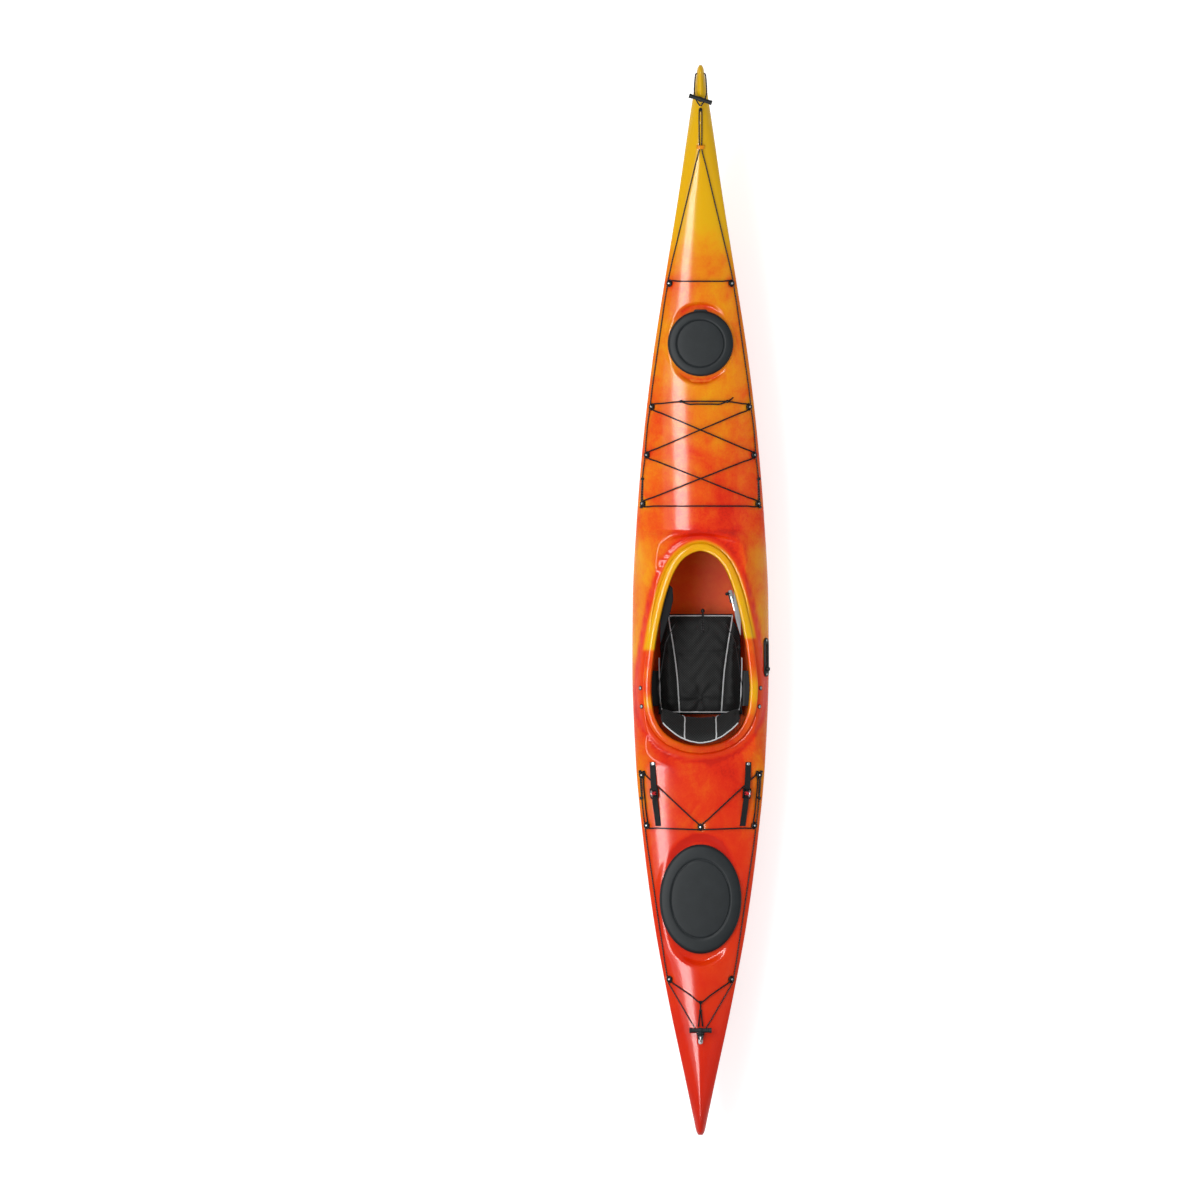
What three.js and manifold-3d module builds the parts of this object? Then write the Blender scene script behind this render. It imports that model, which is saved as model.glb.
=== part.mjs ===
// A sea kayak: one moulded shell with cockpit, hatches, seat, foot braces, skeg and deck rigging.
// Millimetres, +X to the bow, +Y to port, +Z up. Places along the hull are shares of the half length,
// from -1 at the stern to 1 at the bow. Heights are counted from the keel until the last lines, which
// stand the craft on its lowered skeg.

import * as THREE from 'three';
import { mergeVertices } from 'three/addons/utils/BufferGeometryUtils.js';
import Module from 'manifold-3d';

const wasm = await Module();
wasm.setup();

// Hull
const hullLength = 4570;
const hullBeam = 584;
const hullDepth = 316;
const wall = 5;
const clearance = 0.3;
const overrun = 60;
const embed = 3;
const sliver = 0.03;
const halfLength = hullLength / 2;

// Heights and breadths at places along the hull, as [place share, share of the depth or half beam]
const beamShares = [
  [-1, 0.02], [-0.99, 0.045], [-0.97, 0.085], [-0.9, 0.21], [-0.75, 0.465], [-0.6, 0.682],
  [-0.45, 0.838], [-0.3, 0.948], [-0.12, 1], [0, 0.993], [0.15, 0.934], [0.3, 0.838], [0.45, 0.7],
  [0.6, 0.52], [0.75, 0.33], [0.9, 0.16], [0.972, 0.0735], [0.983, 0.06], [0.994, 0.045], [1, 0.018],
];
const keelShares = [
  [-1, 0.74], [-0.993, 0.633], [-0.979, 0.554], [-0.9645, 0.418], [-0.959, 0.332], [-0.948, 0.209],
  [-0.935, 0.176], [-0.88, 0.149], [-0.71, 0.108], [-0.54, 0.054], [-0.43, 0.027], [-0.29, 0.003],
  [-0.15, 0], [0, 0.003], [0.16, 0.014], [0.355, 0.04], [0.523, 0.067], [0.636, 0.108], [0.69, 0.149],
  [0.748, 0.203], [0.776, 0.256], [0.804, 0.31], [0.86, 0.513], [0.916, 0.756], [0.972, 1.013],
  [0.983, 1.054], [0.994, 1.11], [1, 1.2],
];
const gunwaleShares = [
  [-1, 0.775], [-0.98, 0.76], [-0.9, 0.73], [-0.77, 0.675], [-0.6, 0.6], [-0.45, 0.582], [-0.25, 0.59],
  [-0.09, 0.563], [0, 0.574], [0.08, 0.595], [0.2, 0.648], [0.3, 0.675], [0.4, 0.7], [0.54, 0.747],
  [0.64, 0.81], [0.71, 0.84], [0.81, 0.9], [0.89, 0.973], [0.972, 1.14], [0.994, 1.2], [1, 1.21],
];
const ridgeShares = [
  [-1, 0.8], [-0.995, 0.87], [-0.965, 0.892], [-0.907, 0.864], [-0.794, 0.824], [-0.682, 0.785],
  [-0.64, 0.735], [-0.43, 0.744], [-0.318, 0.77], [-0.26, 1.06], [-0.2, 1.24], [-0.05, 1.27],
  [0.06, 1.27], [0.118, 1.1], [0.133, 1], [0.16, 1], [0.27, 0.973], [0.411, 0.918], [0.5, 0.91],
  [0.636, 0.946], [0.748, 0.973], [0.776, 1], [0.832, 1.066], [0.888, 1.136], [0.944, 1.21],
  [0.972, 1.28], [0.983, 1.297], [0.992, 1.297], [0.998, 1.26], [1, 1.22],
];
// Superellipse exponents of the bottom and of the deck, and how much of the bottom is a plain V
const bottomRoundShares = [[-1, 1.1], [-0.8, 1.5], [-0.45, 2.3], [0.2, 2.4], [0.6, 1.7], [0.9, 1.15], [1, 1.1]];
const deckRoundShares = [[-1, 1.5], [-0.7, 1.55], [-0.6, 2.1], [-0.32, 2.1], [-0.24, 1.5], [0.1, 1.5],
  [0.14, 1.65], [0.5, 1.7], [1, 1.5]];
const veeShares = [[-1, 0.6], [-0.5, 0.3], [0, 0.14], [0.4, 0.2], [0.9, 0.6], [1, 0.6]];
const stationShares = [
  -1, -0.996, -0.988, -0.979, -0.9645, -0.959, -0.948, -0.93, -0.89, -0.83, -0.77, -0.71, -0.67, -0.63,
  -0.57, -0.51, -0.45, -0.4, -0.35, -0.318, -0.29, -0.26, -0.23, -0.18, -0.12, -0.06, 0, 0.04, 0.075,
  0.1, 0.118, 0.133, 0.17, 0.23, 0.29, 0.35, 0.411, 0.47, 0.53, 0.59, 0.65, 0.71, 0.76, 0.804, 0.86,
  0.916, 0.955, 0.972, 0.983, 0.992, 0.998, 1,
];
const innerReachShare = 0.945;
const bottomSteps = 6;
const deckSteps = 6;

// Cockpit opening and its rim, which slopes down aft
const openingLength = 830;
const openingWidth = 424;
const openingFrontShare = 0.0915;
const rimLipWidth = 33;
const rimLipThickness = 5;
const rimWall = 8;
const rimRise = 20;
const rimSteps = 40;
const rimHeightShares = [
  [-0.36, 1.1], [-0.318, 0.834], [-0.29, 0.824], [-0.262, 0.851], [-0.234, 0.885], [-0.15, 0.9335], [-0.093, 0.959],
  [-0.037, 1], [0.0187, 1.041], [0.047, 1.054], [0.075, 1.04], [0.1, 1.015], [0.118, 1],
];
const plinthFrontShares = [0.133, 0.118];
const openingShares = [
  [0, 0], [0.025, 0.27], [0.08, 0.47], [0.2, 0.67], [0.4, 0.86], [0.58, 0.965], [0.72, 1], [0.85, 0.925],
  [0.94, 0.7], [0.985, 0.38], [1, 0],
];

// Hatches: a round one forward and an oval one aft, each a rubber cover over a moulded rim
const coverThickness = 28;
const coverEdge = 9;
const coverSkirt = 6;
const coverCrown = 6;
const coverGroove = 3;
const coverGrooveShare = 0.72;
const hatchRimHeight = 15;
const hatchRimWall = 7;
const hatchRimInset = 26;
const hatchSteps = 28;
const bowHatch = { atShare: 0.4795, radius: 140, lengthRatioShare: 1, heightShare: 0.86, tiltDegrees: 0,
  platformWidth: 292, platformLength: 342 };
const sternHatch = { atShare: -0.559, radius: 175, lengthRatioShare: 1.334, heightShare: 0.703, tiltDegrees: 1.2,
  platformWidth: 356, platformLength: 551 };

// Bulkheads
const bulkheadThickness = 14;
const bowBulkheadShare = 0.36;
const sternBulkheadShare = -0.36;

// Skeg: a blade that swings down out of a narrow box, and its slider on the starboard deck
const skegPivotShare = -0.6635;
const skegPivotRise = 22;
const skegBlade = { thickness: 8, reach: 270, heel: 291, back: 265, neck: 16, dropDegrees: 23.2, toeDegrees: 24.2,
  heelDegrees: 14.1, heelTopDegrees: 6.4, roundDegrees: 21.2, backDegrees: 6.3, swingDegrees: 24, toeShare: 0.9 };
const skegNoseDegrees = [-110, -55, 0, 50, 100];
const skegBox = { innerWidth: 12, wall: 4, ahead: 34, behind: 16, above: 24 };
const skegPin = { radius: 4, clearance: 0.3 };
const slider = { atShare: -0.107, length: 166, width: 42, thickness: 5, pocket: 2, slotLength: 116,
  slotWidth: 9, knobRadius: 10, knobHeight: 11, stemWidth: 7, travel: 100 };
const skegCable = { radius: 4, inboard: 1.5, run: 60 };
const cableShares = [[-0.6, 0.36], [-0.54, 0.48], [-0.46, 0.54], [-0.4, 0.56], [-0.345, 0.6], [-0.318, 0.64],
  [-0.29, 0.66], [-0.27, 0.7], [-0.25, 0.745], [-0.2, 0.745], [-0.15, 0.745], [-0.13, 0.745], [-0.122, 0.74]];

// Seat
const seat = { behindFront: 269, length: 428, frontWidth: 272, rearWidth: 360, rise: 52, panThickness: 5,
  corner: 26, bolsterRise: 40, frontRise: 34, cushionThickness: 40, bolster: 22, crown: 8, channel: 8, seamWidth: 14, tuft: 13,
  tuftRadius: 30 };
const panOverrunShares = [-0.1, 1.1];
const seatSeamShares = [0.16, 0.64];
const seatTuftShares = [[0.68, 0.8], [0.68, -0.8], [0.165, 0]];
const seatWing = { length: 150, ahead: 111, thickness: 5, aboveGunwale: 43 };
const seatWingShares = [[0, 0], [0.3, 0.03], [0.62, 0.13], [0.88, 0.36], [1, 1]];
const backrest = { width: 334, height: 176, thickness: 38, sweep: 92, leanDegrees: 17, footRise: 29, footBehind: 11,
  plate: 5, plateShare: 0.72, armRise: 60, earLength: 52, earRise: 40, earWidth: 8, earAcross: 88, earRadius: 12,
  pinRadius: 4, pinLength: 30, channel: 5 };
const backrestPipeShares = [0.34];
const backrestStrap = { width: 25, thickness: 2.4, aboveHinge: 73, outboard: 12 };
const ratchet = { length: 62, width: 30, thickness: 12, inset: 4 };

// Thigh braces and foot braces
const thighBrace = { frontShare: 0.028, length: 245, inner: 112, outer: 172, thickness: 7, sagShare: 0.1 };
const footRail = { frontShare: 0.337, rearShare: 0.179, height: 150, depth: 26, thickness: 10 };
const pedal = { width: 88, height: 100, thickness: 7, carriage: 60, jaw: 4 };

// Cords and what they pass through
const lineRadius = 2.5;
const bungeeRadius = 3;
const cordSides = 6;
const cordLift = 3.8;
const lineLift = 0.9;
const clip = { width: 25, height: 12, depth: 14, hole: 3.8, spread: 7.4, rise: 6.8, screwRadius: 4.2,
  screwHeight: 1.6, pocketLength: 38, pocketDepth: 2.4, inset: 23 };
const clipPlaces = [
  { name: 'bow', share: 0.592 },
  { name: 'forward', share: 0.361 },
  { name: 'middle', share: 0.271 },
  { name: 'cockpit', share: 0.18 },
  { name: 'seat', share: -0.327 },
  { name: 'reardeck', share: -0.4215 },
  { name: 'stern', share: -0.709 },
];
const centreClipShare = -0.4245;
const eyelet = { atShare: 0.847, length: 16, width: 34, height: 19, holeWidth: 18, holeHeight: 11 };
const bowToggle = { atShare: 0.936, length: 103, radius: 11, turnDegrees: 18, holeShare: 0.984, holeDrop: 24,
  holeRadius: 3.5, strandGap: 2 };
const bowStrandShares = [[-0.25, 0.13, 0], [-0.12, 0.6, 0], [0, 0.9, 0], [0.22, 1.22, 0.1], [0.55, 1.2, 0.4],
  [0.88, 1.05, 0.9], [0.97, 0.98, 1], [1, 0.8, 1]];
const sternToggle = { length: 96, radius: 12, ahead: 36 };
const shackle = { atShare: -0.8206, ring: 13, wire: 3.4, baseLength: 44, baseWidth: 20, baseThickness: 3 };
const beadRadius = 7;
const crossingRise = 9;
const lineKnot = { atShare: 0.917, spread: 5, lift: 2, underToggle: 34 };
const topBead = { atShare: 0.371, port: 82, starboard: 113, sag: 12 };
const retainerBeadShare = -0.768;
const retainerForkShare = -0.752;

// Webbing straps aft of the cockpit, each with a buckle, a red release tab and its steel ring
const deckStrap = { frontShare: -0.303, rearShare: -0.4225, inset: 72, width: 25, thickness: 2.2, lift: 13,
  ramp: 115 };
const buckle = { atShare: -0.361, length: 46, width: 34, height: 15, cheek: 3.2 };
const releaseTab = { width: 20, thickness: 8, reach: 40, pinRadius: 2.4, ringPlay: 1.2 };
const tabRing = { radius: 14, wire: 2.2 };

// A smooth curve through [place, value] pairs, which never swings past its own points
function throughPoints(pairs) {
  const secants = [];
  for (let i = 0; i < pairs.length - 1; i += 1) {
    secants.push((pairs[i + 1][1] - pairs[i][1]) / (pairs[i + 1][0] - pairs[i][0]));
  }
  const slopes = pairs.map((pair, i) => {
    const before = secants[Math.max(i - 1, 0)];
    const after = secants[Math.min(i, secants.length - 1)];
    return before * after > 0 ? (2 * before * after) / (before + after) : 0;
  });
  return (place) => {
    const at = THREE.MathUtils.clamp(place, pairs[0][0], pairs[pairs.length - 1][0]);
    let i = 0;
    while (i < pairs.length - 2 && at > pairs[i + 1][0]) i += 1;
    const span = pairs[i + 1][0] - pairs[i][0];
    const t = (at - pairs[i][0]) / span;
    const rest = 1 - t;
    return rest * rest * (1 + 2 * t) * pairs[i][1] + t * t * (3 - 2 * t) * pairs[i + 1][1]
      + t * rest * span * (rest * slopes[i] - t * slopes[i + 1]);
  };
}

const beamShareAt = throughPoints(beamShares);
const keelShareAt = throughPoints(keelShares);
const gunwaleShareAt = throughPoints(gunwaleShares);
const ridgeShareAt = throughPoints(ridgeShares);
const bottomRoundAt = throughPoints(bottomRoundShares);
const deckRoundAt = throughPoints(deckRoundShares);
const veeAt = throughPoints(veeShares);
const rimShareAt = throughPoints(rimHeightShares);

const halfBeamAt = (share) => (beamShareAt(share) * hullBeam) / 2;
const keelAt = (share) => keelShareAt(share) * hullDepth;
const rimTopAt = (share) => rimShareAt(share) * hullDepth;

// The flat plinth that the cockpit rim stands on, which ends in a step ahead of the cockpit
function plinthAt(share) {
  const [front, rear] = plinthFrontShares;
  if (share >= front) return Infinity;
  return rimTopAt(Math.min(share, rear)) - rimRise;
}

// Half of the hull's cross-section, from the keel up to the gunwale and over to the deck's ridge
function halfSection(share, inset) {
  const half = halfBeamAt(share) - inset;
  const keel = keelAt(share) + inset;
  const gunwale = gunwaleShareAt(share) * hullDepth;
  const ridge = ridgeShareAt(share) * hullDepth - inset;
  const plinth = plinthAt(share) - inset;
  const vee = veeAt(share);
  const points = [];
  for (let i = 0; i <= bottomSteps; i += 1) {
    const angle = (i / bottomSteps) * (Math.PI / 2);
    const out = Math.sin(angle) ** (2 / bottomRoundAt(share));
    const up = 1 - Math.cos(angle) ** (2 / bottomRoundAt(share));
    points.push([half * out, keel + (gunwale - keel) * (vee * out + (1 - vee) * up)]);
  }
  for (let i = 1; i <= deckSteps; i += 1) {
    const angle = (i / deckSteps) * (Math.PI / 2);
    const out = i < deckSteps ? Math.cos(angle) ** (2 / deckRoundAt(share)) : 0;
    const up = Math.sin(angle) ** (2 / deckRoundAt(share));
    points.push([half * out, Math.min(gunwale + (ridge - gunwale) * up, plinth)]);
  }
  return points;
}

// A closed skin over rings of points that run anticlockwise seen from the last ring
function skin(rings, closed = false) {
  const count = rings[0].length;
  const positions = rings.flat().flatMap((point) => [point.x, point.y, point.z]);
  const triangles = [];
  const spans = closed ? rings.length : rings.length - 1;
  for (let i = 0; i < spans; i += 1) {
    for (let j = 0; j < count; j += 1) {
      const a = i * count + j;
      const b = i * count + ((j + 1) % count);
      const c = ((i + 1) % rings.length) * count + j;
      const d = ((i + 1) % rings.length) * count + ((j + 1) % count);
      if (2 * j < count) triangles.push(a, b, c, b, d, c);
      else triangles.push(a, b, d, a, d, c);
    }
  }
  if (!closed) {
    for (const [ring, first, flip] of [[rings[0], 0, true], [rings.at(-1), (rings.length - 1) * count, false]]) {
      const middle = ring.reduce((sum, point) => sum.add(point), new THREE.Vector3()).divideScalar(count);
      const centre = positions.length / 3;
      positions.push(middle.x, middle.y, middle.z);
      for (let j = 0; j < count; j += 1) {
        const next = (j + 1) % count;
        triangles.push(centre, first + (flip ? next : j), first + (flip ? j : next));
      }
    }
  }
  const geometry = new THREE.BufferGeometry();
  geometry.setAttribute('position', new THREE.BufferAttribute(new Float32Array(positions), 3));
  geometry.setIndex(triangles);
  return geometry;
}

function hullRing(share, inset) {
  const half = halfSection(share, inset);
  const x = share * halfLength;
  const port = half.map(([y, z]) => new THREE.Vector3(x, y, z));
  const starboard = half.slice(1, -1).reverse().map(([y, z]) => new THREE.Vector3(x, -y, z));
  return [...port, ...starboard];
}

function hullGeometry(inset, reachShare) {
  const inside = stationShares.filter((share) => Math.abs(share) <= reachShare);
  return skin(inside.map((share) => hullRing(share, inset)));
}

function solidOf(geometry) {
  const bare = new THREE.BufferGeometry();
  bare.setAttribute('position', geometry.getAttribute('position'));
  if (geometry.index) bare.setIndex(geometry.index);
  const merged = mergeVertices(bare);
  return new wasm.Manifold(new wasm.Mesh({
    numProp: 3,
    vertProperties: new Float32Array(merged.getAttribute('position').array),
    triVerts: new Uint32Array(merged.index.array),
  }));
}

function geometryOf(solid) {
  const mesh = solid.getMesh();
  const geometry = new THREE.BufferGeometry();
  geometry.setAttribute('position', new THREE.BufferAttribute(new Float32Array(mesh.vertProperties), 3));
  geometry.setIndex(new THREE.BufferAttribute(new Uint32Array(mesh.triVerts), 1));
  return geometry;
}

const finishes = {
  polyethylene: { color: 0xe2560a, roughness: 0.28, metalness: 0 },
  rubber: { color: 0x2f3336, roughness: 0.75, metalness: 0 },
  plastic: { color: 0x18191a, roughness: 0.5, metalness: 0 },
  fabric: { color: 0x222325, roughness: 0.95, metalness: 0 },
  foam: { color: 0x3a3d40, roughness: 0.9, metalness: 0 },
  cord: { color: 0x141416, roughness: 0.85, metalness: 0 },
  webbing: { color: 0x1d1e20, roughness: 0.9, metalness: 0 },
  redWebbing: { color: 0xc4151c, roughness: 0.7, metalness: 0 },
  steel: { color: 0xc9ccd0, roughness: 0.25, metalness: 1 },
};

const craft = new THREE.Group();

function addPart(name, finish, geometry) {
  const mesh = new THREE.Mesh(geometry, new THREE.MeshStandardMaterial(finishes[finish]));
  mesh.name = name;
  geometry.computeVertexNormals();
  craft.add(mesh);
}

// Where a straight look along a direction meets the bare hull, and which way the hull faces there
const bareHull = new THREE.Mesh(hullGeometry(0, 1), new THREE.MeshBasicMaterial({ side: THREE.DoubleSide }));
const bareInside = new THREE.Mesh(hullGeometry(wall, innerReachShare),
  new THREE.MeshBasicMaterial({ side: THREE.DoubleSide }));
const down = new THREE.Vector3(0, 0, -1);
function hullPoint(target, x, y, z, look) {
  const hit = new THREE.Raycaster(new THREE.Vector3(x, y, z), look).intersectObject(target)[0];
  return { point: hit.point, normal: hit.face.normal.clone() };
}
const deckPoint = (x, y) => hullPoint(bareHull, x, y, hullLength, down);

// The frame of something seated on the deck: x along the hull, z out of the surface
function seatFrame({ point, normal }, along = new THREE.Vector3(1, 0, 0)) {
  const side = new THREE.Vector3().crossVectors(normal, along).normalize();
  const ahead = new THREE.Vector3().crossVectors(side, normal).normalize();
  return new THREE.Matrix4().makeBasis(ahead, side, normal).setPosition(point);
}

const place = (frame, x, y, z) => new THREE.Vector3(x, y, z).applyMatrix4(frame);

function extruded(shape, depth, frame = new THREE.Matrix4(), curveSegments = 6) {
  const geometry = new THREE.ExtrudeGeometry(shape, { depth, bevelEnabled: false, curveSegments });
  return geometry.applyMatrix4(frame);
}

function shapeOf(points) {
  return new THREE.Shape(points.map(([x, y]) => new THREE.Vector2(x, y)));
}

function rectangle(lowX, lowY, highX, highY) {
  return shapeOf([[lowX, lowY], [highX, lowY], [highX, highY], [lowX, highY]]);
}

function box(lowX, lowY, lowZ, highX, highY, highZ, frame = new THREE.Matrix4()) {
  const base = new THREE.Matrix4().makeTranslation(0, 0, lowZ);
  return extruded(rectangle(lowX, lowY, highX, highY), highZ - lowZ, frame.clone().multiply(base));
}

// A slot-shaped outline, long in x, with round ends
function oblong(length, width, steps = 4) {
  const radius = width / 2;
  const points = [];
  for (const side of [1, -1]) {
    for (let i = 0; i <= steps; i += 1) {
      const angle = (i / steps) * Math.PI - Math.PI / 2;
      points.push([side * (length / 2 - radius + radius * Math.cos(angle)), side * radius * Math.sin(angle)]);
    }
  }
  return shapeOf(points);
}

// A straight round bar between two points
function bar(from, to, radius, sides = 12) {
  const length = from.distanceTo(to);
  const turn = new THREE.Quaternion().setFromUnitVectors(
    new THREE.Vector3(0, 1, 0), to.clone().sub(from).normalize());
  const middle = from.clone().add(to).divideScalar(2);
  const scale = new THREE.Vector3(1, 1, 1);
  return new THREE.CylinderGeometry(radius, radius, length, sides)
    .applyMatrix4(new THREE.Matrix4().compose(middle, turn, scale));
}

// The route of a cord, which an extrusion follows point by point
class CordRoute extends THREE.Curve {
  constructor(points) {
    super();
    this.points = points;
  }

  getPointAt(u, target = new THREE.Vector3()) {
    return target.copy(this.points[Math.round(u * (this.points.length - 1))]);
  }

  getTangentAt(u, target = new THREE.Vector3()) {
    const last = this.points.length - 1;
    const at = Math.round(u * last);
    const here = this.points[at];
    const before = here.clone().sub(this.points[Math.max(at - 1, 0)]).normalize();
    const after = this.points[Math.min(at + 1, last)].clone().sub(here).normalize();
    return target.copy(before).add(after).normalize();
  }
}

function cord(points, radius, sides = cordSides) {
  const section = [];
  for (let i = 0; i < sides; i += 1) {
    const angle = (i / sides) * 2 * Math.PI;
    section.push([radius * Math.cos(angle), radius * Math.sin(angle)]);
  }
  return new THREE.ExtrudeGeometry(shapeOf(section), {
    steps: points.length - 1, bevelEnabled: false, extrudePath: new CordRoute(points),
  });
}

// A flat band along points, lying square to their normals
function ribbon(points, normals, width, thickness) {
  const rings = points.map((point, i) => {
    const ahead = points[Math.min(i + 1, points.length - 1)].clone().sub(points[Math.max(i - 1, 0)]).normalize();
    const side = new THREE.Vector3().crossVectors(normals[i], ahead).normalize();
    const up = new THREE.Vector3().crossVectors(ahead, side);
    return [[-1, 0], [1, 0], [1, 1], [-1, 1]].map(([across, high]) => point.clone()
      .addScaledVector(side, (across * width) / 2).addScaledVector(up, high * thickness));
  });
  return skin(rings);
}

// Points along the deck from one place to another, held off it, with an extra rise at the middle
function overDeck(from, to, steps, radius, lift, rise = 0) {
  const points = [];
  for (let i = 1; i < steps; i += 1) {
    const t = i / steps;
    const x = THREE.MathUtils.lerp(from.x, to.x, t);
    const y = THREE.MathUtils.lerp(from.y, to.y, t);
    const { point, normal } = deckPoint(x, y);
    const bump = Math.max(0, 1 - Math.abs(2 * t - 1) * 3) * rise;
    points.push(point.addScaledVector(normal, radius + clearance + lift + bump));
  }
  return points;
}

// Clips: a low block with two cord holes and a screw, seated in a pocket of the deck
function clipFrame(share, side) {
  const x = share * halfLength;
  const y = side * (halfBeamAt(share) - clip.inset);
  const step = 0.01;
  const slope = (halfBeamAt(share + step) - halfBeamAt(share - step)) / (2 * step * halfLength);
  return seatFrame(deckPoint(x, y), new THREE.Vector3(1, side * slope, 0).normalize());
}

const sides = [['port', 1], ['starboard', -1]];
const clips = {};
for (const { name, share } of clipPlaces) {
  for (const [sideName, side] of sides) clips[`${name}_${sideName}`] = clipFrame(share, side);
}
clips.centre = seatFrame(deckPoint(centreClipShare * halfLength, 0));

const clipBase = -clip.pocketDepth + clearance;
const clipRise = clipBase + clip.rise;

function clipGeometry(frame) {
  const half = clip.width / 2;
  const corner = clip.height * 0.3;
  const outline = shapeOf([[-half, 0], [half, 0], [half, clip.height - corner], [half - corner, clip.height],
    [corner - half, clip.height], [-half, clip.height - corner]]);
  for (const across of [-clip.spread, clip.spread]) {
    const hole = new THREE.Path();
    hole.absarc(across, clip.rise, clip.hole, 0, 2 * Math.PI, false);
    outline.holes.push(hole);
  }
  const upright = new THREE.Matrix4().makeBasis(
    new THREE.Vector3(0, 1, 0), new THREE.Vector3(0, 0, 1), new THREE.Vector3(1, 0, 0))
    .setPosition(-clip.depth / 2, 0, clipBase);
  const block = solidOf(extruded(outline, clip.depth, frame.clone().multiply(upright), 4));
  const top = clipBase + clip.height;
  const head = bar(place(frame, 0, 0, top - clip.screwHeight), place(frame, 0, 0, top + clip.screwHeight),
    clip.screwRadius, 8);
  return geometryOf(block.add(solidOf(head)));
}

// The middle of a clip's cord hole, some way along the hole
function inClip(frame, side, outboard, along) {
  return place(frame, along, side * (outboard ? clip.spread : -clip.spread), clipRise);
}

const clipRun = clip.depth / 2 + bungeeRadius;

// The shell
function openingOutline(outset) {
  const front = openingFrontShare * halfLength;
  const port = openingShares.map(([along, across]) => new THREE.Vector3(
    front - along * openingLength, (across * openingWidth) / 2, 0));
  const starboard = port.slice(1, -1).reverse().map((point) => new THREE.Vector3(point.x, -point.y, 0));
  const curve = new THREE.CatmullRomCurve3([...port, ...starboard], true, 'centripetal');
  return curve.getSpacedPoints(rimSteps).slice(0, -1).map((point, i) => {
    const tangent = curve.getTangentAt(i / rimSteps);
    return { x: point.x + tangent.y * outset, y: point.y - tangent.x * outset, out: [tangent.y, -tangent.x] };
  });
}

function cockpitRim() {
  const rings = openingOutline(0).map(({ x, y, out }) => {
    const top = rimTopAt(x / halfLength);
    const foot = deckPoint(x + out[0] * rimWall, y + out[1] * rimWall).point.z - embed;
    const section = [[-embed, foot], [-embed, top - rimLipThickness / 2], [0, top],
      [rimLipWidth - rimLipThickness / 2, top], [rimLipWidth, top - rimLipThickness / 2],
      [rimLipWidth, top - rimLipThickness], [rimWall, top - rimLipThickness], [rimWall, foot]];
    return section.map(([away, z]) => new THREE.Vector3(x + out[0] * away, y + out[1] * away, z));
  });
  return skin(rings, true);
}

function hatchFrame(hatch) {
  return new THREE.Matrix4().makeRotationY(THREE.MathUtils.degToRad(-hatch.tiltDegrees))
    .setPosition(hatch.atShare * halfLength, 0, hatch.heightShare * hullDepth);
}

function ovalPrism(width, length, low, high, frame) {
  const shape = new THREE.Shape();
  shape.absellipse(0, 0, length / 2, width / 2, 0, 2 * Math.PI, false);
  const base = new THREE.Matrix4().makeTranslation(0, 0, low);
  return solidOf(extruded(shape, high - low, frame.clone().multiply(base), hatchSteps / 2));
}

function withHatch(shell, outer, hatch) {
  const frame = hatchFrame(hatch);
  const { platformWidth: across, platformLength: along } = hatch;
  const tray = ovalPrism(across + 2 * wall, along + 2 * wall, -wall, overrun, frame).intersect(outer);
  const rim = 2 * (hatch.radius - hatchRimInset);
  const rimSpan = (radius, trim, low, high) => ovalPrism(
    radius - 2 * trim, (radius - 2 * trim) * hatch.lengthRatioShare, low, high, frame);
  return shell.add(tray)
    .subtract(ovalPrism(across, along, 0, overrun, frame))
    .add(rimSpan(rim, 0, -wall, hatchRimHeight))
    .subtract(rimSpan(rim, hatchRimWall, -overrun, overrun));
}

function hatchCover(hatch) {
  const radius = hatch.radius;
  const rim = radius - hatchRimInset;
  const crown = coverThickness;
  const shoulder = crown - coverCrown;
  const groove = radius * coverGrooveShare;
  const profile = [
    [0, hatchRimHeight + 2 * clearance], [rim + coverSkirt / 2, hatchRimHeight + 2 * clearance],
    [rim + coverSkirt, clearance], [radius - coverEdge / 2, clearance], [radius, coverEdge],
    [radius - coverEdge / 2, shoulder - coverEdge / 2], [radius - coverEdge, shoulder],
    [groove + coverEdge / 2, crown - coverCrown / 2], [groove, crown - coverGroove - coverCrown / 2],
    [groove - coverEdge / 2, crown - coverCrown / 3], [0, crown],
  ];
  const lathe = new THREE.LatheGeometry(profile.map(([r, z]) => new THREE.Vector2(r, z)), hatchSteps);
  return lathe.rotateX(Math.PI / 2).scale(hatch.lengthRatioShare, 1, 1).applyMatrix4(hatchFrame(hatch));
}

// The skeg's side view, in the plane of the keel, about its pivot
const skegPivotX = skegPivotShare * halfLength;
const skegPivotZ = keelAt(skegPivotShare) + skegPivotRise;
const upright = new THREE.Matrix4().makeBasis(
  new THREE.Vector3(1, 0, 0), new THREE.Vector3(0, 0, 1), new THREE.Vector3(0, -1, 0));

function sideView(points, thickness, holes = []) {
  const shape = shapeOf(points);
  for (const radius of holes) {
    const hole = new THREE.Path();
    hole.absarc(skegPivotX, skegPivotZ, radius, 0, 2 * Math.PI, false);
    shape.holes.push(hole);
  }
  return extruded(shape, thickness, upright.clone().setPosition(0, thickness / 2, 0));
}

function skegPoint(reach, degreesDown) {
  const angle = THREE.MathUtils.degToRad(degreesDown);
  return [skegPivotX - reach * Math.cos(angle), skegPivotZ - reach * Math.sin(angle)];
}

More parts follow.
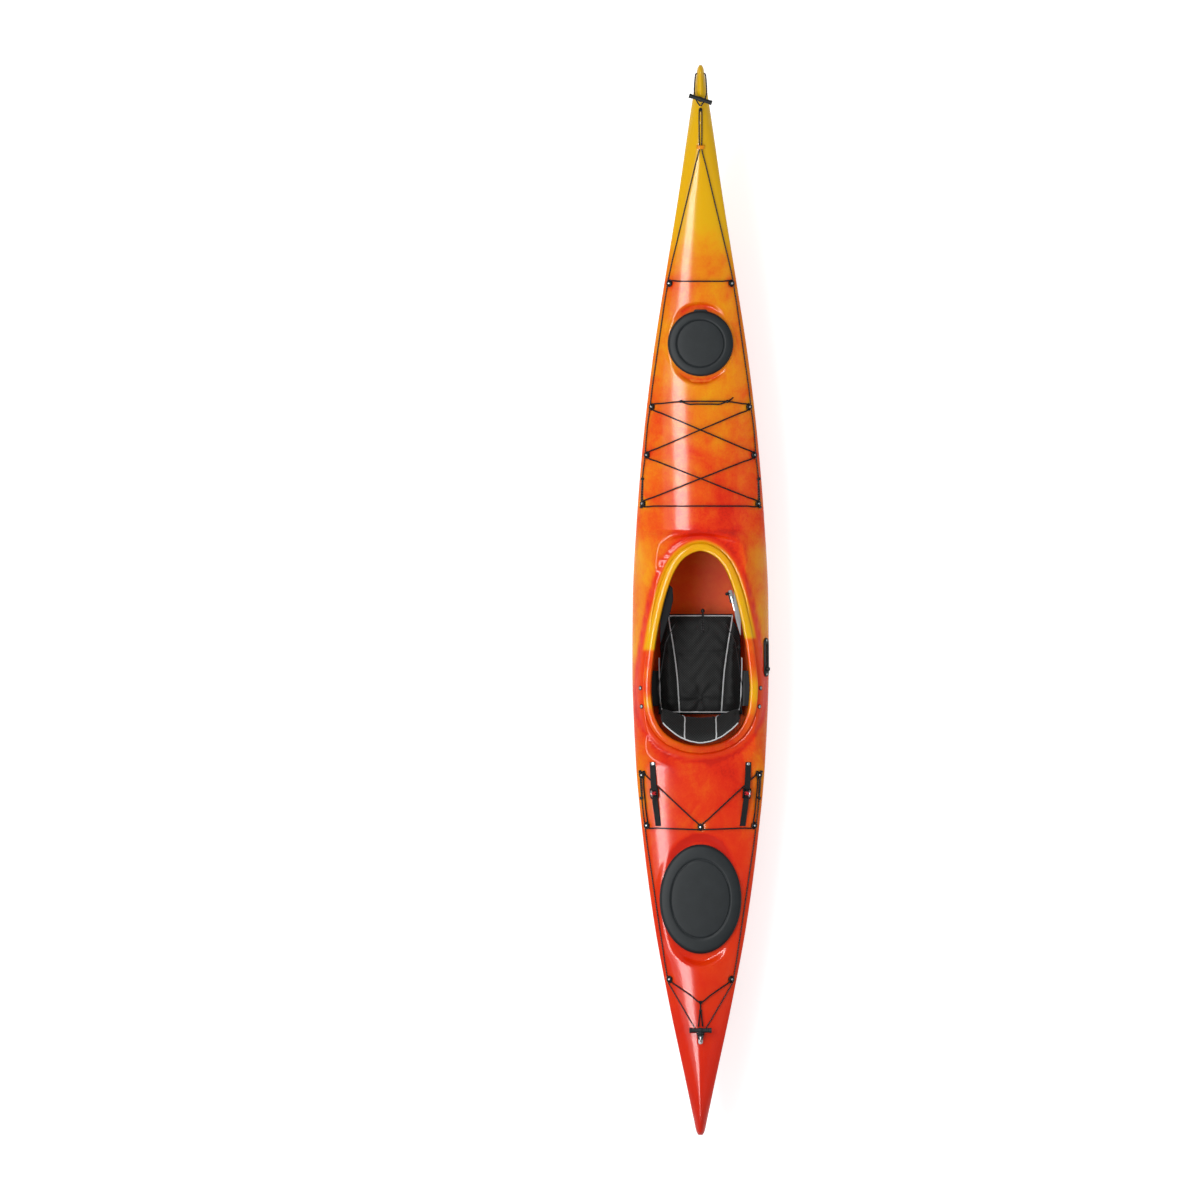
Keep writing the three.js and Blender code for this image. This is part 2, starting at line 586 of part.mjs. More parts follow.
function skegBladeOutline() {
  const { reach, heel, back, neck } = skegBlade;
  const nose = skegNoseDegrees.map((degrees) => skegPoint(-neck, degrees));
  return [...nose, skegPoint(back, -skegBlade.backDegrees), skegPoint(heel, skegBlade.heelTopDegrees),
    skegPoint(heel, skegBlade.heelDegrees), skegPoint((reach + heel) / 2, skegBlade.roundDegrees),
    skegPoint(reach, skegBlade.dropDegrees), skegPoint(reach * skegBlade.toeShare, skegBlade.toeDegrees)];
}

const skegTipDrop = -Math.min(...skegBladeOutline().map((point) => point[1]));

function skegBoxOutline(grow) {
  const front = skegPivotX + skegBox.ahead + grow;
  const rear = skegPivotX - skegBlade.heel - skegBox.behind - grow;
  const top = skegPoint(skegBlade.back, -skegBlade.backDegrees - skegBlade.swingDegrees)[1] + skegBox.above + grow;
  const low = (x) => keelAt(x / halfLength) + (veeAt(x / halfLength) * skegBox.wall) / 2;
  return { front, rear, top, frontLow: low(front), rearLow: low(rear) };
}

function skegBoxGeometry() {
  const outer = skegBoxOutline(skegBox.wall);
  const inner = skegBoxOutline(0);
  const width = skegBox.innerWidth;
  const neck = skegPivotZ + 2 * skegBlade.neck;
  const shell = sideView([[outer.front, outer.frontLow], [outer.front, neck], [outer.rear + skegBlade.back, outer.top],
    [outer.rear, outer.top], [outer.rear, outer.rearLow]], width + 2 * skegBox.wall, [skegPin.radius + skegPin.clearance]);
  const hollow = sideView([[inner.front, -overrun], [inner.front, neck - skegBox.wall],
    [inner.rear + skegBlade.back, inner.top], [inner.rear, inner.top], [inner.rear, -overrun]], width);
  return geometryOf(solidOf(shell).subtract(solidOf(hollow)));
}

function skegSlot() {
  const cut = skegBoxOutline(skegBox.wall + clearance);
  return solidOf(box(cut.rear, -skegBox.innerWidth / 2 - skegBox.wall - clearance, -overrun, cut.front,
    skegBox.innerWidth / 2 + skegBox.wall + clearance, cut.top));
}

const sliderFrame = (() => {
  const x = slider.atShare * halfLength;
  const height = gunwaleShareAt(slider.atShare) * hullDepth + slider.width * 0.8;
  return seatFrame(hullPoint(bareHull, x, -hullLength, height, new THREE.Vector3(0, 1, 0)));
})();

// Bulkheads close off the fore and aft compartments, and the skeg's cable passes through the aft one
const cableRoute = (() => {
  const start = new THREE.Vector3(skegBoxOutline(skegBox.wall).front + clearance, 0, skegPivotZ + skegBlade.neck);
  const points = [start, start.clone().add(new THREE.Vector3(skegCable.run, 0, 0))];
  for (const [share, heightShare] of cableShares) {
    const look = new THREE.Vector3(0, -1, 0);
    const { point, normal } = hullPoint(bareInside, share * halfLength, 0, heightShare * hullDepth, look);
    const away = normal.dot(look) > 0 ? -1 : 1;
    points.push(point.addScaledVector(normal, away * (skegCable.radius + skegCable.inboard)));
  }
  return points;
})();

function bulkhead(share, passing) {
  const x = share * halfLength;
  const half = bulkheadThickness / 2;
  const slab = solidOf(box(x - half, -hullBeam, -hullDepth, x + half, hullBeam, 2 * hullDepth));
  const fitted = solidOf(hullGeometry(wall + clearance, innerReachShare)).intersect(slab);
  return geometryOf(passing ? fitted.subtract(passing) : fitted);
}

function sliderTrack() {
  const outline = oblong(slider.length, slider.width);
  outline.holes.push(new THREE.Path(oblong(slider.slotLength, slider.slotWidth).getPoints()));
  const base = new THREE.Matrix4().makeTranslation(0, 0, clearance - slider.pocket);
  return extruded(outline, slider.thickness, sliderFrame.clone().multiply(base));
}

function sliderKnob() {
  const x = -slider.travel / 2;
  const top = slider.thickness - slider.pocket + 2 * clearance;
  const knob = bar(place(sliderFrame, x, 0, top), place(sliderFrame, x, 0, top + slider.knobHeight), slider.knobRadius);
  const stem = bar(place(sliderFrame, x, 0, 2 * clearance - slider.pocket), place(sliderFrame, x, 0, top + embed),
    slider.stemWidth / 2);
  return geometryOf(solidOf(knob).add(solidOf(stem)));
}

// A copy on the other side of the keel's plane
function mirrored(geometry) {
  const copy = geometryOf(solidOf(geometry));
  copy.scale(1, -1, 1);
  const index = copy.index.array;
  for (let i = 0; i < index.length; i += 3) [index[i + 1], index[i + 2]] = [index[i + 2], index[i + 1]];
  return copy;
}

function addPair(name, finish, geometry) {
  addPart(`${name}_port`, finish, geometry);
  addPart(`${name}_starboard`, finish, mirrored(geometry));
}

// Seat
const seatFront = openingFrontShare * halfLength - seat.behindFront;
const seatRear = seatFront - seat.length;
const seatHalf = (along) => THREE.MathUtils.lerp(seat.rearWidth, seat.frontWidth, along) / 2;
const hingeX = seatRear - backrest.earLength;
const hingeZ = seat.rise + seat.bolsterRise + backrest.earRise;

// A flat outline in the plane of the keel, given a thickness to port from y
function upstand(points, y, thickness) {
  return extruded(shapeOf(points), thickness, upright.clone().setPosition(0, y + thickness, 0));
}

function seatPan() {
  const trough = (ends, inset, over) => skin(ends.map((along) => {
    const half = seatHalf(along) - inset;
    const low = seat.rise + inset;
    const top = seat.rise + seat.bolsterRise + over;
    return [[-half, low + seat.corner], [seat.corner - half, low], [half - seat.corner, low], [half, low + seat.corner],
      [half, top], [-half, top]].map(([y, z]) => new THREE.Vector3(seatRear + along * seat.length, y, z));
  }));
  const wingMiddle = seatRear + seatWing.ahead;
  const wingTop = gunwaleShareAt(wingMiddle / halfLength) * hullDepth + seatWing.aboveGunwale;
  const look = new THREE.Vector3(0, 1, 0);
  const reach = Math.min(...[-1, 1].map((end) => hullPoint(
    bareInside, wingMiddle + (end * seatWing.length) / 2, 0, wingTop, look).point.y)) - 2 * clearance;
  const thick = seatWing.thickness;
  const root = seatHalf((seatWing.ahead + seatWing.length / 2) / seat.length) - seat.panThickness / 2;
  const foot = seat.rise + seat.corner;
  const wing = seatWingShares.map(([outShare, upShare]) => [
    THREE.MathUtils.lerp(root, reach, outShare), THREE.MathUtils.lerp(foot, wingTop, upShare)]);
  const back = wing.slice().reverse().map(([y, z], i) => (i === 0 ? [y - thick, z] : [y - thick / 2, z + thick]));
  const across = new THREE.Matrix4().makeBasis(new THREE.Vector3(0, 1, 0), new THREE.Vector3(0, 0, 1),
    new THREE.Vector3(1, 0, 0)).setPosition(wingMiddle - seatWing.length / 2, 0, 0);
  const wingGeometry = extruded(shapeOf([...wing, ...back]), seatWing.length, across);
  const earFront = seatRear + seat.panThickness - 2 * clearance;
  const ear = upstand([[earFront, seat.rise], [earFront, hingeZ],
    [hingeX, hingeZ + backrest.earRadius], [hingeX - backrest.earRadius, hingeZ], [hingeX, hingeZ - backrest.earRadius],
    [seatRear, seat.rise]], backrest.earAcross, backrest.earWidth);
  const hollow = solidOf(trough(panOverrunShares, seat.panThickness, seat.rise));
  let pan = solidOf(trough([0, 1], 0, 0)).add(solidOf(wingGeometry)).add(solidOf(mirrored(wingGeometry))).subtract(hollow);
  for (const piece of [ear, mirrored(ear)]) pan = pan.add(solidOf(piece));
  const reachPin = backrest.earAcross + backrest.pinLength;
  const pinHole = bar(new THREE.Vector3(hingeX, -reachPin, hingeZ), new THREE.Vector3(hingeX, reachPin, hingeZ),
    backrest.pinRadius + 2 * clearance);
  return geometryOf(pan.subtract(solidOf(pinHole)));
}

// The seat cushion: crowned, raised at its sides, drawn in by two channels, two seams and three tufts
function seatCushion() {
  const columns = 20;
  const rows = 17;
  const bottom = seat.rise + seat.panThickness + clearance;
  const dip = (distance, width) => Math.exp(-((distance / width) ** 2));
  const rings = [];
  for (let row = 0; row <= rows; row += 1) {
    const along = row / rows;
    const x = seatRear + seat.panThickness + along * (seat.length - 2 * seat.panThickness);
    const half = seatHalf(along) - seat.panThickness - 2 * clearance;
    const endRound = 1 - Math.abs(2 * along - 1) ** 8;
    const foot = half - seat.corner - clearance;
    const side = half * (0.94 + 0.06 * endRound);
    const ring = [[-side, bottom + seat.corner], [-foot, bottom], [0, bottom], [foot, bottom], [side, bottom + seat.corner]]
      .map(([y, z]) => new THREE.Vector3(x, y, z));
    for (let column = 0; column <= columns; column += 1) {
      const across = 1 - (2 * column) / columns;
      const fullness = (1 - Math.abs(across) ** 8) * endRound;
      const bolster = THREE.MathUtils.smoothstep(Math.abs(across), 0.5, 0.8) * fullness;
      let height = seat.cushionThickness * (0.5 + 0.5 * fullness) + bolster * seat.bolster
        + seat.crown * (1 - across ** 2) * (1 - (2 * along - 1) ** 2) + along ** 3 * endRound * seat.frontRise * 0.4;
      height -= seat.channel * dip(Math.abs(across) - 0.56, 0.07) * endRound;
      for (const seam of seatSeamShares) height -= (seat.channel / 2) * dip((along - seam) * seat.length, seat.seamWidth);
      for (const [tuftAlong, tuftAcross] of seatTuftShares) {
        const distance = Math.hypot((along - tuftAlong) * seat.length, (across - tuftAcross) * half);
        height -= seat.tuft * dip(distance, seat.tuftRadius) * (0.4 + 0.6 * endRound);
      }
      ring.push(new THREE.Vector3(x, across * side, bottom + Math.max(height, seat.corner + embed)));
    }
    rings.push(ring);
  }
  return skin(rings);
}

// Where the backrest's middle surface lies: across runs from -1 to 1, height from its foot
function backrestPoint(across, height, out) {
  const lean = Math.tan(THREE.MathUtils.degToRad(backrest.leanDegrees));
  const x = hingeX - backrest.footBehind + backrest.sweep * across * across - height * lean + out;
  return new THREE.Vector3(x, (across * backrest.width) / 2, hingeZ + backrest.footRise + height);
}

function backrestPad() {
  const rings = [];
  const across = 18;
  const around = 14;
  for (let i = 0; i <= across; i += 1) {
    const share = (2 * i) / across - 1;
    const end = Math.sqrt(1 - 0.82 * share ** 6);
    const pipe = backrest.channel * backrestPipeShares.reduce(
      (sum, pipeShare) => sum + Math.exp(-(((Math.abs(share) - pipeShare) / 0.06) ** 2)), 0);
    const ring = [];
    for (let j = 0; j < around; j += 1) {
      const angle = Math.PI / 2 - (j / around) * 2 * Math.PI;
      const round = 0.55;
      const up = Math.sign(Math.sin(angle)) * Math.abs(Math.sin(angle)) ** round;
      const out = Math.sign(Math.cos(angle)) * Math.abs(Math.cos(angle)) ** round;
      const half = backrest.height / 2;
      ring.push(backrestPoint(share, half + up * half * (0.72 + 0.28 * end),
        out * (backrest.thickness / 2 - pipe * (out > 0 ? 1 : 0)) * end));
    }
    rings.push(ring);
  }
  return skin(rings);
}

// The stiff plate behind the pad, with two arms down to its hinge
function backrestPlate() {
  const rings = [];
  const steps = 10;
  const front = -backrest.thickness / 2 - clearance;
  const rear = front - backrest.plate;
  for (let i = 0; i <= steps; i += 1) {
    const share = ((2 * i) / steps - 1) * backrest.plateShare;
    const low = 0;
    const high = backrest.height * backrest.plateShare;
    rings.push([backrestPoint(share, high, rear), backrestPoint(share, high, front),
      backrestPoint(share, low, front), backrestPoint(share, low, rear)]);
  }
  let plate = solidOf(skin(rings));
  const y = backrest.earAcross + backrest.earWidth + clearance;
  const share = (2 * (y + backrest.earWidth / 2)) / backrest.width;
  const high = backrestPoint(share, backrest.armRise, rear);
  const low = backrestPoint(share, 0, rear);
  const radius = backrest.earRadius;
  const arm = upstand([[hingeX - radius, hingeZ], [hingeX, hingeZ - radius], [hingeX + radius, hingeZ],
    [low.x + 2 * backrest.plate, low.z], [low.x + backrest.plate / 2, low.z], [high.x + backrest.plate / 2, high.z],
    [high.x - backrest.plate, high.z], [low.x - backrest.plate, low.z]], y, backrest.earWidth);
  plate = plate.add(solidOf(arm)).add(solidOf(mirrored(arm)));
  const reachPin = y + backrest.pinLength;
  const pinHole = bar(new THREE.Vector3(hingeX, -reachPin, hingeZ), new THREE.Vector3(hingeX, reachPin, hingeZ),
    backrest.pinRadius + 2 * clearance);
  return geometryOf(plate.subtract(solidOf(pinHole)));
}

function backrestPin() {
  const inner = backrest.earAcross;
  return bar(new THREE.Vector3(hingeX, inner, hingeZ),
    new THREE.Vector3(hingeX, inner + 2 * backrest.earWidth + clearance, hingeZ), backrest.pinRadius);
}

// Thigh brace: a plate under the flat of the cockpit plinth
const up = new THREE.Vector3(0, 0, 1);
function braceTop(x) {
  return Math.min(...[thighBrace.inner, thighBrace.outer].map(
    (y) => hullPoint(bareInside, x, y, seat.rise, up).point.z)) - clearance;
}
function thighBracePlate() {
  const steps = 6;
  const rings = [];
  for (let i = 0; i <= steps; i += 1) {
    const share = i / steps;
    const x = thighBrace.frontShare * halfLength - (1 - share) * thighBrace.length;
    const top = braceTop(x) - thighBrace.sagShare * thighBrace.thickness;
    const taper = 1 - 0.35 * Math.abs(2 * share - 1) ** 3;
    const inner = THREE.MathUtils.lerp(thighBrace.outer, thighBrace.inner, taper);
    rings.push([[inner, top - thighBrace.thickness], [thighBrace.outer, top - thighBrace.thickness],
      [thighBrace.outer, top], [inner, top]].map(([y, z]) => new THREE.Vector3(x, y, z)));
  }
  return skin(rings);
}

// The strap that holds the backrest, running forward under the deck to the thigh brace
function backrestStrapBand() {
  const side = backrest.width / 2 + backrestStrap.outboard;
  const braceRear = thighBrace.frontShare * halfLength - thighBrace.length;
  const underBrace = [0, 2, 3].map((widths) => {
    const x = braceRear + widths * backrestStrap.width;
    const z = braceTop(x) - thighBrace.thickness * (1 + thighBrace.sagShare) - backrestStrap.width / 2 - 4 * clearance;
    return new THREE.Vector3(x, thighBrace.outer - (1 + widths / 2) * backrestStrap.width, z);
  });
  const rear = backrestPoint(1, backrest.height / 2, 0);
  const strapZ = hingeZ + backrestStrap.aboveHinge;
  const points = [new THREE.Vector3(rear.x - 2 * backrestStrap.width, rear.y + 2 * clearance, strapZ),
    new THREE.Vector3(rear.x + backrestStrap.width, rear.y + 2 * clearance, strapZ),
    new THREE.Vector3(seatRear + seat.length / 4, side, (strapZ + underBrace[0].z) / 2), ...underBrace];
  return ribbon(points, points.map(() => new THREE.Vector3(0, 1, 0)), backrestStrap.width, backrestStrap.thickness);
}

function ratchetBody() {
  const x = thighBrace.frontShare * halfLength - thighBrace.length / 3;
  const front = x + ratchet.length;
  const top = Math.min(braceTop(x), braceTop(front)) - thighBrace.thickness * (1 + thighBrace.sagShare) - clearance;
  return box(x, -thighBrace.inner - ratchet.inset - ratchet.width, top - ratchet.thickness, front,
    -thighBrace.inner - ratchet.inset, top);
}

// Foot braces: a rail along the inside of the hull and a pedal that slides on it
const railFrame = (() => {
  const look = new THREE.Vector3(0, 1, 0);
  const low = footRail.height - footRail.depth / 2;
  const ends = [footRail.rearShare, footRail.frontShare].map(
    (share) => hullPoint(bareInside, share * halfLength, 0, low, look).point);
  const along = ends[1].clone().sub(ends[0]);
  const x = along.clone().normalize();
  const y = new THREE.Vector3().crossVectors(up, x);
  return {
    length: along.length(),
    frame: new THREE.Matrix4().makeBasis(x, y, up)
      .setPosition(ends[0].x, ends[0].y - 2 * clearance, footRail.height),
  };
})();

function footRailBar() {
  const half = footRail.depth / 2;
  return box(0, -footRail.thickness, -half, railFrame.length, 0, half, railFrame.frame);
}

function footPedal() {
  const middle = railFrame.length / 2;
  const half = pedal.carriage / 2;
  const inner = -footRail.thickness - clearance;
  const face = inner - pedal.jaw;
  const reach = footRail.depth / 2 + clearance;
  const high = reach + pedal.jaw;
  const pieces = [
    box(middle - half, face, -high, middle + half, inner, high, railFrame.frame),
    box(middle - half, face, reach, middle + half, -pedal.jaw / 2, high, railFrame.frame),
    box(middle - half, face, -high, middle + half, -pedal.jaw / 2, -reach, railFrame.frame),
    box(middle - half, inner - pedal.width, -pedal.height / 5, middle - half + pedal.thickness, inner,
      (pedal.height * 4) / 5, railFrame.frame),
  ];
  return geometryOf(pieces.map(solidOf).reduce((sum, piece) => sum.add(piece)));
}

// Deck lines and bungees
function throughClip(name, side, outboard, direction) {
  const frame = clips[`${name}_${side > 0 ? 'port' : 'starboard'}`];
  return [-clipRun, clipRun].map((along) => inClip(frame, side, outboard, along * direction));
}

function lineSpan(points, next, steps, radius, lift, rise = 0) {
  const from = points.at(-1);
  points.push(...overDeck(from, next[0], steps, radius, lift, rise), ...next);
}

function bowDeckLine() {
  const half = throughClip('cockpit', 1, true, 1);
  lineSpan(half, throughClip('middle', 1, true, 1), 3, lineRadius, lineLift);
  lineSpan(half, throughClip('forward', 1, true, 1), 3, lineRadius, lineLift);
  lineSpan(half, throughClip('bow', 1, true, 1), 7, lineRadius, lineLift);
  const eyeletSeat = deckPoint(eyelet.atShare * halfLength, 0).point;
  const eye = [-1, 1].map((end) => new THREE.Vector3(eyeletSeat.x + (end * eyelet.length) / 2, lineKnot.spread,
    eyeletSeat.z + eyelet.holeHeight / 2));
  lineSpan(half, eye, 8, lineRadius, lineLift);
  const knotX = lineKnot.atShare * halfLength;
  const knotSeat = deckPoint(knotX, 0).point;
  const turn = [0, 45, 90].map((degrees) => {
    const angle = THREE.MathUtils.degToRad(degrees);
    return new THREE.Vector3(knotX + lineKnot.spread * Math.sin(angle), lineKnot.spread * Math.cos(angle),
      knotSeat.z + lineRadius + lineLift + lineKnot.lift);
  });
  lineSpan(half, turn, 4, lineRadius, lineLift);
  const other = half.slice(0, -1).reverse().map((point) => new THREE.Vector3(point.x, -point.y, point.z));
  return cord([...half, ...other], lineRadius);
}

const ringFrame = seatFrame(deckPoint(shackle.atShare * halfLength, 0));
const ringBase = clearance - clip.pocketDepth;
const ringRise = ringBase + shackle.baseThickness + shackle.ring + shackle.wire - embed / 2;

const lineInRing = -shackle.wire - clearance;
const loopOverLine = lineInRing + lineRadius + bungeeRadius + clearance;

// The loop of a cord through the shackle's ring, at some height above the ring's middle
function loopInRing(height, radius) {
  const out = shackle.wire + radius + 2 * clearance;
  return [[out, out + radius], [0, out], [0, -out], [out, -out - radius]]
    .map(([x, y]) => place(ringFrame, x, y, ringRise + height));
}

function sternDeckLine() {
  const half = throughClip('seat', 1, true, -1);
  lineSpan(half, throughClip('reardeck', 1, true, -1), 4, lineRadius, lineLift);
  lineSpan(half, throughClip('stern', 1, true, -1), 9, lineRadius, lineLift);
  const loop = loopInRing(lineInRing, lineRadius).slice(0, 2);
  const { point, normal } = deckPoint(loop[0].x + lineKnot.underToggle, loop[0].y + lineKnot.underToggle / 3);
  const under = point.addScaledVector(normal, lineRadius + clearance + lineLift / 2);
  lineSpan(half, [under, ...loop], 6, lineRadius, lineLift);
  const other = half.slice().reverse().map((point) => new THREE.Vector3(point.x, -point.y, point.z));
  return cord([...half, ...other], lineRadius);
}

function foredeckBungee() {
  const beadPort = deckPoint(topBead.atShare * halfLength, topBead.port);
  const beadStarboard = deckPoint(topBead.atShare * halfLength, -topBead.starboard);
  const [bead1, bead2] = [beadPort, beadStarboard].map(
    ({ point, normal }) => point.addScaledVector(normal, beadRadius + clearance));
  const lift = cordLift;
  const radius = bungeeRadius;
  const points = [bead1];
  lineSpan(points, throughClip('forward', 1, false, -1), 3, radius, lift);
  lineSpan(points, throughClip('middle', -1, false, -1), 10, radius, lift);
  lineSpan(points, throughClip('cockpit', 1, false, -1), 10, radius, lift);
  lineSpan(points, throughClip('cockpit', -1, false, 1), 10, radius, lift);
  lineSpan(points, throughClip('middle', 1, false, 1), 10, radius, lift, crossingRise);
  lineSpan(points, throughClip('forward', -1, false, 1), 10, radius, lift, crossingRise);
  lineSpan(points, [bead2], 3, radius, lift);
  const strands = [0, topBead.sag].map((sag) => {
    const shift = new THREE.Vector3(-sag, 0, 0);
    return [bead1, ...overDeck(bead1.clone().add(shift), bead2.clone().add(shift), 6, radius, lift), bead2];
  });
  const ball = (at) => new THREE.SphereGeometry(beadRadius, 8, 6).translate(at.x, at.y, at.z);
  const pieces = [cord(points, radius), ...strands.map((strand) => cord(strand, radius)), ball(bead1), ball(bead2)];
  return geometryOf(pieces.map(solidOf).reduce((sum, piece) => sum.add(piece)));
}

function bowCrossBungee() {
  const points = throughClip('bow', 1, false, 1);
  lineSpan(points, throughClip('bow', -1, false, -1), 8, bungeeRadius, cordLift);
  return cord(points, bungeeRadius);
}

function reardeckBungee() {
  const radius = bungeeRadius;
  const throughCentre = (y) => [-clip.depth / 4, clipRun].map((along) => place(clips.centre, along, y, clipRise));
  const points = throughCentre(clip.spread);
  const beside = (side) => [[0, clip.width / 2 + 2 * radius], [clipRun + 2 * radius, clip.spread + 2 * radius]]
    .map(([along, inboard]) => place(clips[`seat_${side > 0 ? 'port' : 'starboard'}`], along, -side * inboard, clipRise));
  lineSpan(points, [...beside(1), ...throughClip('seat', 1, false, -1)], 8, radius, cordLift);
  lineSpan(points, throughClip('reardeck', 1, false, -1), 4, radius, cordLift);
  const behind = place(clips.centre, -clip.depth / 2 - radius - 4 * clearance, 0, radius + clearance + cordLift);
  lineSpan(points, [behind], 6, radius, cordLift);
  lineSpan(points, throughClip('reardeck', -1, false, 1), 6, radius, cordLift);
  lineSpan(points, [...throughClip('seat', -1, false, 1), ...beside(-1).reverse()], 4, radius, cordLift);
  lineSpan(points, throughCentre(-clip.spread).reverse(), 8, radius, cordLift);
  return cord(points, radius);
}

const toggleX = shackle.atShare * halfLength + sternToggle.ahead;
function sternRetainer() {
  const radius = bungeeRadius;
  const over = (share, y) => {
    const { point, normal } = deckPoint(share * halfLength, y);
    return point.addScaledVector(normal, beadRadius + 2 * clearance);
  };
  const fork = over(retainerForkShare, 0);
  const bead = over(retainerBeadShare, 0);
  const points = throughClip('stern', 1, false, -1);
  lineSpan(points, [fork], 3, radius, cordLift);
  lineSpan(points, throughClip('stern', -1, false, 1), 3, radius, cordLift);
  const endX = toggleX + sternToggle.radius + 2 * radius;
  const legs = [1, -1].map((side) => over(endX / halfLength, side * 2 * sternToggle.radius));
  const pieces = [cord(points, radius), bar(fork, bead, radius, cordSides),
    new THREE.SphereGeometry(beadRadius, 8, 6).translate(bead.x, bead.y, bead.z),
    cord([legs[0], bead, legs[1]], radius)];
  return geometryOf(pieces.map(solidOf).reduce((sum, piece) => sum.add(piece)));
}

// Carrying toggles: a grip on a loop of cord, which swings about the bow's hole or the stern's ring
const tipX = bowToggle.holeShare * halfLength;
const tipZ = ridgeShareAt(bowToggle.holeShare) * hullDepth - bowToggle.holeDrop;
function tipHole() {
  return bar(new THREE.Vector3(tipX, -overrun, tipZ), new THREE.Vector3(tipX, overrun, tipZ), bowToggle.holeRadius);
}

function bowToggleRoute() {
  const gripX = bowToggle.atShare * halfLength;
  const gripZ = deckPoint(gripX, 0).point.z + bowToggle.radius + 4 * clearance;
  const tipHalf = halfBeamAt(bowToggle.holeShare) + bungeeRadius + bowToggle.strandGap / 2;
  const reach = tipX - gripX;
  const route = bowStrandShares.map(([along, across, high]) => new THREE.Vector3(
    gripX + along * reach, across * tipHalf, THREE.MathUtils.lerp(gripZ, tipZ, high)));
  const other = route.slice().reverse().map((point) => new THREE.Vector3(point.x, -point.y, point.z));
  return { points: [...route, ...other], gripX, gripZ };
}

function bowToggleGrip() {
  const { points, gripX, gripZ } = bowToggleRoute();
  const angle = THREE.MathUtils.degToRad(bowToggle.turnDegrees);
  const half = new THREE.Vector3(Math.sin(angle), Math.cos(angle), 0).multiplyScalar(bowToggle.length / 2);
  const middle = new THREE.Vector3(gripX, 0, gripZ);
  const grip = solidOf(bar(middle.clone().sub(half), middle.clone().add(half), bowToggle.radius));
  return geometryOf(grip.subtract(solidOf(cord(points, bungeeRadius + clearance))));
}

function sternTogglePieces() {
  const loop = loopInRing(loopOverLine, bungeeRadius);
  const middle = place(ringFrame, sternToggle.ahead, 0, ringRise + shackle.wire);
  const start = middle.clone().add(new THREE.Vector3(sternToggle.radius / 2, sternToggle.radius / 2, 0));
  const end = middle.clone().add(new THREE.Vector3(sternToggle.radius / 2, -sternToggle.radius / 2, 0));
  const points = [start, ...loop, end];
  const half = new THREE.Vector3(0, sternToggle.length / 2, 0);
  const grip = solidOf(bar(middle.clone().sub(half), middle.clone().add(half), sternToggle.radius));
  const longer = [start.clone().add(new THREE.Vector3(clearance, 0, 0)), ...loop,
    end.clone().add(new THREE.Vector3(clearance, 0, 0))];
  return {
    cord: cord(points, bungeeRadius),
    grip: geometryOf(grip.subtract(solidOf(cord(longer, bungeeRadius + clearance)))),
  };
}

function sternShackle() {
  const base = box(-shackle.baseLength / 2, -shackle.baseWidth / 2, ringBase, shackle.baseLength / 2,
    shackle.baseWidth / 2, ringBase + shackle.baseThickness, ringFrame);
  const ring = new THREE.TorusGeometry(shackle.ring, shackle.wire, 8, 18).rotateX(Math.PI / 2)
    .applyMatrix4(ringFrame.clone().multiply(new THREE.Matrix4().makeTranslation(0, 0, ringRise)));
  return geometryOf(solidOf(base).add(solidOf(ring)));
}

// Deck straps
const strapX = (share) => THREE.MathUtils.lerp(deckStrap.frontShare, deckStrap.rearShare, share) * halfLength;
const strapSpot = (x) => deckPoint(x, halfBeamAt(x / halfLength) - deckStrap.inset);
function deckStrapBand() {
  const steps = 12;
  const points = [];
  const normals = [];
  const buckleX = buckle.atShare * halfLength;
  for (let i = 0; i <= steps; i += 1) {
    const x = strapX(i / steps);
    const { point, normal } = strapSpot(x);
    const near = Math.max(0, 1 - Math.max(0, Math.abs(x - buckleX) - buckle.length / 2) / deckStrap.ramp);
    const high = near * near * (3 - 2 * near) * deckStrap.lift;
    points.push(point.addScaledVector(normal, 2 * clearance + high));
    normals.push(normal);
  }
  return ribbon(points, normals, deckStrap.width, deckStrap.thickness);
}

const buckleFrame = seatFrame(strapSpot(buckle.atShare * halfLength), new THREE.Vector3(
  1, (halfBeamAt(buckle.atShare + 0.01) - halfBeamAt(buckle.atShare - 0.01)) / (0.02 * halfLength), 0).normalize());
const strapTop = deckStrap.lift + deckStrap.thickness + 4 * clearance;
const tabPin = strapTop + releaseTab.thickness / 2 + clearance;
const tabTop = tabPin + releaseTab.reach;
const ringHole = tabTop - releaseTab.thickness;

function strapBuckle() {
  const half = buckle.length / 2;
  const width = buckle.width / 2;
  const low = deckStrap.lift - buckle.cheek;
  const floor = deckStrap.lift - clearance;
  const high = low + buckle.height + buckle.cheek;
  const pieces = [
    box(-half, -width, low, half, width, floor, buckleFrame),
    box(-half, -width, low, half, -width + buckle.cheek, high, buckleFrame),
    box(-half, width - buckle.cheek, low, half, width, high, buckleFrame),
    bar(place(buckleFrame, 0, -width + clearance, tabPin), place(buckleFrame, 0, width - clearance, tabPin),
      releaseTab.pinRadius, 8),
  ];
  return geometryOf(pieces.map(solidOf).reduce((sum, piece) => sum.add(piece)));
}

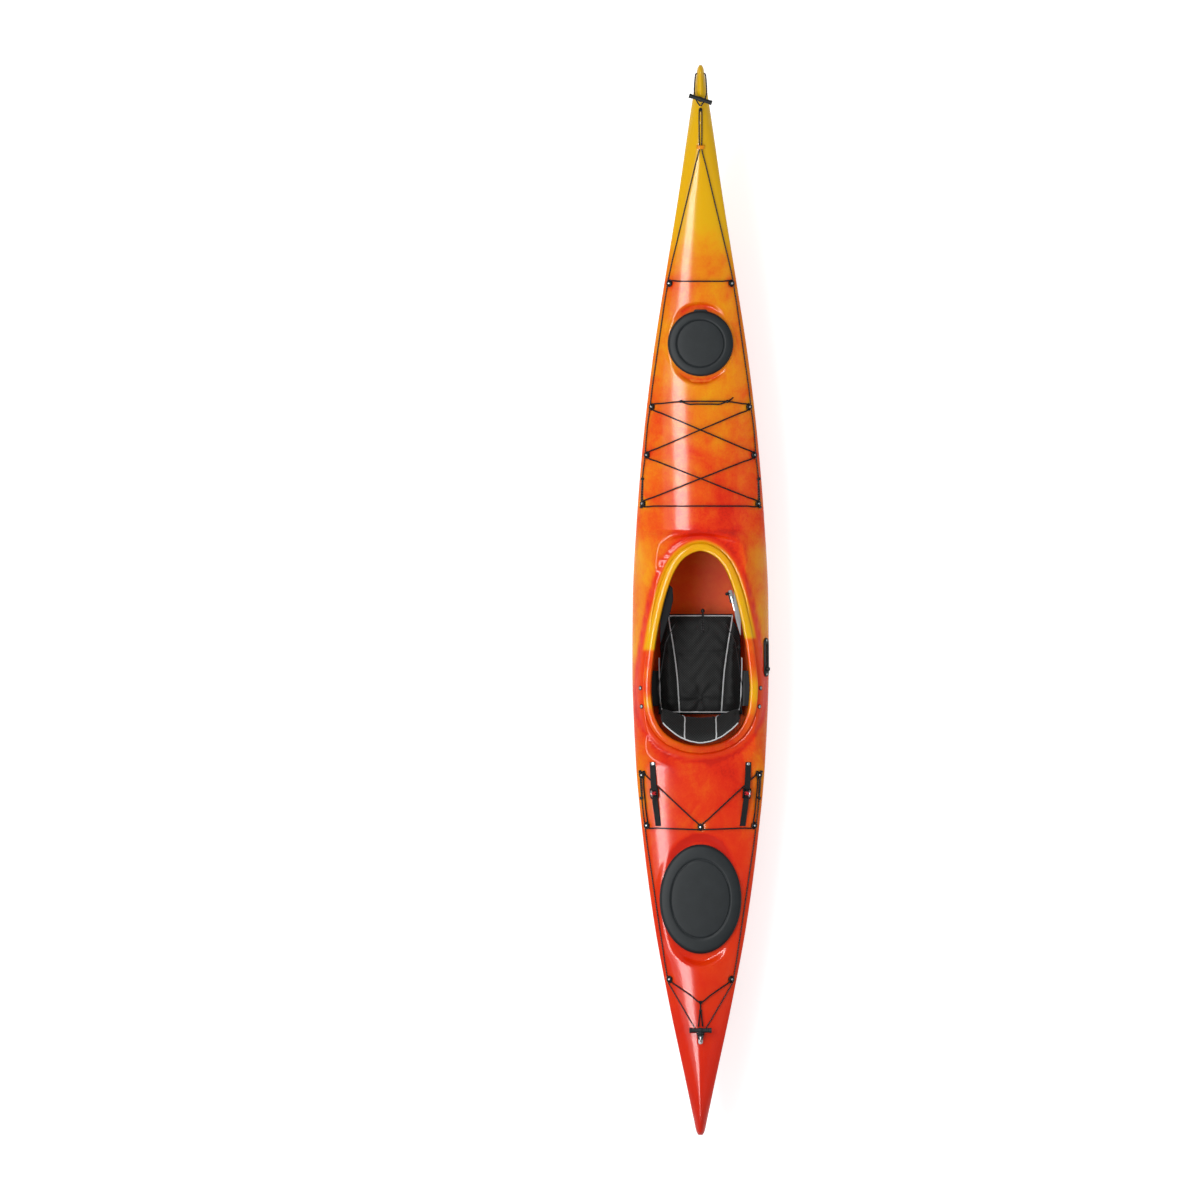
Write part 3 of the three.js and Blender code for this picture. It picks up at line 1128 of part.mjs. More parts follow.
function releaseTabStrip() {
  const half = releaseTab.thickness / 2;
  const width = releaseTab.width / 2;
  const outline = shapeOf([[-half, 0], [-half / 2, -half], [half / 2, -half], [half, 0], [half, releaseTab.reach - half],
    [half / 2, releaseTab.reach], [-half / 2, releaseTab.reach], [-half, releaseTab.reach - half]]);
  const across = new THREE.Matrix4().makeBasis(new THREE.Vector3(1, 0, 0), new THREE.Vector3(0, 0, 1),
    new THREE.Vector3(0, -1, 0)).setPosition(0, width, tabPin);
  let strip = solidOf(extruded(outline, releaseTab.width, buckleFrame.clone().multiply(across)));
  strip = strip.subtract(solidOf(bar(place(buckleFrame, 0, -buckle.width, tabPin),
    place(buckleFrame, 0, buckle.width, tabPin), releaseTab.pinRadius + clearance, 8)));
  return geometryOf(strip.subtract(solidOf(bar(place(buckleFrame, -buckle.width, 0, ringHole),
    place(buckleFrame, buckle.width, 0, ringHole), tabRing.wire + releaseTab.ringPlay, 8))));
}

function tabRingWire() {
  return new THREE.TorusGeometry(tabRing.radius, tabRing.wire, 6, 18).rotateX(Math.PI / 2)
    .applyMatrix4(buckleFrame.clone().multiply(
      new THREE.Matrix4().makeTranslation(0, 0, ringHole + tabRing.radius)));
}

function eyeletArch() {
  const half = eyelet.width / 2;
  const gap = eyelet.holeWidth / 2;
  const shoulder = eyelet.height * 0.5;
  const shape = shapeOf([[-half, -wall], [half, -wall], [half, shoulder * 0.5], [gap, eyelet.height - wall],
    [-gap, eyelet.height - wall], [-half, shoulder * 0.5]]);
  shape.holes.push(new THREE.Path([[-gap, embed / 4], [-gap, eyelet.holeHeight], [gap, eyelet.holeHeight],
    [gap, embed / 4]].map(([x, y]) => new THREE.Vector2(x, y))));
  const across = new THREE.Matrix4().makeBasis(new THREE.Vector3(0, 1, 0), new THREE.Vector3(0, 0, 1),
    new THREE.Vector3(1, 0, 0));
  const seatAt = deckPoint(eyelet.atShare * halfLength, 0).point;
  return extruded(shape, eyelet.length, across.setPosition(seatAt.x - eyelet.length / 2, 0, seatAt.z));
}

function hullShell() {
  const outer = solidOf(bareHull.geometry);
  let shell = outer.subtract(solidOf(bareInside.geometry)).add(solidOf(cockpitRim()));
  const opening = shapeOf(openingOutline(0).map(({ x, y }) => [x, y]));
  const high = new THREE.Matrix4().makeTranslation(0, 0, hullDepth / 2);
  shell = shell.subtract(solidOf(extruded(opening, hullDepth, high)));
  for (const hatch of [bowHatch, sternHatch]) shell = withHatch(shell, outer, hatch);
  shell = shell.subtract(skegSlot()).subtract(solidOf(tipHole())).add(solidOf(eyeletArch()));
  const pocketFor = (frame, length, width, depth) => solidOf(extruded(oblong(length, width), overrun,
    frame.clone().multiply(new THREE.Matrix4().makeTranslation(0, 0, -depth))));
  for (const frame of Object.values(clips)) {
    shell = shell.subtract(pocketFor(frame, clip.pocketLength, clip.width + clip.screwHeight, clip.pocketDepth));
  }
  const grow = 4 * clearance;
  shell = shell.subtract(pocketFor(sliderFrame, slider.length + grow, slider.width + grow, slider.pocket))
    .subtract(pocketFor(ringFrame, shackle.baseLength + shackle.baseWidth, shackle.baseWidth + grow, clip.pocketDepth));
  return geometryOf(shell.simplify(sliver));
}

addPart('hull_shell', 'polyethylene', hullShell());
const cableHole = solidOf(cord(cableRoute, skegCable.radius + 2 * clearance, 8));
addPart('bow_bulkhead', 'foam', bulkhead(bowBulkheadShare));
addPart('stern_bulkhead', 'foam', bulkhead(sternBulkheadShare, cableHole));
addPart('bow_hatch_cover', 'rubber', hatchCover(bowHatch));
addPart('stern_hatch_cover', 'rubber', hatchCover(sternHatch));

addPart('skeg_box', 'plastic', skegBoxGeometry());
addPart('skeg_blade', 'plastic', sideView(skegBladeOutline(), skegBlade.thickness, [skegPin.radius + skegPin.clearance]));
const pinHalf = skegBox.innerWidth / 2 + skegBox.wall;
addPart('skeg_pivot_pin', 'steel', bar(new THREE.Vector3(skegPivotX, -pinHalf, skegPivotZ),
  new THREE.Vector3(skegPivotX, pinHalf, skegPivotZ), skegPin.radius));
addPart('skeg_slider_track', 'plastic', sliderTrack());
addPart('skeg_slider_knob', 'plastic', sliderKnob());
addPart('skeg_cable', 'plastic', cord(cableRoute, skegCable.radius));

addPart('seat_pan', 'plastic', seatPan());
addPart('seat_cushion', 'fabric', seatCushion());
addPart('backrest_plate', 'plastic', backrestPlate());
addPart('backrest_pad', 'fabric', backrestPad());
addPair('backrest_pin', 'steel', backrestPin());
addPair('backrest_strap', 'webbing', backrestStrapBand());
addPart('backrest_ratchet', 'plastic', ratchetBody());
addPair('thigh_brace', 'foam', thighBracePlate());
addPair('foot_rail', 'plastic', footRailBar());
addPair('foot_pedal', 'plastic', footPedal());

addPart('bow_toggle_grip', 'plastic', bowToggleGrip());
addPart('bow_toggle_cord', 'cord', cord(bowToggleRoute().points, bungeeRadius));
addPart('stern_toggle_grip', 'plastic', sternTogglePieces().grip);
addPart('stern_toggle_cord', 'cord', sternTogglePieces().cord);
addPart('stern_shackle', 'steel', sternShackle());
addPart('bow_deck_line', 'cord', bowDeckLine());
addPart('stern_deck_line', 'cord', sternDeckLine());
addPart('foredeck_bungee', 'cord', foredeckBungee());
addPart('bow_cross_bungee', 'cord', bowCrossBungee());
addPart('reardeck_bungee', 'cord', reardeckBungee());
addPart('stern_retainer_bungee', 'cord', sternRetainer());
addPair('deck_strap', 'webbing', deckStrapBand());
addPair('strap_buckle', 'plastic', strapBuckle());
addPair('release_tab', 'redWebbing', releaseTabStrip());
addPair('tab_ring', 'steel', tabRingWire());
for (const [name, frame] of Object.entries(clips)) addPart(`deck_clip_${name}`, 'plastic', clipGeometry(frame));

craft.position.z = skegTipDrop;

export default craft;
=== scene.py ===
"""The looks of a one-seat touring kayak, built in metres over its packed frame."""
import logging
import math
from dataclasses import dataclass
from enum import Enum
from functools import cached_property
from typing import Callable, Iterable, Sequence

import bmesh
import bpy
import numpy as np
from mathutils import Matrix, Vector, kdtree
from mathutils.bvhtree import BVHTree
from mathutils.geometry import delaunay_2d_cdt


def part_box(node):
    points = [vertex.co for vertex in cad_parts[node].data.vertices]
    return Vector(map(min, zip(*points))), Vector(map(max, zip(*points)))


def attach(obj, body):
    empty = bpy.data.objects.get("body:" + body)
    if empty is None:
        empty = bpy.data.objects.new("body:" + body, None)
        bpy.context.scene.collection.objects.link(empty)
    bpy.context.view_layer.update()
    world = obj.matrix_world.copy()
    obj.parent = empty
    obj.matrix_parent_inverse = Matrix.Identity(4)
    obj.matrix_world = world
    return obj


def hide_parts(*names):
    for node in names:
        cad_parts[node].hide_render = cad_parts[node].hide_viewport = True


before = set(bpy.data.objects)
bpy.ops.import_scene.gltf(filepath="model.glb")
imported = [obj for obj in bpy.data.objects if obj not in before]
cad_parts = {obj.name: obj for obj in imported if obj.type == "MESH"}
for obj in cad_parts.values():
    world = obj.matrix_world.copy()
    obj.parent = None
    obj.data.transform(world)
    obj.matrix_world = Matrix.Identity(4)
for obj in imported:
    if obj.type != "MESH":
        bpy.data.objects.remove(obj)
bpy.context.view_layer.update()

Array = np.ndarray
Pairs = Sequence[tuple[float, float]]
log = logging.getLogger("kayak")

# The least length that a sum divides by, how near two points are one, and the least size that counts
NEAR_ZERO = 1e-12
SAME_PLACE = 1e-9
SMALL = 1e-6

# The ways to the bow and up
AHEAD = np.array((1.0, 0, 0))
UP = np.array((0.0, 0, 1))


# Small sums that every sub-assembly uses

def linear(colour: str) -> tuple[float, float, float, float]:
    """Turns an sRGB hex colour into the linear colour that the shaders take.

    Args:
        colour: The colour as "#rrggbb".

    Returns:
        Red, green, blue and an alpha of one.
    """
    shares = [int(colour[i:i + 2], 16) / 255 for i in (1, 3, 5)]
    red, green, blue = [s / 12.92 if s <= 0.04045 else ((s + 0.055) / 1.055) ** 2.4 for s in shares]
    return red, green, blue, 1.0


def smooth(value: Array | float, low: float, high: float) -> Array:
    """A share that eases from zero at low to one at high."""
    share = np.clip((np.asarray(value, float) - low) / (high - low), 0, 1)
    return share * share * (3 - 2 * share)


def bump(distance: Array | float, width: float) -> Array:
    """A share that is one at no distance and falls away over a width."""
    return np.exp(-(np.asarray(distance) / width) ** 2)


def blend(low: Array | float, high: Array | float, share: Array | float) -> Array | float:
    """The value at a share of the way from low to high."""
    return low + (high - low) * share


def through_points(pairs: Pairs) -> Callable[[Array | float], Array]:
    """Makes a smooth curve through points, which never swings past its own points.

    Args:
        pairs: Places and the values there, in rising order of place.

    Returns:
        A function from a place to its value.
    """
    place, value = np.array(pairs, float).T
    span = np.diff(place)
    secant = np.diff(value) / span
    before = np.concatenate([secant[:1], secant])
    after = np.concatenate([secant, secant[-1:]])
    rising = before * after > 0
    slope = np.where(rising, 2 * before * after / np.where(rising, before + after, 1), 0)

    def at(where: Array | float) -> Array:
        """The curve's value at a place.

        Args:
            where: One place or many.

        Returns:
            The value or values.
        """
        here = np.clip(np.asarray(where, float), place[0], place[-1])
        i = np.clip(np.searchsorted(place, here) - 1, 0, len(span) - 1)
        t = (here - place[i]) / span[i]
        rest = 1 - t
        return (rest * rest * (1 + 2 * t) * value[i] + t * t * (3 - 2 * t) * value[i + 1]
                + t * rest * span[i] * (rest * slope[i] - t * slope[i + 1]))

    return at


def unit(vectors: Array) -> Array:
    """The vectors, each made one long."""
    return vectors / np.maximum(np.linalg.norm(vectors, axis=-1, keepdims=True), NEAR_ZERO)


def placed(frame_at: Matrix, points: Array | Sequence) -> Array:
    """Local points of a frame, in the row frame."""
    turn = np.array(frame_at.to_3x3())
    return np.asarray(points, float) @ turn.T + np.array(frame_at.translation)


def turned(seat: Matrix, reach: Array | float, high: float, steps: int, ratio: float = 1.0) -> Array:
    """The points of a ring round a frame's z, at one or many distances from it and one height.

    Args:
        seat: The frame.
        reach: The points' distance from z.
        high: Their height along z.
        steps: How many points the ring has.
        ratio: How long the ring is in x, over its width.

    Returns:
        The points, in the row frame.
    """
    angle = np.arange(steps) * 2 * math.pi / steps
    ring = [reach * ratio * np.cos(angle), reach * np.sin(angle), np.full(steps, high)]
    return placed(seat, np.column_stack(ring))


def smooth_route(points: Array, spacing: float, closed: bool = False) -> Array:
    """Runs a centripetal spline through points and lays new ones along it.

    Args:
        points: The points that the route passes through.
        spacing: The distance between the new points.
        closed: Whether the last point joins the first.

    Returns:
        The new points.
    """
    points = np.asarray(points, float)
    if closed:
        ring = np.concatenate([points[-1:], points, points[:2]])
    else:
        ring = np.concatenate([2 * points[:1] - points[1:2], points, 2 * points[-1:] - points[-2:-1]])
    made = []
    for i in range(1, len(ring) - 2):
        p0, p1, p2, p3 = ring[i - 1:i + 3]
        d0, d1, d2 = (max(float(np.linalg.norm(b - a)) ** 0.5, SMALL)
                      for a, b in ((p0, p1), (p1, p2), (p2, p3)))
        leave = ((p1 - p0) / d0 - (p2 - p0) / (d0 + d1) + (p2 - p1) / d1) * d1
        arrive = ((p2 - p1) / d1 - (p3 - p1) / (d1 + d2) + (p3 - p2) / d2) * d1
        t = np.linspace(0, 1, 9)[:-1, None]
        made.append(p1 * (2 * t ** 3 - 3 * t ** 2 + 1) + leave * (t ** 3 - 2 * t ** 2 + t)
                    + p2 * (3 * t ** 2 - 2 * t ** 3) + arrive * (t ** 3 - t ** 2))
    fine = np.concatenate(made + [ring[-2:-1]])
    run = np.concatenate([[0], np.cumsum(np.linalg.norm(np.diff(fine, axis=0), axis=1))])
    count = max(int(round(run[-1] / spacing)), 2)
    stops = np.linspace(0, run[-1], count + 1)
    laid = np.stack([np.interp(stops, run, fine[:, axis]) for axis in range(fine.shape[1])], axis=1)
    return laid[:-1] if closed else laid


def within(points: Array, outline: Array) -> Array:
    """Which of some flat points lie inside a closed outline.

    Args:
        points: The points.
        outline: The outline's corners in order.

    Returns:
        True for each point inside.
    """
    count = np.zeros(len(points), int)
    for (ax, ay), (bx, by) in zip(outline, np.roll(outline, -1, axis=0)):
        crosses = (ay > points[:, 1]) != (by > points[:, 1])
        if crosses.any():
            reach = ax + (points[:, 1] - ay) * (bx - ax) / ((by - ay) or NEAR_ZERO)
            count += crosses & (points[:, 0] < reach)
    return count % 2 == 1


def inset(loop: Array, by: float) -> Array:
    """A closed flat outline, moved inwards by a distance.

    Args:
        loop: The outline's points in order.
        by: How far it moves.

    Returns:
        The moved points.
    """
    ahead = unit(np.roll(loop, -1, axis=0) - np.roll(loop, 1, axis=0))
    after = np.roll(loop, -1, axis=0)
    turn = np.sign(np.sum(loop[:, 0] * after[:, 1] - after[:, 0] * loop[:, 1]))
    return loop + np.stack([-ahead[:, 1], ahead[:, 0]], axis=1) * turn * by


def rounded(length: float, width: float, corner: float, steps: int = 4) -> Array:
    """The points of a rectangle with round corners, long in x.

    Args:
        length: The size in x.
        width: The size in y.
        corner: The radius of the corners.
        steps: How many stretches a corner has.

    Returns:
        The points in order.
    """
    points = []
    for turn, (sx, sy) in enumerate(((1, 1), (-1, 1), (-1, -1), (1, -1))):
        for i in range(steps + 1):
            angle = (turn + i / steps) * math.pi / 2
            points.append((sx * (length / 2 - corner) + corner * math.cos(angle),
                           sy * (width / 2 - corner) + corner * math.sin(angle)))
    return np.array(points)


def moved(seat: Matrix, x: float = 0.0, y: float = 0.0, z: float = 0.0) -> Matrix:
    """A frame shifted along its own axes."""
    return seat @ Matrix.Translation((x, y, z))


def between(start: Sequence[float], end: Sequence[float]) -> tuple[Matrix, float]:
    """The frame at the middle of two points, with z from one to the other, and the distance.

    Args:
        start: One point.
        end: The other.

    Returns:
        The frame and the distance.
    """
    start, end = np.asarray(start, float), np.asarray(end, float)
    way = unit(end - start)
    other = AHEAD if abs(way[0]) < 0.9 else np.array((0, 1.0, 0))
    return frame_from((start + end) / 2, way, other), float(np.linalg.norm(end - start))


# Meshes and nodes

class MeshMaker:
    """Gathers the faces of one piece, with a finish and a dye for each part of it."""

    def __init__(self) -> None:
        """Starts with no faces."""
        self.points: list[Array] = []
        self.faces: list[tuple[int, ...]] = []
        self.finish_of: list[int] = []
        self.extra: dict[str, list[Array]] = {}
        self.plain: dict[str, float] = {}
        self.count = 0

    def add(self, points: Array, faces: Iterable[Sequence[int]], finish: int = 0, **values: Array) -> None:
        """Adds points and faces.

        Args:
            points: The points in the row frame.
            faces: Faces by their points' numbers.
            finish: The number of the finish that the faces take.
            values: Named values, one for each point.
        """
        points = np.asarray(points, float).reshape(-1, 3)
        rows = [tuple(int(i) + self.count for i in face) for face in faces]
        self.faces += rows
        self.finish_of += [finish] * len(rows)
        for name in set(self.extra) | set(values):
            known = self.extra.setdefault(name, [])
            missing = self.count - sum(len(part) for part in known)
            given = np.broadcast_to(values.get(name, self.plain.get(name, 0.0)), len(points)).astype(float)
            known.extend([np.full(missing, self.plain.get(name, 0.0)), given])
        self.points.append(points)
        self.count += len(points)

    def grid(self, rows: Array, finish: int = 0, round_rows: bool = False, round_columns: bool = False,
             caps: bool = False, **values: Array) -> None:
        """Adds a net of points as four-sided faces.

        Args:
            rows: The points, by row and column.
            finish: The number of the finish.
            round_rows: Whether each row closes on itself.
            round_columns: Whether the last row joins the first.
            caps: Whether the first and last rows are closed with a face.
            values: Named values, one for each point, by row and column.
        """
        high, wide = rows.shape[:2]
        faces = []
        for i in range(high if round_columns else high - 1):
            for j in range(wide if round_rows else wide - 1):
                a, b = i * wide + j, i * wide + (j + 1) % wide
                c, d = ((i + 1) % high) * wide + j, ((i + 1) % high) * wide + (j + 1) % wide
                faces.append((a, b, d, c))
        if caps:
            faces += [tuple(range(wide))[::-1], tuple(range((high - 1) * wide, high * wide))]
        self.add(rows.reshape(-1, 3), faces, finish,
                 **{k: np.asarray(v).reshape(-1) for k, v in values.items()})

    def lathe(self, seat: Matrix, profile: Pairs, steps: int = 24, finish: int = 0,
              ratio: float = 1.0) -> None:
        """Adds a closed turned form.

        Args:
            seat: The frame whose z is the form's axis.
            profile: Radius and height of each ring.
            steps: The count of points in a ring.
            finish: The number of the finish.
            ratio: How much longer each ring is in x than in y.
        """
        rows = [turned(seat, r, z, steps, ratio) for r, z in profile]
        self.loft(rows, finish)

    def loft(self, rows: Sequence[Array], finish: int = 0) -> None:
        """Adds a closed form through rings of points."""
        self.grid(np.stack(rows), finish, round_rows=True, caps=True)

    def ball(self, seat: Matrix, radius: float, flat: float, finish: int = 0, ratio: float = 1.0) -> None:
        """Adds a round bead.

        Args:
            seat: The frame at its middle, whose z is the axis of its bore.
            radius: Its radius.
            flat: The angle from the axis within which it is flat.
            finish: The number of the finish.
            ratio: How much longer it is in x than in y.
        """
        angles = np.linspace(flat, math.pi - flat, 12)
        self.lathe(seat, [(radius * math.sin(a), -radius * math.cos(a)) for a in angles], 20, finish, ratio)

    def tube(self, points: Array, radius: float, finish: int = 0, sides: int = 10) -> None:
        """Adds a round cord along points, with rounded ends and its places along and around it.

        Args:
            points: The cord's middle line.
            radius: The cord's radius.
            finish: The number of the finish.
            sides: The count of faces round it.
        """
        points = np.asarray(points, float)
        ahead = unit(np.gradient(points, axis=0))
        across = np.cross(ahead[0], (0.3, 0.2, 1.0))
        rings, alongs = [], []
        run = np.concatenate([[0], np.cumsum(np.linalg.norm(np.diff(points, axis=0), axis=1))])
        around = np.linspace(0, 1, sides + 1)
        ends = {0: [(-0.95, 0.3), (-0.7, 0.72)], len(points) - 1: [(0.7, 0.72), (0.95, 0.3)]}
        for i, (point, way) in enumerate(zip(points, ahead)):
            across = unit(across - way * float(across @ way))
            up = np.cross(way, across)
            turn = around * 2 * math.pi
            circle = np.outer(np.cos(turn), across) + np.outer(np.sin(turn), up)
            caps = [(shift, size) for shift, size in ends.get(i, [])]
            stops = caps + [(0.0, 1.0)] if i == 0 else [(0.0, 1.0)] + caps
            for shift, size in stops:
                rings.append(point + way * shift * radius + circle * radius * size)
                alongs.append(np.full(sides + 1, run[i] + shift * radius))
        self.grid(np.stack(rings), finish, caps=True, along=np.stack(alongs),
                  around=np.tile(around, (len(rings), 1)))

    def plate(self, seat: Matrix, outline: Array, low: float, high: float, finish: int = 0,
              holes: Sequence[Array] = (), edge: float = 0.001) -> None:
        """Adds a flat plate with rounded edges.

        Args:
            seat: The frame that the plate lies in, its thickness along z.
            outline: The plate's outline in x and y.
            low: The height of its underside.
            high: The height of its top.
            finish: The number of the finish.
            holes: Outlines of its holes.
            edge: The size of its rounded edges.
        """
        loops = [(np.asarray(outline, float), 1)] + [(np.asarray(hole, float), -1) for hole in holes]
        round_off = [(1.0, 0.0), (0.3, 0.3), (0.0, 1.0)]
        steps = [(away * edge, low + up * edge) for away, up in round_off]
        steps += [(away * edge, high - up * edge) for away, up in reversed(round_off)]
        for loop, side in loops:
            rows = [placed(seat, np.column_stack([inset(loop, side * away), np.full(len(loop), z)]))
                    for away, z in steps]
            self.grid(np.stack(rows), finish, round_rows=True)
        caps = [inset(loop, side * edge) for loop, side in loops]
        edges, start = [], 0
        for cap in caps:
            edges += [(start + i, start + (i + 1) % len(cap)) for i in range(len(cap))]
            start += len(cap)
        corners = [Vector(p) for p in np.concatenate(caps)]
        found, _, faces, *_ = delaunay_2d_cdt(corners, edges, [], 0, SAME_PLACE)
        flat = np.array([tuple(v) for v in found])
        triangles = np.array(faces)
        middle = flat[triangles].mean(axis=1)
        keep = within(middle, caps[0])
        for cap in caps[1:]:
            keep &= ~within(middle, cap)
        for z in (low, high):
            self.add(placed(seat, np.column_stack([flat, np.full(len(flat), z)])), triangles[keep], finish)

    def screw(self, seat: Matrix, radius: float, height: float, finish: int) -> None:
        """Adds a domed screw head with a cross recess, standing at the frame's origin.

        Args:
            seat: The head's frame, with z out of the surface.
            radius: The head's radius.
            height: How far it stands up.
            finish: Which of the mesh's finishes it has.
        """
        steps = 24
        cross = 0.3 + 0.7 * np.abs(np.cos(4 * math.pi * np.arange(steps) / steps)) ** 3
        rows = []
        for share, high, follow in ((1, 0, 0), (1, 0.45, 0), (0.9, 0.8, 0), (0.72, 0.97, 0), (0.6, 1, 1),
                                    (0.52, 0.35, 1), (0.1, 0.2, 0)):
            rows.append(turned(seat, radius * share * (cross if follow else 1), height * high, steps))
        self.loft(rows, finish)

    def piece(self, name: str, finishes: Sequence[bpy.types.Material],
              crease: float = 180.0) -> bpy.types.Object:
        """Makes the object.

        Args:
            name: The piece's name.
            finishes: Its materials, in the order that the faces use.
            crease: The angle in degrees above which an edge stays sharp.

        Returns:
            The new object, linked to the scene.
        """
        mesh = bpy.data.meshes.new(name)
        mesh.from_pydata(np.concatenate(self.points).tolist(), [], self.faces)
        for material in finishes:
            mesh.materials.append(material)
        mesh.polygons.foreach_set("material_index", self.finish_of)
        for key, parts in self.extra.items():
            attribute = mesh.attributes.new(key, "FLOAT", "POINT")
            attribute.data.foreach_set("value", np.concatenate(parts).astype(np.float32))
        mesh.update()
        thing = bpy.data.objects.new(name, mesh)
        bpy.context.scene.collection.objects.link(thing)
        shade(thing, crease)
        return thing


def shade(thing: bpy.types.Object, crease: float = 180.0) -> None:
    """Smooths an object's shading, but for edges sharper than an angle in degrees.

    Args:
        thing: The piece.
        crease: The angle.
    """
    mesh = thing.data
    mesh.polygons.foreach_set("use_smooth", [True] * len(mesh.polygons))
    if crease < 180:
        mesh.set_sharp_from_angle(angle=math.radians(crease))


def tidy_normals(thing: bpy.types.Object, merge: float = 0.0) -> None:
    """Merges an object's doubled points and turns its faces outwards.

    Args:
        thing: The object.
        merge: How close points lie to be merged, or 0 for none.
    """
    made = bmesh.new()
    made.from_mesh(thing.data)
    if merge:
        bmesh.ops.remove_doubles(made, verts=made.verts, dist=merge)
    bmesh.ops.recalc_face_normals(made, faces=made.faces)
    made.to_mesh(thing.data)
    made.free()


def seat_piece(thing: bpy.types.Object, body: str, slot: str, *nodes: str) -> bpy.types.Object:
    """Makes a piece ride on a body and stand for its CAD nodes.

    Args:
        thing: The piece.
        body: The body that it moves with.
        slot: The record's material slot that its finish belongs to.
        nodes: The CAD nodes that it replaces.

    Returns:
        The piece.
    """
    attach(thing, body)
    if nodes:
        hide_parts(*nodes)
    log.info("%s: %d faces on %s", thing.name, len(thing.data.polygons), body)
    return thing


def add_node(tree: bpy.types.NodeTree, kind: str, settings: dict | None = None,
             links: dict | None = None) -> bpy.types.Node:
    """Adds a node with its settings and links.

    Args:
        tree: The node tree.
        kind: The node's type.
        settings: Its properties, or the values of its inputs by name or number; "stops" are a ramp's colours.
        links: Output sockets of other nodes, by the input that they feed.

    Returns:
        The node.
    """
    node = tree.nodes.new(kind)
    for name, value in (settings or {}).items():
        if name == "stops":
            ramp = node.color_ramp.elements
            while len(ramp) < len(value):
                ramp.new(0.5)
            for element, (place, colour) in zip(ramp, value):
                element.position = place
                element.color = colour
        elif isinstance(name, int) or name in node.inputs:
            node.inputs[name].default_value = value
        else:
            setattr(node, name, value)
    for name, socket in (links or {}).items():
        tree.links.new(socket, node.inputs[name])
    return node


# Finishes

@dataclass(frozen=True)
class Finish:
    """A surface with one colour and roughness, which its kinds add detail to."""

    name: str
    colour: str
    roughness: float
    metallic: float = 0.0
    ior: float = 1.5
    gloss: float = 0.08

    def material(self) -> bpy.types.Material:
        """Makes the material, with the detail of its kind.

        Returns:
            The material.
        """
        material = bpy.data.materials.new(self.name)
        material.use_nodes = True
        material.diffuse_color = linear(self.colour)
        tree = material.node_tree
        tree.nodes.clear()
        settings = {"Base Color": linear(self.colour), "Roughness": self.roughness,
                    "Metallic": self.metallic}
        if not self.metallic:
            settings.update({"IOR": self.ior, "Specular IOR Level": self.gloss})
        shader = add_node(tree, "ShaderNodeBsdfPrincipled", settings)
        add_node(tree, "ShaderNodeOutputMaterial", links={"Surface": shader.outputs["BSDF"]})
        self.detail(tree, shader)
        return material

    def detail(self, tree: bpy.types.NodeTree, shader: bpy.types.Node) -> None:
        """Adds nothing to the plain surface."""


@dataclass(frozen=True)
class RotomouldedPolyethylene(Finish):
    """Powder of three colours melted on the inside of a turning mould, which marbles where the colours meet.

    That gives soft-edged flames of colour along the hull, fine specks of unmixed powder and a waxy gloss.
    """

    flame: float = 0.34
    flame_share: float = 0.55
    cloud: float = 0.06
    cloud_share: float = 0.22
    speck: float = 0.008
    speck_share: float = 0.16
    peel: float = 0.009
    peel_depth: float = 0.00008
    # The melt's colours from the bow's yellow to the stern's red, at shares of the dye's range
    powders: tuple[tuple[float, str], ...] = (
        (0.0, "#e3b406"), (0.25, "#eaa10a"), (0.4, "#ea8a0b"), (0.55, "#e8700b"), (0.7, "#e6520b"),
        (0.82, "#e2380a"), (0.92, "#dc2607"), (1.0, "#cb1d06"))

    def detail(self, tree: bpy.types.NodeTree, shader: bpy.types.Node) -> None:
        """Adds the marbling, the specks and the mould's faint orange peel.

        Args:
            tree: The material's node tree.
            shader: Its surface shader.
        """
        place = add_node(tree, "ShaderNodeTexCoord").outputs["Object"]
        along = add_node(tree, "ShaderNodeMapping", {"Scale": (0.85, 1, 1)},
                         {"Vector": place}).outputs["Vector"]
        # the powder's colour, which also carries painted shade in the deck's creases and round its hatches
        dye = add_node(tree, "ShaderNodeAttribute", {"attribute_name": "dye"}).outputs["Fac"]
        mottle = add_node(tree, "ShaderNodeAttribute", {"attribute_name": "mottle"}).outputs["Fac"]
        total = dye
        for size, share, where in ((self.flame, self.flame_share, along),
                                   (self.cloud, self.cloud_share, along),
                                   (self.speck, self.speck_share, place)):
            noise = add_node(tree, "ShaderNodeTexNoise",
                             {"Scale": 1 / size, "Detail": 4.0, "Roughness": 0.58, "Distortion": 0.7},
                             {"Vector": where})
            around = add_node(tree, "ShaderNodeMath", {"operation": "SUBTRACT", 1: 0.5},
                              {0: noise.outputs["Fac"]})
            part = add_node(tree, "ShaderNodeMath", {"operation": "MULTIPLY", 1: 2 * share},
                            {0: around.outputs[0]})
            gated = add_node(tree, "ShaderNodeMath", {"operation": "MULTIPLY"},
                             {0: part.outputs[0], 1: mottle})
            total = add_node(tree, "ShaderNodeMath", {"operation": "ADD"},
                             {0: total, 1: gated.outputs[0]}).outputs[0]
        stops = [(place_share, linear(colour)) for place_share, colour in self.powders]
        ramp = add_node(tree, "ShaderNodeValToRGB", {"stops": stops}, {"Fac": total})
        tree.links.new(ramp.outputs["Color"], shader.inputs["Base Color"])
        waves = add_node(tree, "ShaderNodeTexNoise", {"Scale": 1 / self.peel, "Detail": 2.0},
                         {"Vector": place})
        relief = add_node(tree, "ShaderNodeBump", {"Strength": 0.35, "Distance": self.peel_depth},
                        {"Height": waves.outputs["Fac"]})
        tree.links.new(relief.outputs["Normal"], shader.inputs["Normal"])


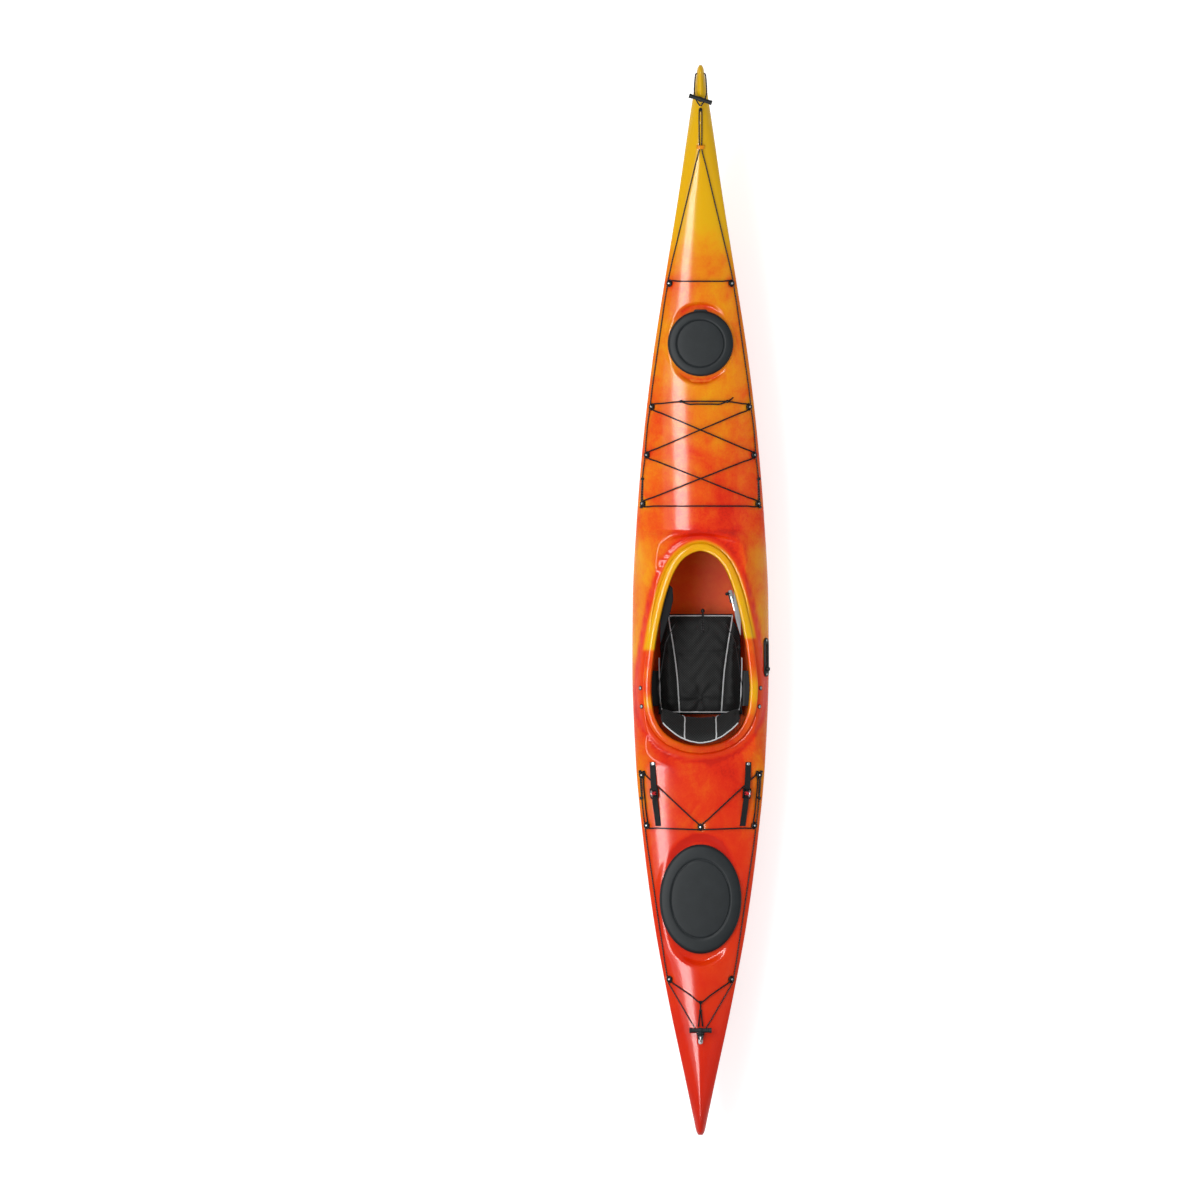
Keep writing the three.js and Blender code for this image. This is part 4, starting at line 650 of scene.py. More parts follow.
@dataclass(frozen=True)
class GrainedSurface(Finish):
    """A surface with a fine even grain, which varies its colour, gloss and height a little.

    That gives the eye the slight cloudiness of rubber, nylon, foam or brushed metal. The real grain is some
    tenths of a millimetre wide, too fine to show, and is drawn as coarse as it needs to show.
    """

    grain: float = 0.002
    depth: float = 0.00015
    variation: float = 0.12
    patch: float = 0.05

    def detail(self, tree: bpy.types.NodeTree, shader: bpy.types.Node) -> None:
        """Adds patches of paler colour and a grain.

        Args:
            tree: The material's node tree.
            shader: Its surface shader.
        """
        place = add_node(tree, "ShaderNodeTexCoord").outputs["Object"]
        patches = add_node(tree, "ShaderNodeTexNoise", {"Scale": 1 / self.patch, "Detail": 5.0},
                           {"Vector": place})
        low = linear(self.colour)
        high = tuple(min(1.0, c * (1 + 4 * self.variation)) for c in low)
        ramp = add_node(tree, "ShaderNodeValToRGB", {"stops": [(0.3, low), (0.75, high)]},
                        {"Fac": patches.outputs["Fac"]})
        tree.links.new(ramp.outputs["Color"], shader.inputs["Base Color"])
        grains = add_node(tree, "ShaderNodeTexNoise", {"Scale": 1 / self.grain, "Detail": 3.0},
                          {"Vector": place})
        rough = add_node(tree, "ShaderNodeMapRange",
                         {"To Min": self.roughness * (1 - self.variation),
                          "To Max": self.roughness * (1 + self.variation)}, {"Value": patches.outputs["Fac"]})
        tree.links.new(rough.outputs["Result"], shader.inputs["Roughness"])
        relief = add_node(tree, "ShaderNodeBump", {"Strength": 0.5, "Distance": self.depth},
                        {"Height": grains.outputs["Fac"]})
        tree.links.new(relief.outputs["Normal"], shader.inputs["Normal"])


@dataclass(frozen=True)
class BraidedCord(Finish):
    """Polyester yarns braided in a tube, with pale tracer yarns among the black ones.

    That gives short light flecks that wind round the cord, on a matt black body.
    """

    fleck: str = "#b9b9b4"
    pitch: float = 0.014
    strands: float = 4.0
    share: float = 0.3
    plait_depth: float = 0.0004

    def detail(self, tree: bpy.types.NodeTree, shader: bpy.types.Node) -> None:
        """Adds the braid's plaits and its pale yarns, from each point's place along and around the cord.

        Args:
            tree: The material's node tree.
            shader: Its surface shader.
        """
        along = add_node(tree, "ShaderNodeAttribute", {"attribute_name": "along"}).outputs["Fac"]
        around = add_node(tree, "ShaderNodeAttribute", {"attribute_name": "around"}).outputs["Fac"]
        turns = add_node(tree, "ShaderNodeMath", {"operation": "MULTIPLY", 1: 1 / self.pitch}, {0: along})
        waves = []
        for side in (1, -1):
            lean = add_node(tree, "ShaderNodeMath", {"operation": "MULTIPLY_ADD", 1: side * self.strands},
                            {0: around, 2: turns.outputs[0]})
            angle = add_node(tree, "ShaderNodeMath", {"operation": "MULTIPLY", 1: 2 * math.pi},
                             {0: lean.outputs[0]})
            waves.append(add_node(tree, "ShaderNodeMath", {"operation": "SINE"},
                                  {0: angle.outputs[0]}).outputs[0])
        plait = add_node(tree, "ShaderNodeMath", {"operation": "MULTIPLY"}, {0: waves[0], 1: waves[1]})
        tracer = add_node(tree, "ShaderNodeMath", {"operation": "GREATER_THAN", 1: 1 - 2 * self.share},
                          {0: plait.outputs[0]})
        mix = add_node(tree, "ShaderNodeMix",
                       {"data_type": "RGBA", 6: linear(self.colour), 7: linear(self.fleck)},
                       {0: tracer.outputs[0]})
        tree.links.new(mix.outputs[2], shader.inputs["Base Color"])
        relief = add_node(tree, "ShaderNodeBump", {"Strength": 0.6, "Distance": self.plait_depth},
                          {"Height": plait.outputs[0]})
        tree.links.new(relief.outputs["Normal"], shader.inputs["Normal"])


@dataclass(frozen=True)
class WovenCloth(Finish):
    """Yarns woven square: webbing and piping at their real spacing, a seat's mesh coarser, so that it shows.

    That gives a dull ground with a fine grid of paler yarn crowns and a soft sheen at the edges.
    """

    yarn: float = 0.0035
    # The crowns' paler colour is a painted highlight on the yarn tops; grid_share scales it and patches vary
    # it
    crown: str = "#3a3b3b"
    sheen: float = 0.25
    grid_share: float = 1.0
    highlight_patch: float = 1 / 18
    yarn_depth: float = 0.0005

    def detail(self, tree: bpy.types.NodeTree, shader: bpy.types.Node) -> None:
        """Adds the grid of yarns and faint worn patches.

        Args:
            tree: The material's node tree.
            shader: Its surface shader.
        """
        shader.inputs["Sheen Weight"].default_value = self.sheen
        place = add_node(tree, "ShaderNodeTexCoord").outputs["Object"]
        split = add_node(tree, "ShaderNodeSeparateXYZ", links={"Vector": place})
        waves = []
        for axis in ("X", "Y"):
            angle = add_node(tree, "ShaderNodeMath", {"operation": "MULTIPLY", 1: 2 * math.pi / self.yarn},
                             {0: split.outputs[axis]})
            waves.append(add_node(tree, "ShaderNodeMath", {"operation": "SINE"},
                                  {0: angle.outputs[0]}).outputs[0])
        grid = add_node(tree, "ShaderNodeMath", {"operation": "MULTIPLY"}, {0: waves[0], 1: waves[1]})
        highlight_patch = add_node(tree, "ShaderNodeTexNoise", {"Scale": 1 / self.highlight_patch, "Detail": 6.0, "Roughness": 0.65},
                        {"Vector": place})
        share = add_node(tree, "ShaderNodeMath", {"operation": "MULTIPLY"},
                         {0: grid.outputs[0], 1: highlight_patch.outputs["Fac"]})
        strong = add_node(tree, "ShaderNodeMath",
                          {"operation": "MULTIPLY", 1: self.grid_share, "use_clamp": True},
                          {0: share.outputs[0]})
        # painted highlight: the yarn crowns take the paler crown colour
        mix = add_node(tree, "ShaderNodeMix",
                       {"data_type": "RGBA", 6: linear(self.colour), 7: linear(self.crown)},
                       {0: strong.outputs[0]})
        tree.links.new(mix.outputs[2], shader.inputs["Base Color"])
        relief = add_node(tree, "ShaderNodeBump", {"Strength": 0.4, "Distance": self.yarn_depth},
                          {"Height": grid.outputs[0]})
        tree.links.new(relief.outputs["Normal"], shader.inputs["Normal"])


@dataclass(frozen=True)
class Finishes:
    """Every finish of the kayak, each named for the real material and how it was made."""

    hull: bpy.types.Material
    hull_inside: bpy.types.Material
    rubber: bpy.types.Material
    grey_plastic: bpy.types.Material
    nylon: bpy.types.Material
    line: bpy.types.Material
    bungee: bpy.types.Material
    mesh_cloth: bpy.types.Material
    piping: bpy.types.Material
    webbing: bpy.types.Material
    red_webbing: bpy.types.Material
    steel: bpy.types.Material
    foam: bpy.types.Material
    hdpe: bpy.types.Material

    @classmethod
    def make(cls) -> "Finishes":
        """Makes every material once.

        Returns:
            The finishes.
        """
        return cls(
            hull=RotomouldedPolyethylene("rotomoulded_polyethylene", "#e5640b", 0.14, ior=1.52,
                                         gloss=0.125).material(),
            # The same powder against air instead of the mould: matt and a little uneven
            hull_inside=RotomouldedPolyethylene("rotomoulded_polyethylene_inside", "#e0430a", 0.62, ior=1.52,
                                                peel_depth=0.0006).material(),
            # Compression-moulded rubber: dark grey with a dull bloom and a soft wide highlight
            rubber=GrainedSurface("compression_moulded_rubber", "#202426", 0.5, grain=0.0015,
                                  variation=0.06).material(),
            # Moulded polypropylene, filled with talc: pale grey and dull
            grey_plastic=GrainedSurface("moulded_polypropylene", "#8b8e91", 0.45, grain=0.0012,
                                        variation=0.05).material(),
            # Injection-moulded nylon: near black, with the fine matt grain of a spark-eroded mould
            nylon=GrainedSurface("injection_moulded_nylon", "#161718", 0.42, grain=0.0012).material(),
            # Braided polyester: matt black with short grey flecks that wind round it
            line=BraidedCord("braided_polyester_line", "#0c0c0d", 0.75, fleck="#77777a",
                             share=0.2).material(),
            # The bungee's cover has hardly any tracer yarns, so it stays black
            bungee=BraidedCord("braided_bungee_cover", "#101011", 0.7, fleck="#232325",
                               pitch=0.009).material(),
            # Polyester mesh over foam: dull black with a faint open grid, its yarn crowns painted paler as a
            # highlight
            mesh_cloth=WovenCloth("woven_seat_mesh", "#111212", 0.7, yarn=0.011, crown="#3c3d3d",
                                  sheen=0.05).material(),
            # Woven edge binding: pale grey, which draws the seat's lines, its yarn crowns painted paler as a
            # highlight
            piping=WovenCloth("woven_piping", "#c9cbcc", 0.6, yarn=0.0016, crown="#e4e5e6",
                              sheen=0.1).material(),
            # Woven nylon webbing: dull black, its yarn crowns painted slightly paler as a highlight
            webbing=WovenCloth("woven_nylon_webbing", "#131416", 0.7, yarn=0.0022, crown="#2a2b2e",
                               sheen=0.06).material(),
            # The same weave dyed red: bright and soft, with no gloss, its yarn crowns painted brighter as a
            # highlight
            red_webbing=WovenCloth("woven_red_webbing", "#c8101c", 0.6, yarn=0.0022, crown="#e2303a",
                                   sheen=0.1).material(),
            # Turned and polished stainless steel: bright, with faint streaks
            steel=GrainedSurface("polished_stainless_steel", "#85888a", 0.3, metallic=1.0, grain=0.0008,
                                 depth=0.00003, variation=0.04).material(),
            # Closed-cell foam: matt dark grey with the pin-holes of cut cells
            foam=GrainedSurface("cut_closed_cell_foam", "#17181a", 0.9, grain=0.0018,
                                depth=0.0004).material(),
            # Sheet polyethylene, milled: black and waxy
            hdpe=GrainedSurface("milled_polyethylene_sheet", "#0f1011", 0.38, grain=0.003).material(),
        )


# The hull's lines

@dataclass(frozen=True)
class CockpitRim:
    """The cockpit's opening and the moulded rim round it."""

    length: float = 0.830
    width: float = 0.424
    front_share: float = 0.0915
    spacing: float = 0.007
    foot: float = 0.020
    reach: float = 0.033
    shoulder: float = 0.006
    shoulder_width: float = 0.036
    shares: Pairs = ((0, 0), (0.025, 0.27), (0.08, 0.47), (0.2, 0.67), (0.4, 0.86), (0.58, 0.965), (0.72, 1),
                     (0.85, 0.925), (0.94, 0.7), (0.985, 0.38), (1, 0))
    # The rim's section: how far out of the opening, and how far under its crown
    section: Pairs = ((0.0, 0.014), (0.0002, 0.008), (0.001, 0.0045), (0.003, 0.0022), (0.006, 0.0008),
                      (0.010, 0.0001), (0.014, 0.0), (0.019, 0.0007), (0.024, 0.0022), (0.028, 0.0042),
                      (0.0308, 0.0062), (0.0325, 0.0084), (0.033, 0.0105), (0.0322, 0.0122), (0.030, 0.0128),
                      (0.026, 0.0122), (0.020, 0.0112), (0.014, 0.0108), (0.0105, 0.0118), (0.0092, 0.0140))
    # The fillet from the rim's wall out to the plinth: how far out, and how far over the plinth
    fillet: Pairs = ((0.0095, 0.0045), (0.0108, 0.0024), (0.0132, 0.0009), (0.0164, 0.0002), (0.020, 0.0))

    def outline(self, half: float) -> tuple[Array, Array]:
        """The opening's outline in the plan, and the way out of it at each of its points.

        Args:
            half: Half of the hull's length.

        Returns:
            The points, and unit vectors.
        """
        front = self.front_share * half
        port = [(front - a * self.length, b * self.width / 2) for a, b in self.shares]
        ring = np.array(port + [(x, -y) for x, y in port[-2:0:-1]])
        fine = smooth_route(ring, self.spacing, closed=True)
        ahead = unit(np.roll(fine, -1, axis=0) - np.roll(fine, 1, axis=0))
        out = np.stack([ahead[:, 1], -ahead[:, 0]], axis=1)
        return fine, out


@dataclass(frozen=True)
class HatchSeat:
    """Where a hatch lies in the deck: its cover, rim and the flat platform round it."""

    at_share: float
    radius: float
    ratio: float
    height_share: float
    tilt: float
    platform_width: float
    platform_length: float
    fillet: float = 0.011
    rim_inset: float = 0.026
    rim_wall: float = 0.007
    rim_height: float = 0.015


@dataclass(frozen=True)
class HullLines:
    """The sizes of the moulded hull, and the places of points on its deck and bottom."""

    length: float = 4.570
    beam: float = 0.584
    depth: float = 0.316
    wall: float = 0.005
    lift: float = 0.0547
    plinth_front: float = 0.133
    plinth_rear: float = 0.118
    rim_rise: float = 0.020
    crease: float = 0.004
    beams: Pairs = ((-1, 0.03), (-0.995, 0.056), (-0.97, 0.1), (-0.9, 0.215), (-0.75, 0.465), (-0.6, 0.682),
                    (-0.45, 0.838), (-0.3, 0.948), (-0.12, 1), (0, 0.993), (0.15, 0.934), (0.3, 0.838),
                    (0.45, 0.7), (0.6, 0.52), (0.75, 0.33), (0.9, 0.16), (0.972, 0.0735), (0.983, 0.06),
                    (0.994, 0.045), (1, 0.018))
    keels: Pairs = ((-1, 0.74), (-0.993, 0.633), (-0.979, 0.554), (-0.9645, 0.418), (-0.959, 0.332),
                    (-0.948, 0.209), (-0.935, 0.176), (-0.88, 0.149), (-0.71, 0.108), (-0.54, 0.054),
                    (-0.43, 0.027), (-0.29, 0.003), (-0.15, 0), (0, 0.003), (0.16, 0.014), (0.355, 0.04),
                    (0.523, 0.067), (0.636, 0.108), (0.69, 0.149), (0.748, 0.203), (0.776, 0.256),
                    (0.804, 0.31), (0.86, 0.513), (0.916, 0.756), (0.972, 1.013), (0.983, 1.054),
                    (0.994, 1.11), (1, 1.2))
    gunwales: Pairs = ((-1, 0.775), (-0.98, 0.76), (-0.9, 0.73), (-0.77, 0.675), (-0.6, 0.6), (-0.45, 0.582),
                       (-0.25, 0.59), (-0.09, 0.563), (0, 0.574), (0.08, 0.595), (0.2, 0.648), (0.3, 0.675),
                       (0.4, 0.7), (0.54, 0.747), (0.64, 0.81), (0.71, 0.84), (0.81, 0.9), (0.89, 0.973),
                       (0.972, 1.14), (0.994, 1.2), (1, 1.21))
    ridges: Pairs = ((-1, 0.8), (-0.995, 0.87), (-0.965, 0.892), (-0.907, 0.864), (-0.794, 0.824),
                     (-0.682, 0.785), (-0.64, 0.735), (-0.43, 0.744), (-0.318, 0.77), (-0.26, 1.06),
                     (-0.2, 1.24), (-0.05, 1.27), (0.06, 1.27), (0.118, 1.1), (0.133, 1), (0.16, 1),
                     (0.27, 0.973), (0.411, 0.918), (0.5, 0.91), (0.636, 0.946), (0.748, 0.973), (0.776, 1),
                     (0.832, 1.066), (0.888, 1.136), (0.944, 1.21), (0.972, 1.28), (0.983, 1.297),
                     (0.992, 1.297), (0.998, 1.26), (1, 1.22))
    bottom_rounds: Pairs = ((-1, 1.1), (-0.8, 1.5), (-0.45, 2.3), (0.2, 2.4), (0.6, 1.7), (0.9, 1.15),
                            (1, 1.1))
    deck_rounds: Pairs = ((-1, 1.5), (-0.7, 1.55), (-0.6, 2.1), (-0.32, 2.1), (-0.24, 1.5), (0.1, 1.5),
                          (0.14, 1.65), (0.5, 1.7), (1, 1.5))
    vees: Pairs = ((-1, 0.6), (-0.5, 0.3), (0, 0.14), (0.4, 0.2), (0.9, 0.6), (1, 0.6))
    rims: Pairs = ((-0.36, 1.1), (-0.318, 0.834), (-0.29, 0.824), (-0.262, 0.851), (-0.234, 0.885),
                   (-0.15, 0.9335), (-0.093, 0.959), (-0.037, 1), (0.0187, 1.041), (0.047, 1.054),
                   (0.075, 1.04), (0.1, 1.015), (0.118, 1))
    rim: CockpitRim = CockpitRim()
    step_bow: float = 0.034
    step_half: float = 0.155
    hatches: tuple[HatchSeat, ...] = (
        HatchSeat(0.4795, 0.140, 1.0, 0.86, 0.0, 0.292, 0.342),
        HatchSeat(-0.559, 0.175, 1.334, 0.703, 1.2, 0.356, 0.551, 0.019))

    def table(self, name: str) -> Callable[[Array | float], Array]:
        """The smooth curve through one of the tables of shares."""
        return self.curves[name]

    @cached_property
    def curves(self) -> dict[str, Callable]:
        """The smooth curve through each table of shares."""
        names = ("beams", "keels", "gunwales", "ridges", "bottom_rounds", "deck_rounds", "vees", "rims")
        return {name: through_points(getattr(self, name)) for name in names}

    @cached_property
    def opening(self) -> Array:
        """The outline of the cockpit's opening in the plan."""
        return self.rim.outline(self.half)[0]

    @cached_property
    def out_of_opening(self) -> Array:
        """The way out of the cockpit's opening at each point of its outline."""
        return self.rim.outline(self.half)[1]

    def from_opening(self, x: Array, y: Array) -> Array:
        """How far points near the cockpit lie from the edge of its opening, in the plan.

        Args:
            x: Places along the hull.
            y: Places across the hull.

        Returns:
            The distances, and half the hull's length for points far off.
        """
        x, y = np.broadcast_arrays(np.asarray(x, float), np.asarray(y, float))
        away = np.full(x.shape, self.half)
        rear, front = self.opening[:, 0].min(), self.opening[:, 0].max()
        near = (x > rear - 3 * self.rim.reach) & (x < front + 3 * self.rim.reach)
        if near.any():
            gap = np.stack([x[near], y[near]], axis=-1)[:, None] - self.opening[None]
            nearest = (gap ** 2).sum(axis=-1).argmin(axis=-1)
            closest = gap[np.arange(len(nearest)), nearest]
            away[near] = np.abs((closest * self.out_of_opening[nearest]).sum(axis=-1))
        return away

    @property
    def half(self) -> float:
        """Half of the length."""
        return self.length / 2

    def half_beam(self, x: Array | float) -> Array:
        """Half of the breadth at a place along the hull."""
        return self.table("beams")(np.asarray(x) / self.half) * self.beam / 2

    def rim_top(self, x: Array | float) -> Array:
        """The height of the cockpit rim's crown."""
        return self.table("rims")(np.asarray(x) / self.half) * self.depth + self.lift

    def plinth(self, x: Array) -> Array:
        """The height of the flat that the cockpit rim stands on."""
        return self.rim_top(np.minimum(x, self.plinth_rear * self.half)) - self.rim_rise

    def hatch_plane(self, hatch: HatchSeat, x: Array) -> Array:
        """The height of a hatch's platform."""
        middle = hatch.at_share * self.half
        return hatch.height_share * self.depth + self.lift + (x - middle) * math.tan(math.radians(hatch.tilt))

    def deck(self, x: Array | float, turn: Array | float, inset: float = 0.0) -> Array:
        """Finds points of the deck.

        Args:
            x: Places along the hull.
            turn: Places across it, from -1 at the starboard gunwale to 1 at the port one.
            inset: How far the surface lies inside the outer one.

        Returns:
            The points.
        """
        x, turn = np.broadcast_arrays(np.asarray(x, float), np.asarray(turn, float))
        share = x / self.half
        angle = np.abs(turn) * math.pi / 2
        power = 2 / self.table("deck_rounds")(share)
        y = np.sign(turn) * (self.half_beam(x) - inset) * np.sin(angle) ** power
        gunwale = self.table("gunwales")(share) * self.depth + self.lift
        ridge = self.table("ridges")(share) * self.depth + self.lift - inset
        z = gunwale + (ridge - gunwale) * np.maximum(np.cos(angle), 0) ** power
        over = z - self.plinth(x) + inset
        excess = np.where(over > self.crease, over,
                          np.maximum(over + self.crease, 0) ** 2 / (4 * self.crease))
        bowed = share + self.step_bow / self.half * (y / self.step_half) ** 2
        z = z - excess * (1 - smooth(bowed, self.plinth_rear, self.plinth_front))
        rim, away = self.rim, self.from_opening(x, y)
        outer = rim.reach + rim.shoulder_width
        rising = smooth(away, rim.reach - rim.shoulder, rim.reach + 2 * rim.shoulder)
        z = z + rim.shoulder * rising * (1 - smooth(away, outer - 3 * rim.shoulder, outer))
        for hatch in self.hatches:
            z = blend(z, self.hatch_plane(hatch, x) - inset, self.on_platform(hatch, x, y))
        return np.stack([x, y, z], axis=-1)

    def oval_distance(self, hatch: HatchSeat, x: Array, y: Array) -> Array:
        """How far points lie outside a hatch's platform.

        Args:
            hatch: The hatch's place and sizes.
            x: Places along the hull.
            y: Places across the hull.

        Returns:
            The distances, below zero inside.
        """
        a, b = hatch.platform_length / 2, hatch.platform_width / 2
        along = x - hatch.at_share * self.half
        reach = np.hypot(along / a, y / b)
        return reach * (reach - 1) / np.maximum(np.hypot(along / a ** 2, y / b ** 2), SMALL)

    def on_platform(self, hatch: HatchSeat, x: Array, y: Array) -> Array:
        """How much of a hatch's flat platform shows at a point, from none to all."""
        return 1 - smooth(self.oval_distance(hatch, x, y), -hatch.fillet, hatch.fillet)

    def bottom(self, x: Array | float, turn: Array | float, inset: float = 0.0) -> Array:
        """Finds points of the hull's bottom.

        Args:
            x: Places along the hull.
            turn: Places across it, from -1 and 1 at the gunwales to 0 at the keel.
            inset: How far the surface lies inside the outer one.

        Returns:
            The points.
        """
        x, turn = np.broadcast_arrays(np.asarray(x, float), np.asarray(turn, float))
        share = x / self.half
        angle = np.abs(turn) * math.pi / 2
        power = 2 / self.table("bottom_rounds")(share)
        vee = self.table("vees")(share)
        out = np.sin(angle) ** power
        up = 1 - np.maximum(np.cos(angle), 0) ** power
        keel = self.table("keels")(share) * self.depth + self.lift + inset
        gunwale = self.table("gunwales")(share) * self.depth + self.lift
        return np.stack([x, np.sign(turn) * (self.half_beam(x) - inset) * out,
                         keel + (gunwale - keel) * (vee * out + (1 - vee) * up)], axis=-1)

    def turn_at(self, x: Array | float, y: Array | float, rounds: str = "deck_rounds") -> Array:
        """The place across the deck or the bottom, from -1 to 1, that lies over or under the plan.

        Args:
            x: Places along the hull.
            y: Places across the hull, in the plan.
            rounds: The table of roundness: deck_rounds or bottom_rounds.

        Returns:
            The places across the surface.
        """
        reach = np.clip(np.abs(y) / self.half_beam(x), 0, 1)
        power = self.table(rounds)(np.asarray(x) / self.half) / 2
        return np.sign(y) * np.arcsin(reach ** power) / (math.pi / 2)

    def deck_over(self, x: Array | float, y: Array | float, inset: float = 0.0) -> Array:
        """The points of the deck over places in the plan."""
        return self.deck(x, self.turn_at(x, y), inset)

    def edge_slope(self, x: float) -> float:
        """How fast the hull widens towards the bow."""
        step = 0.01 * self.half
        return float(self.half_beam(x + step) - self.half_beam(x - step)) / (2 * step)

    def hatch_ring(self, hatch: HatchSeat, radius: float) -> tuple[Array, Array]:
        """Places along and across the hull of a ring about a hatch's middle."""
        ring = oval(2 * radius * hatch.ratio, 2 * radius, 96)
        return ring[:, 0] + hatch.at_share * self.half, ring[:, 1]

    def on_deck(self, x: Array | float, y: Array | float) -> tuple[Array, Array]:
        """Finds the deck over points in the plan.

        Args:
            x: Places along the hull.
            y: Places to port of the keel.

        Returns:
            The points of the deck and its normals there.
        """
        step = self.wall / 2
        x, y = np.broadcast_arrays(np.asarray(x, float), np.asarray(y, float))
        ahead = self.deck_over(x + step, y) - self.deck_over(x - step, y)
        side = self.deck_over(x, y + step) - self.deck_over(x, y - step)
        return self.deck_over(x, y), unit(np.cross(ahead, side))

    def seat_at(self, x: float, y: float, along: tuple[float, float, float] = (1, 0, 0)) -> Matrix:
        """The frame of something seated on the deck: x along the hull, z out of the surface."""
        point, normal = self.on_deck(x, y)
        return frame_from(point, normal, np.array(along, float))


def frame_from(point: Array, normal: Array, along: Array) -> Matrix:
    """A frame at a point, with z along the normal and x as near as can be to along.

    Args:
        point: The origin.
        normal: The way of z, one long.
        along: The way that x leans to.

    Returns:
        The frame.
    """
    side = unit(np.cross(normal, along))
    ahead = unit(np.cross(side, normal))
    made = Matrix(np.stack([ahead, side, normal], axis=1).tolist()).to_4x4()
    made.translation = Vector(point.tolist())
    return made


def oblong_distance(u: Array, v: Array, length: float, width: float) -> Array:
    """How far points lie outside a slot-shaped outline, long in u."""
    straight = (length - width) / 2
    return np.hypot(np.maximum(np.abs(u) - straight, 0), v) - width / 2


def oblong(length: float, width: float, steps: int = 12) -> Array:
    """The points of a slot-shaped outline, long in x.

    Args:
        length: The size in x.
        width: The size in y.
        steps: How many stretches each end has.

    Returns:
        The points in order.
    """
    points = []
    for side in (1, -1):
        for i in range(steps + 1):
            angle = math.pi * i / steps - math.pi / 2
            points.append((side * (length / 2 - width / 2 + width / 2 * math.cos(angle)),
                           side * width / 2 * math.sin(angle)))
    return np.array(points)


def oval(length: float, width: float, steps: int) -> Array:
    """The points of an oval outline, long in x."""
    angle = np.arange(steps) * 2 * math.pi / steps
    return np.stack([length / 2 * np.cos(angle), width / 2 * np.sin(angle)], axis=1)


@dataclass(frozen=True)
class ClipPlan:
    """The sizes and places of the deck's clips."""

    width: float = 0.025
    height: float = 0.012
    depth: float = 0.014
    hole: float = 0.0038
    spread: float = 0.0074
    rise: float = 0.0068
    screw: float = 0.0042
    screw_height: float = 0.0016
    pocket_length: float = 0.038
    pocket_depth: float = 0.0024
    inset: float = 0.023
    clearance: float = 0.0003
    bungee: float = 0.003
    centre_share: float = -0.4245
    places: tuple[tuple[str, float], ...] = (
        ("bow", 0.592), ("forward", 0.361), ("middle", 0.271), ("cockpit", 0.18), ("seat", -0.327),
        ("reardeck", -0.4215), ("stern", -0.709))

    def frames(self, hull: HullLines) -> dict[str, Matrix]:
        """The frame of every clip on the deck, by name.

        Args:
            hull: The hull's lines.

        Returns:
            The frames, with x ahead along the edge and z off the deck.
        """
        found = {}
        for name, share in self.places:
            x = share * hull.half
            for side_name, side in (("port", 1), ("starboard", -1)):
                y = side * (float(hull.half_beam(x)) - self.inset)
                found[f"{name}_{side_name}"] = hull.seat_at(x, y, (1, side * hull.edge_slope(x), 0))
        found["centre"] = hull.seat_at(self.centre_share * hull.half, 0)
        return found

    @property
    def base(self) -> float:
        """The height of a clip's underside in its pocket."""
        return self.clearance - self.pocket_depth

    @property
    def cord_height(self) -> float:
        """The height of a clip's cord holes."""
        return self.base + self.rise


# The moulded shell

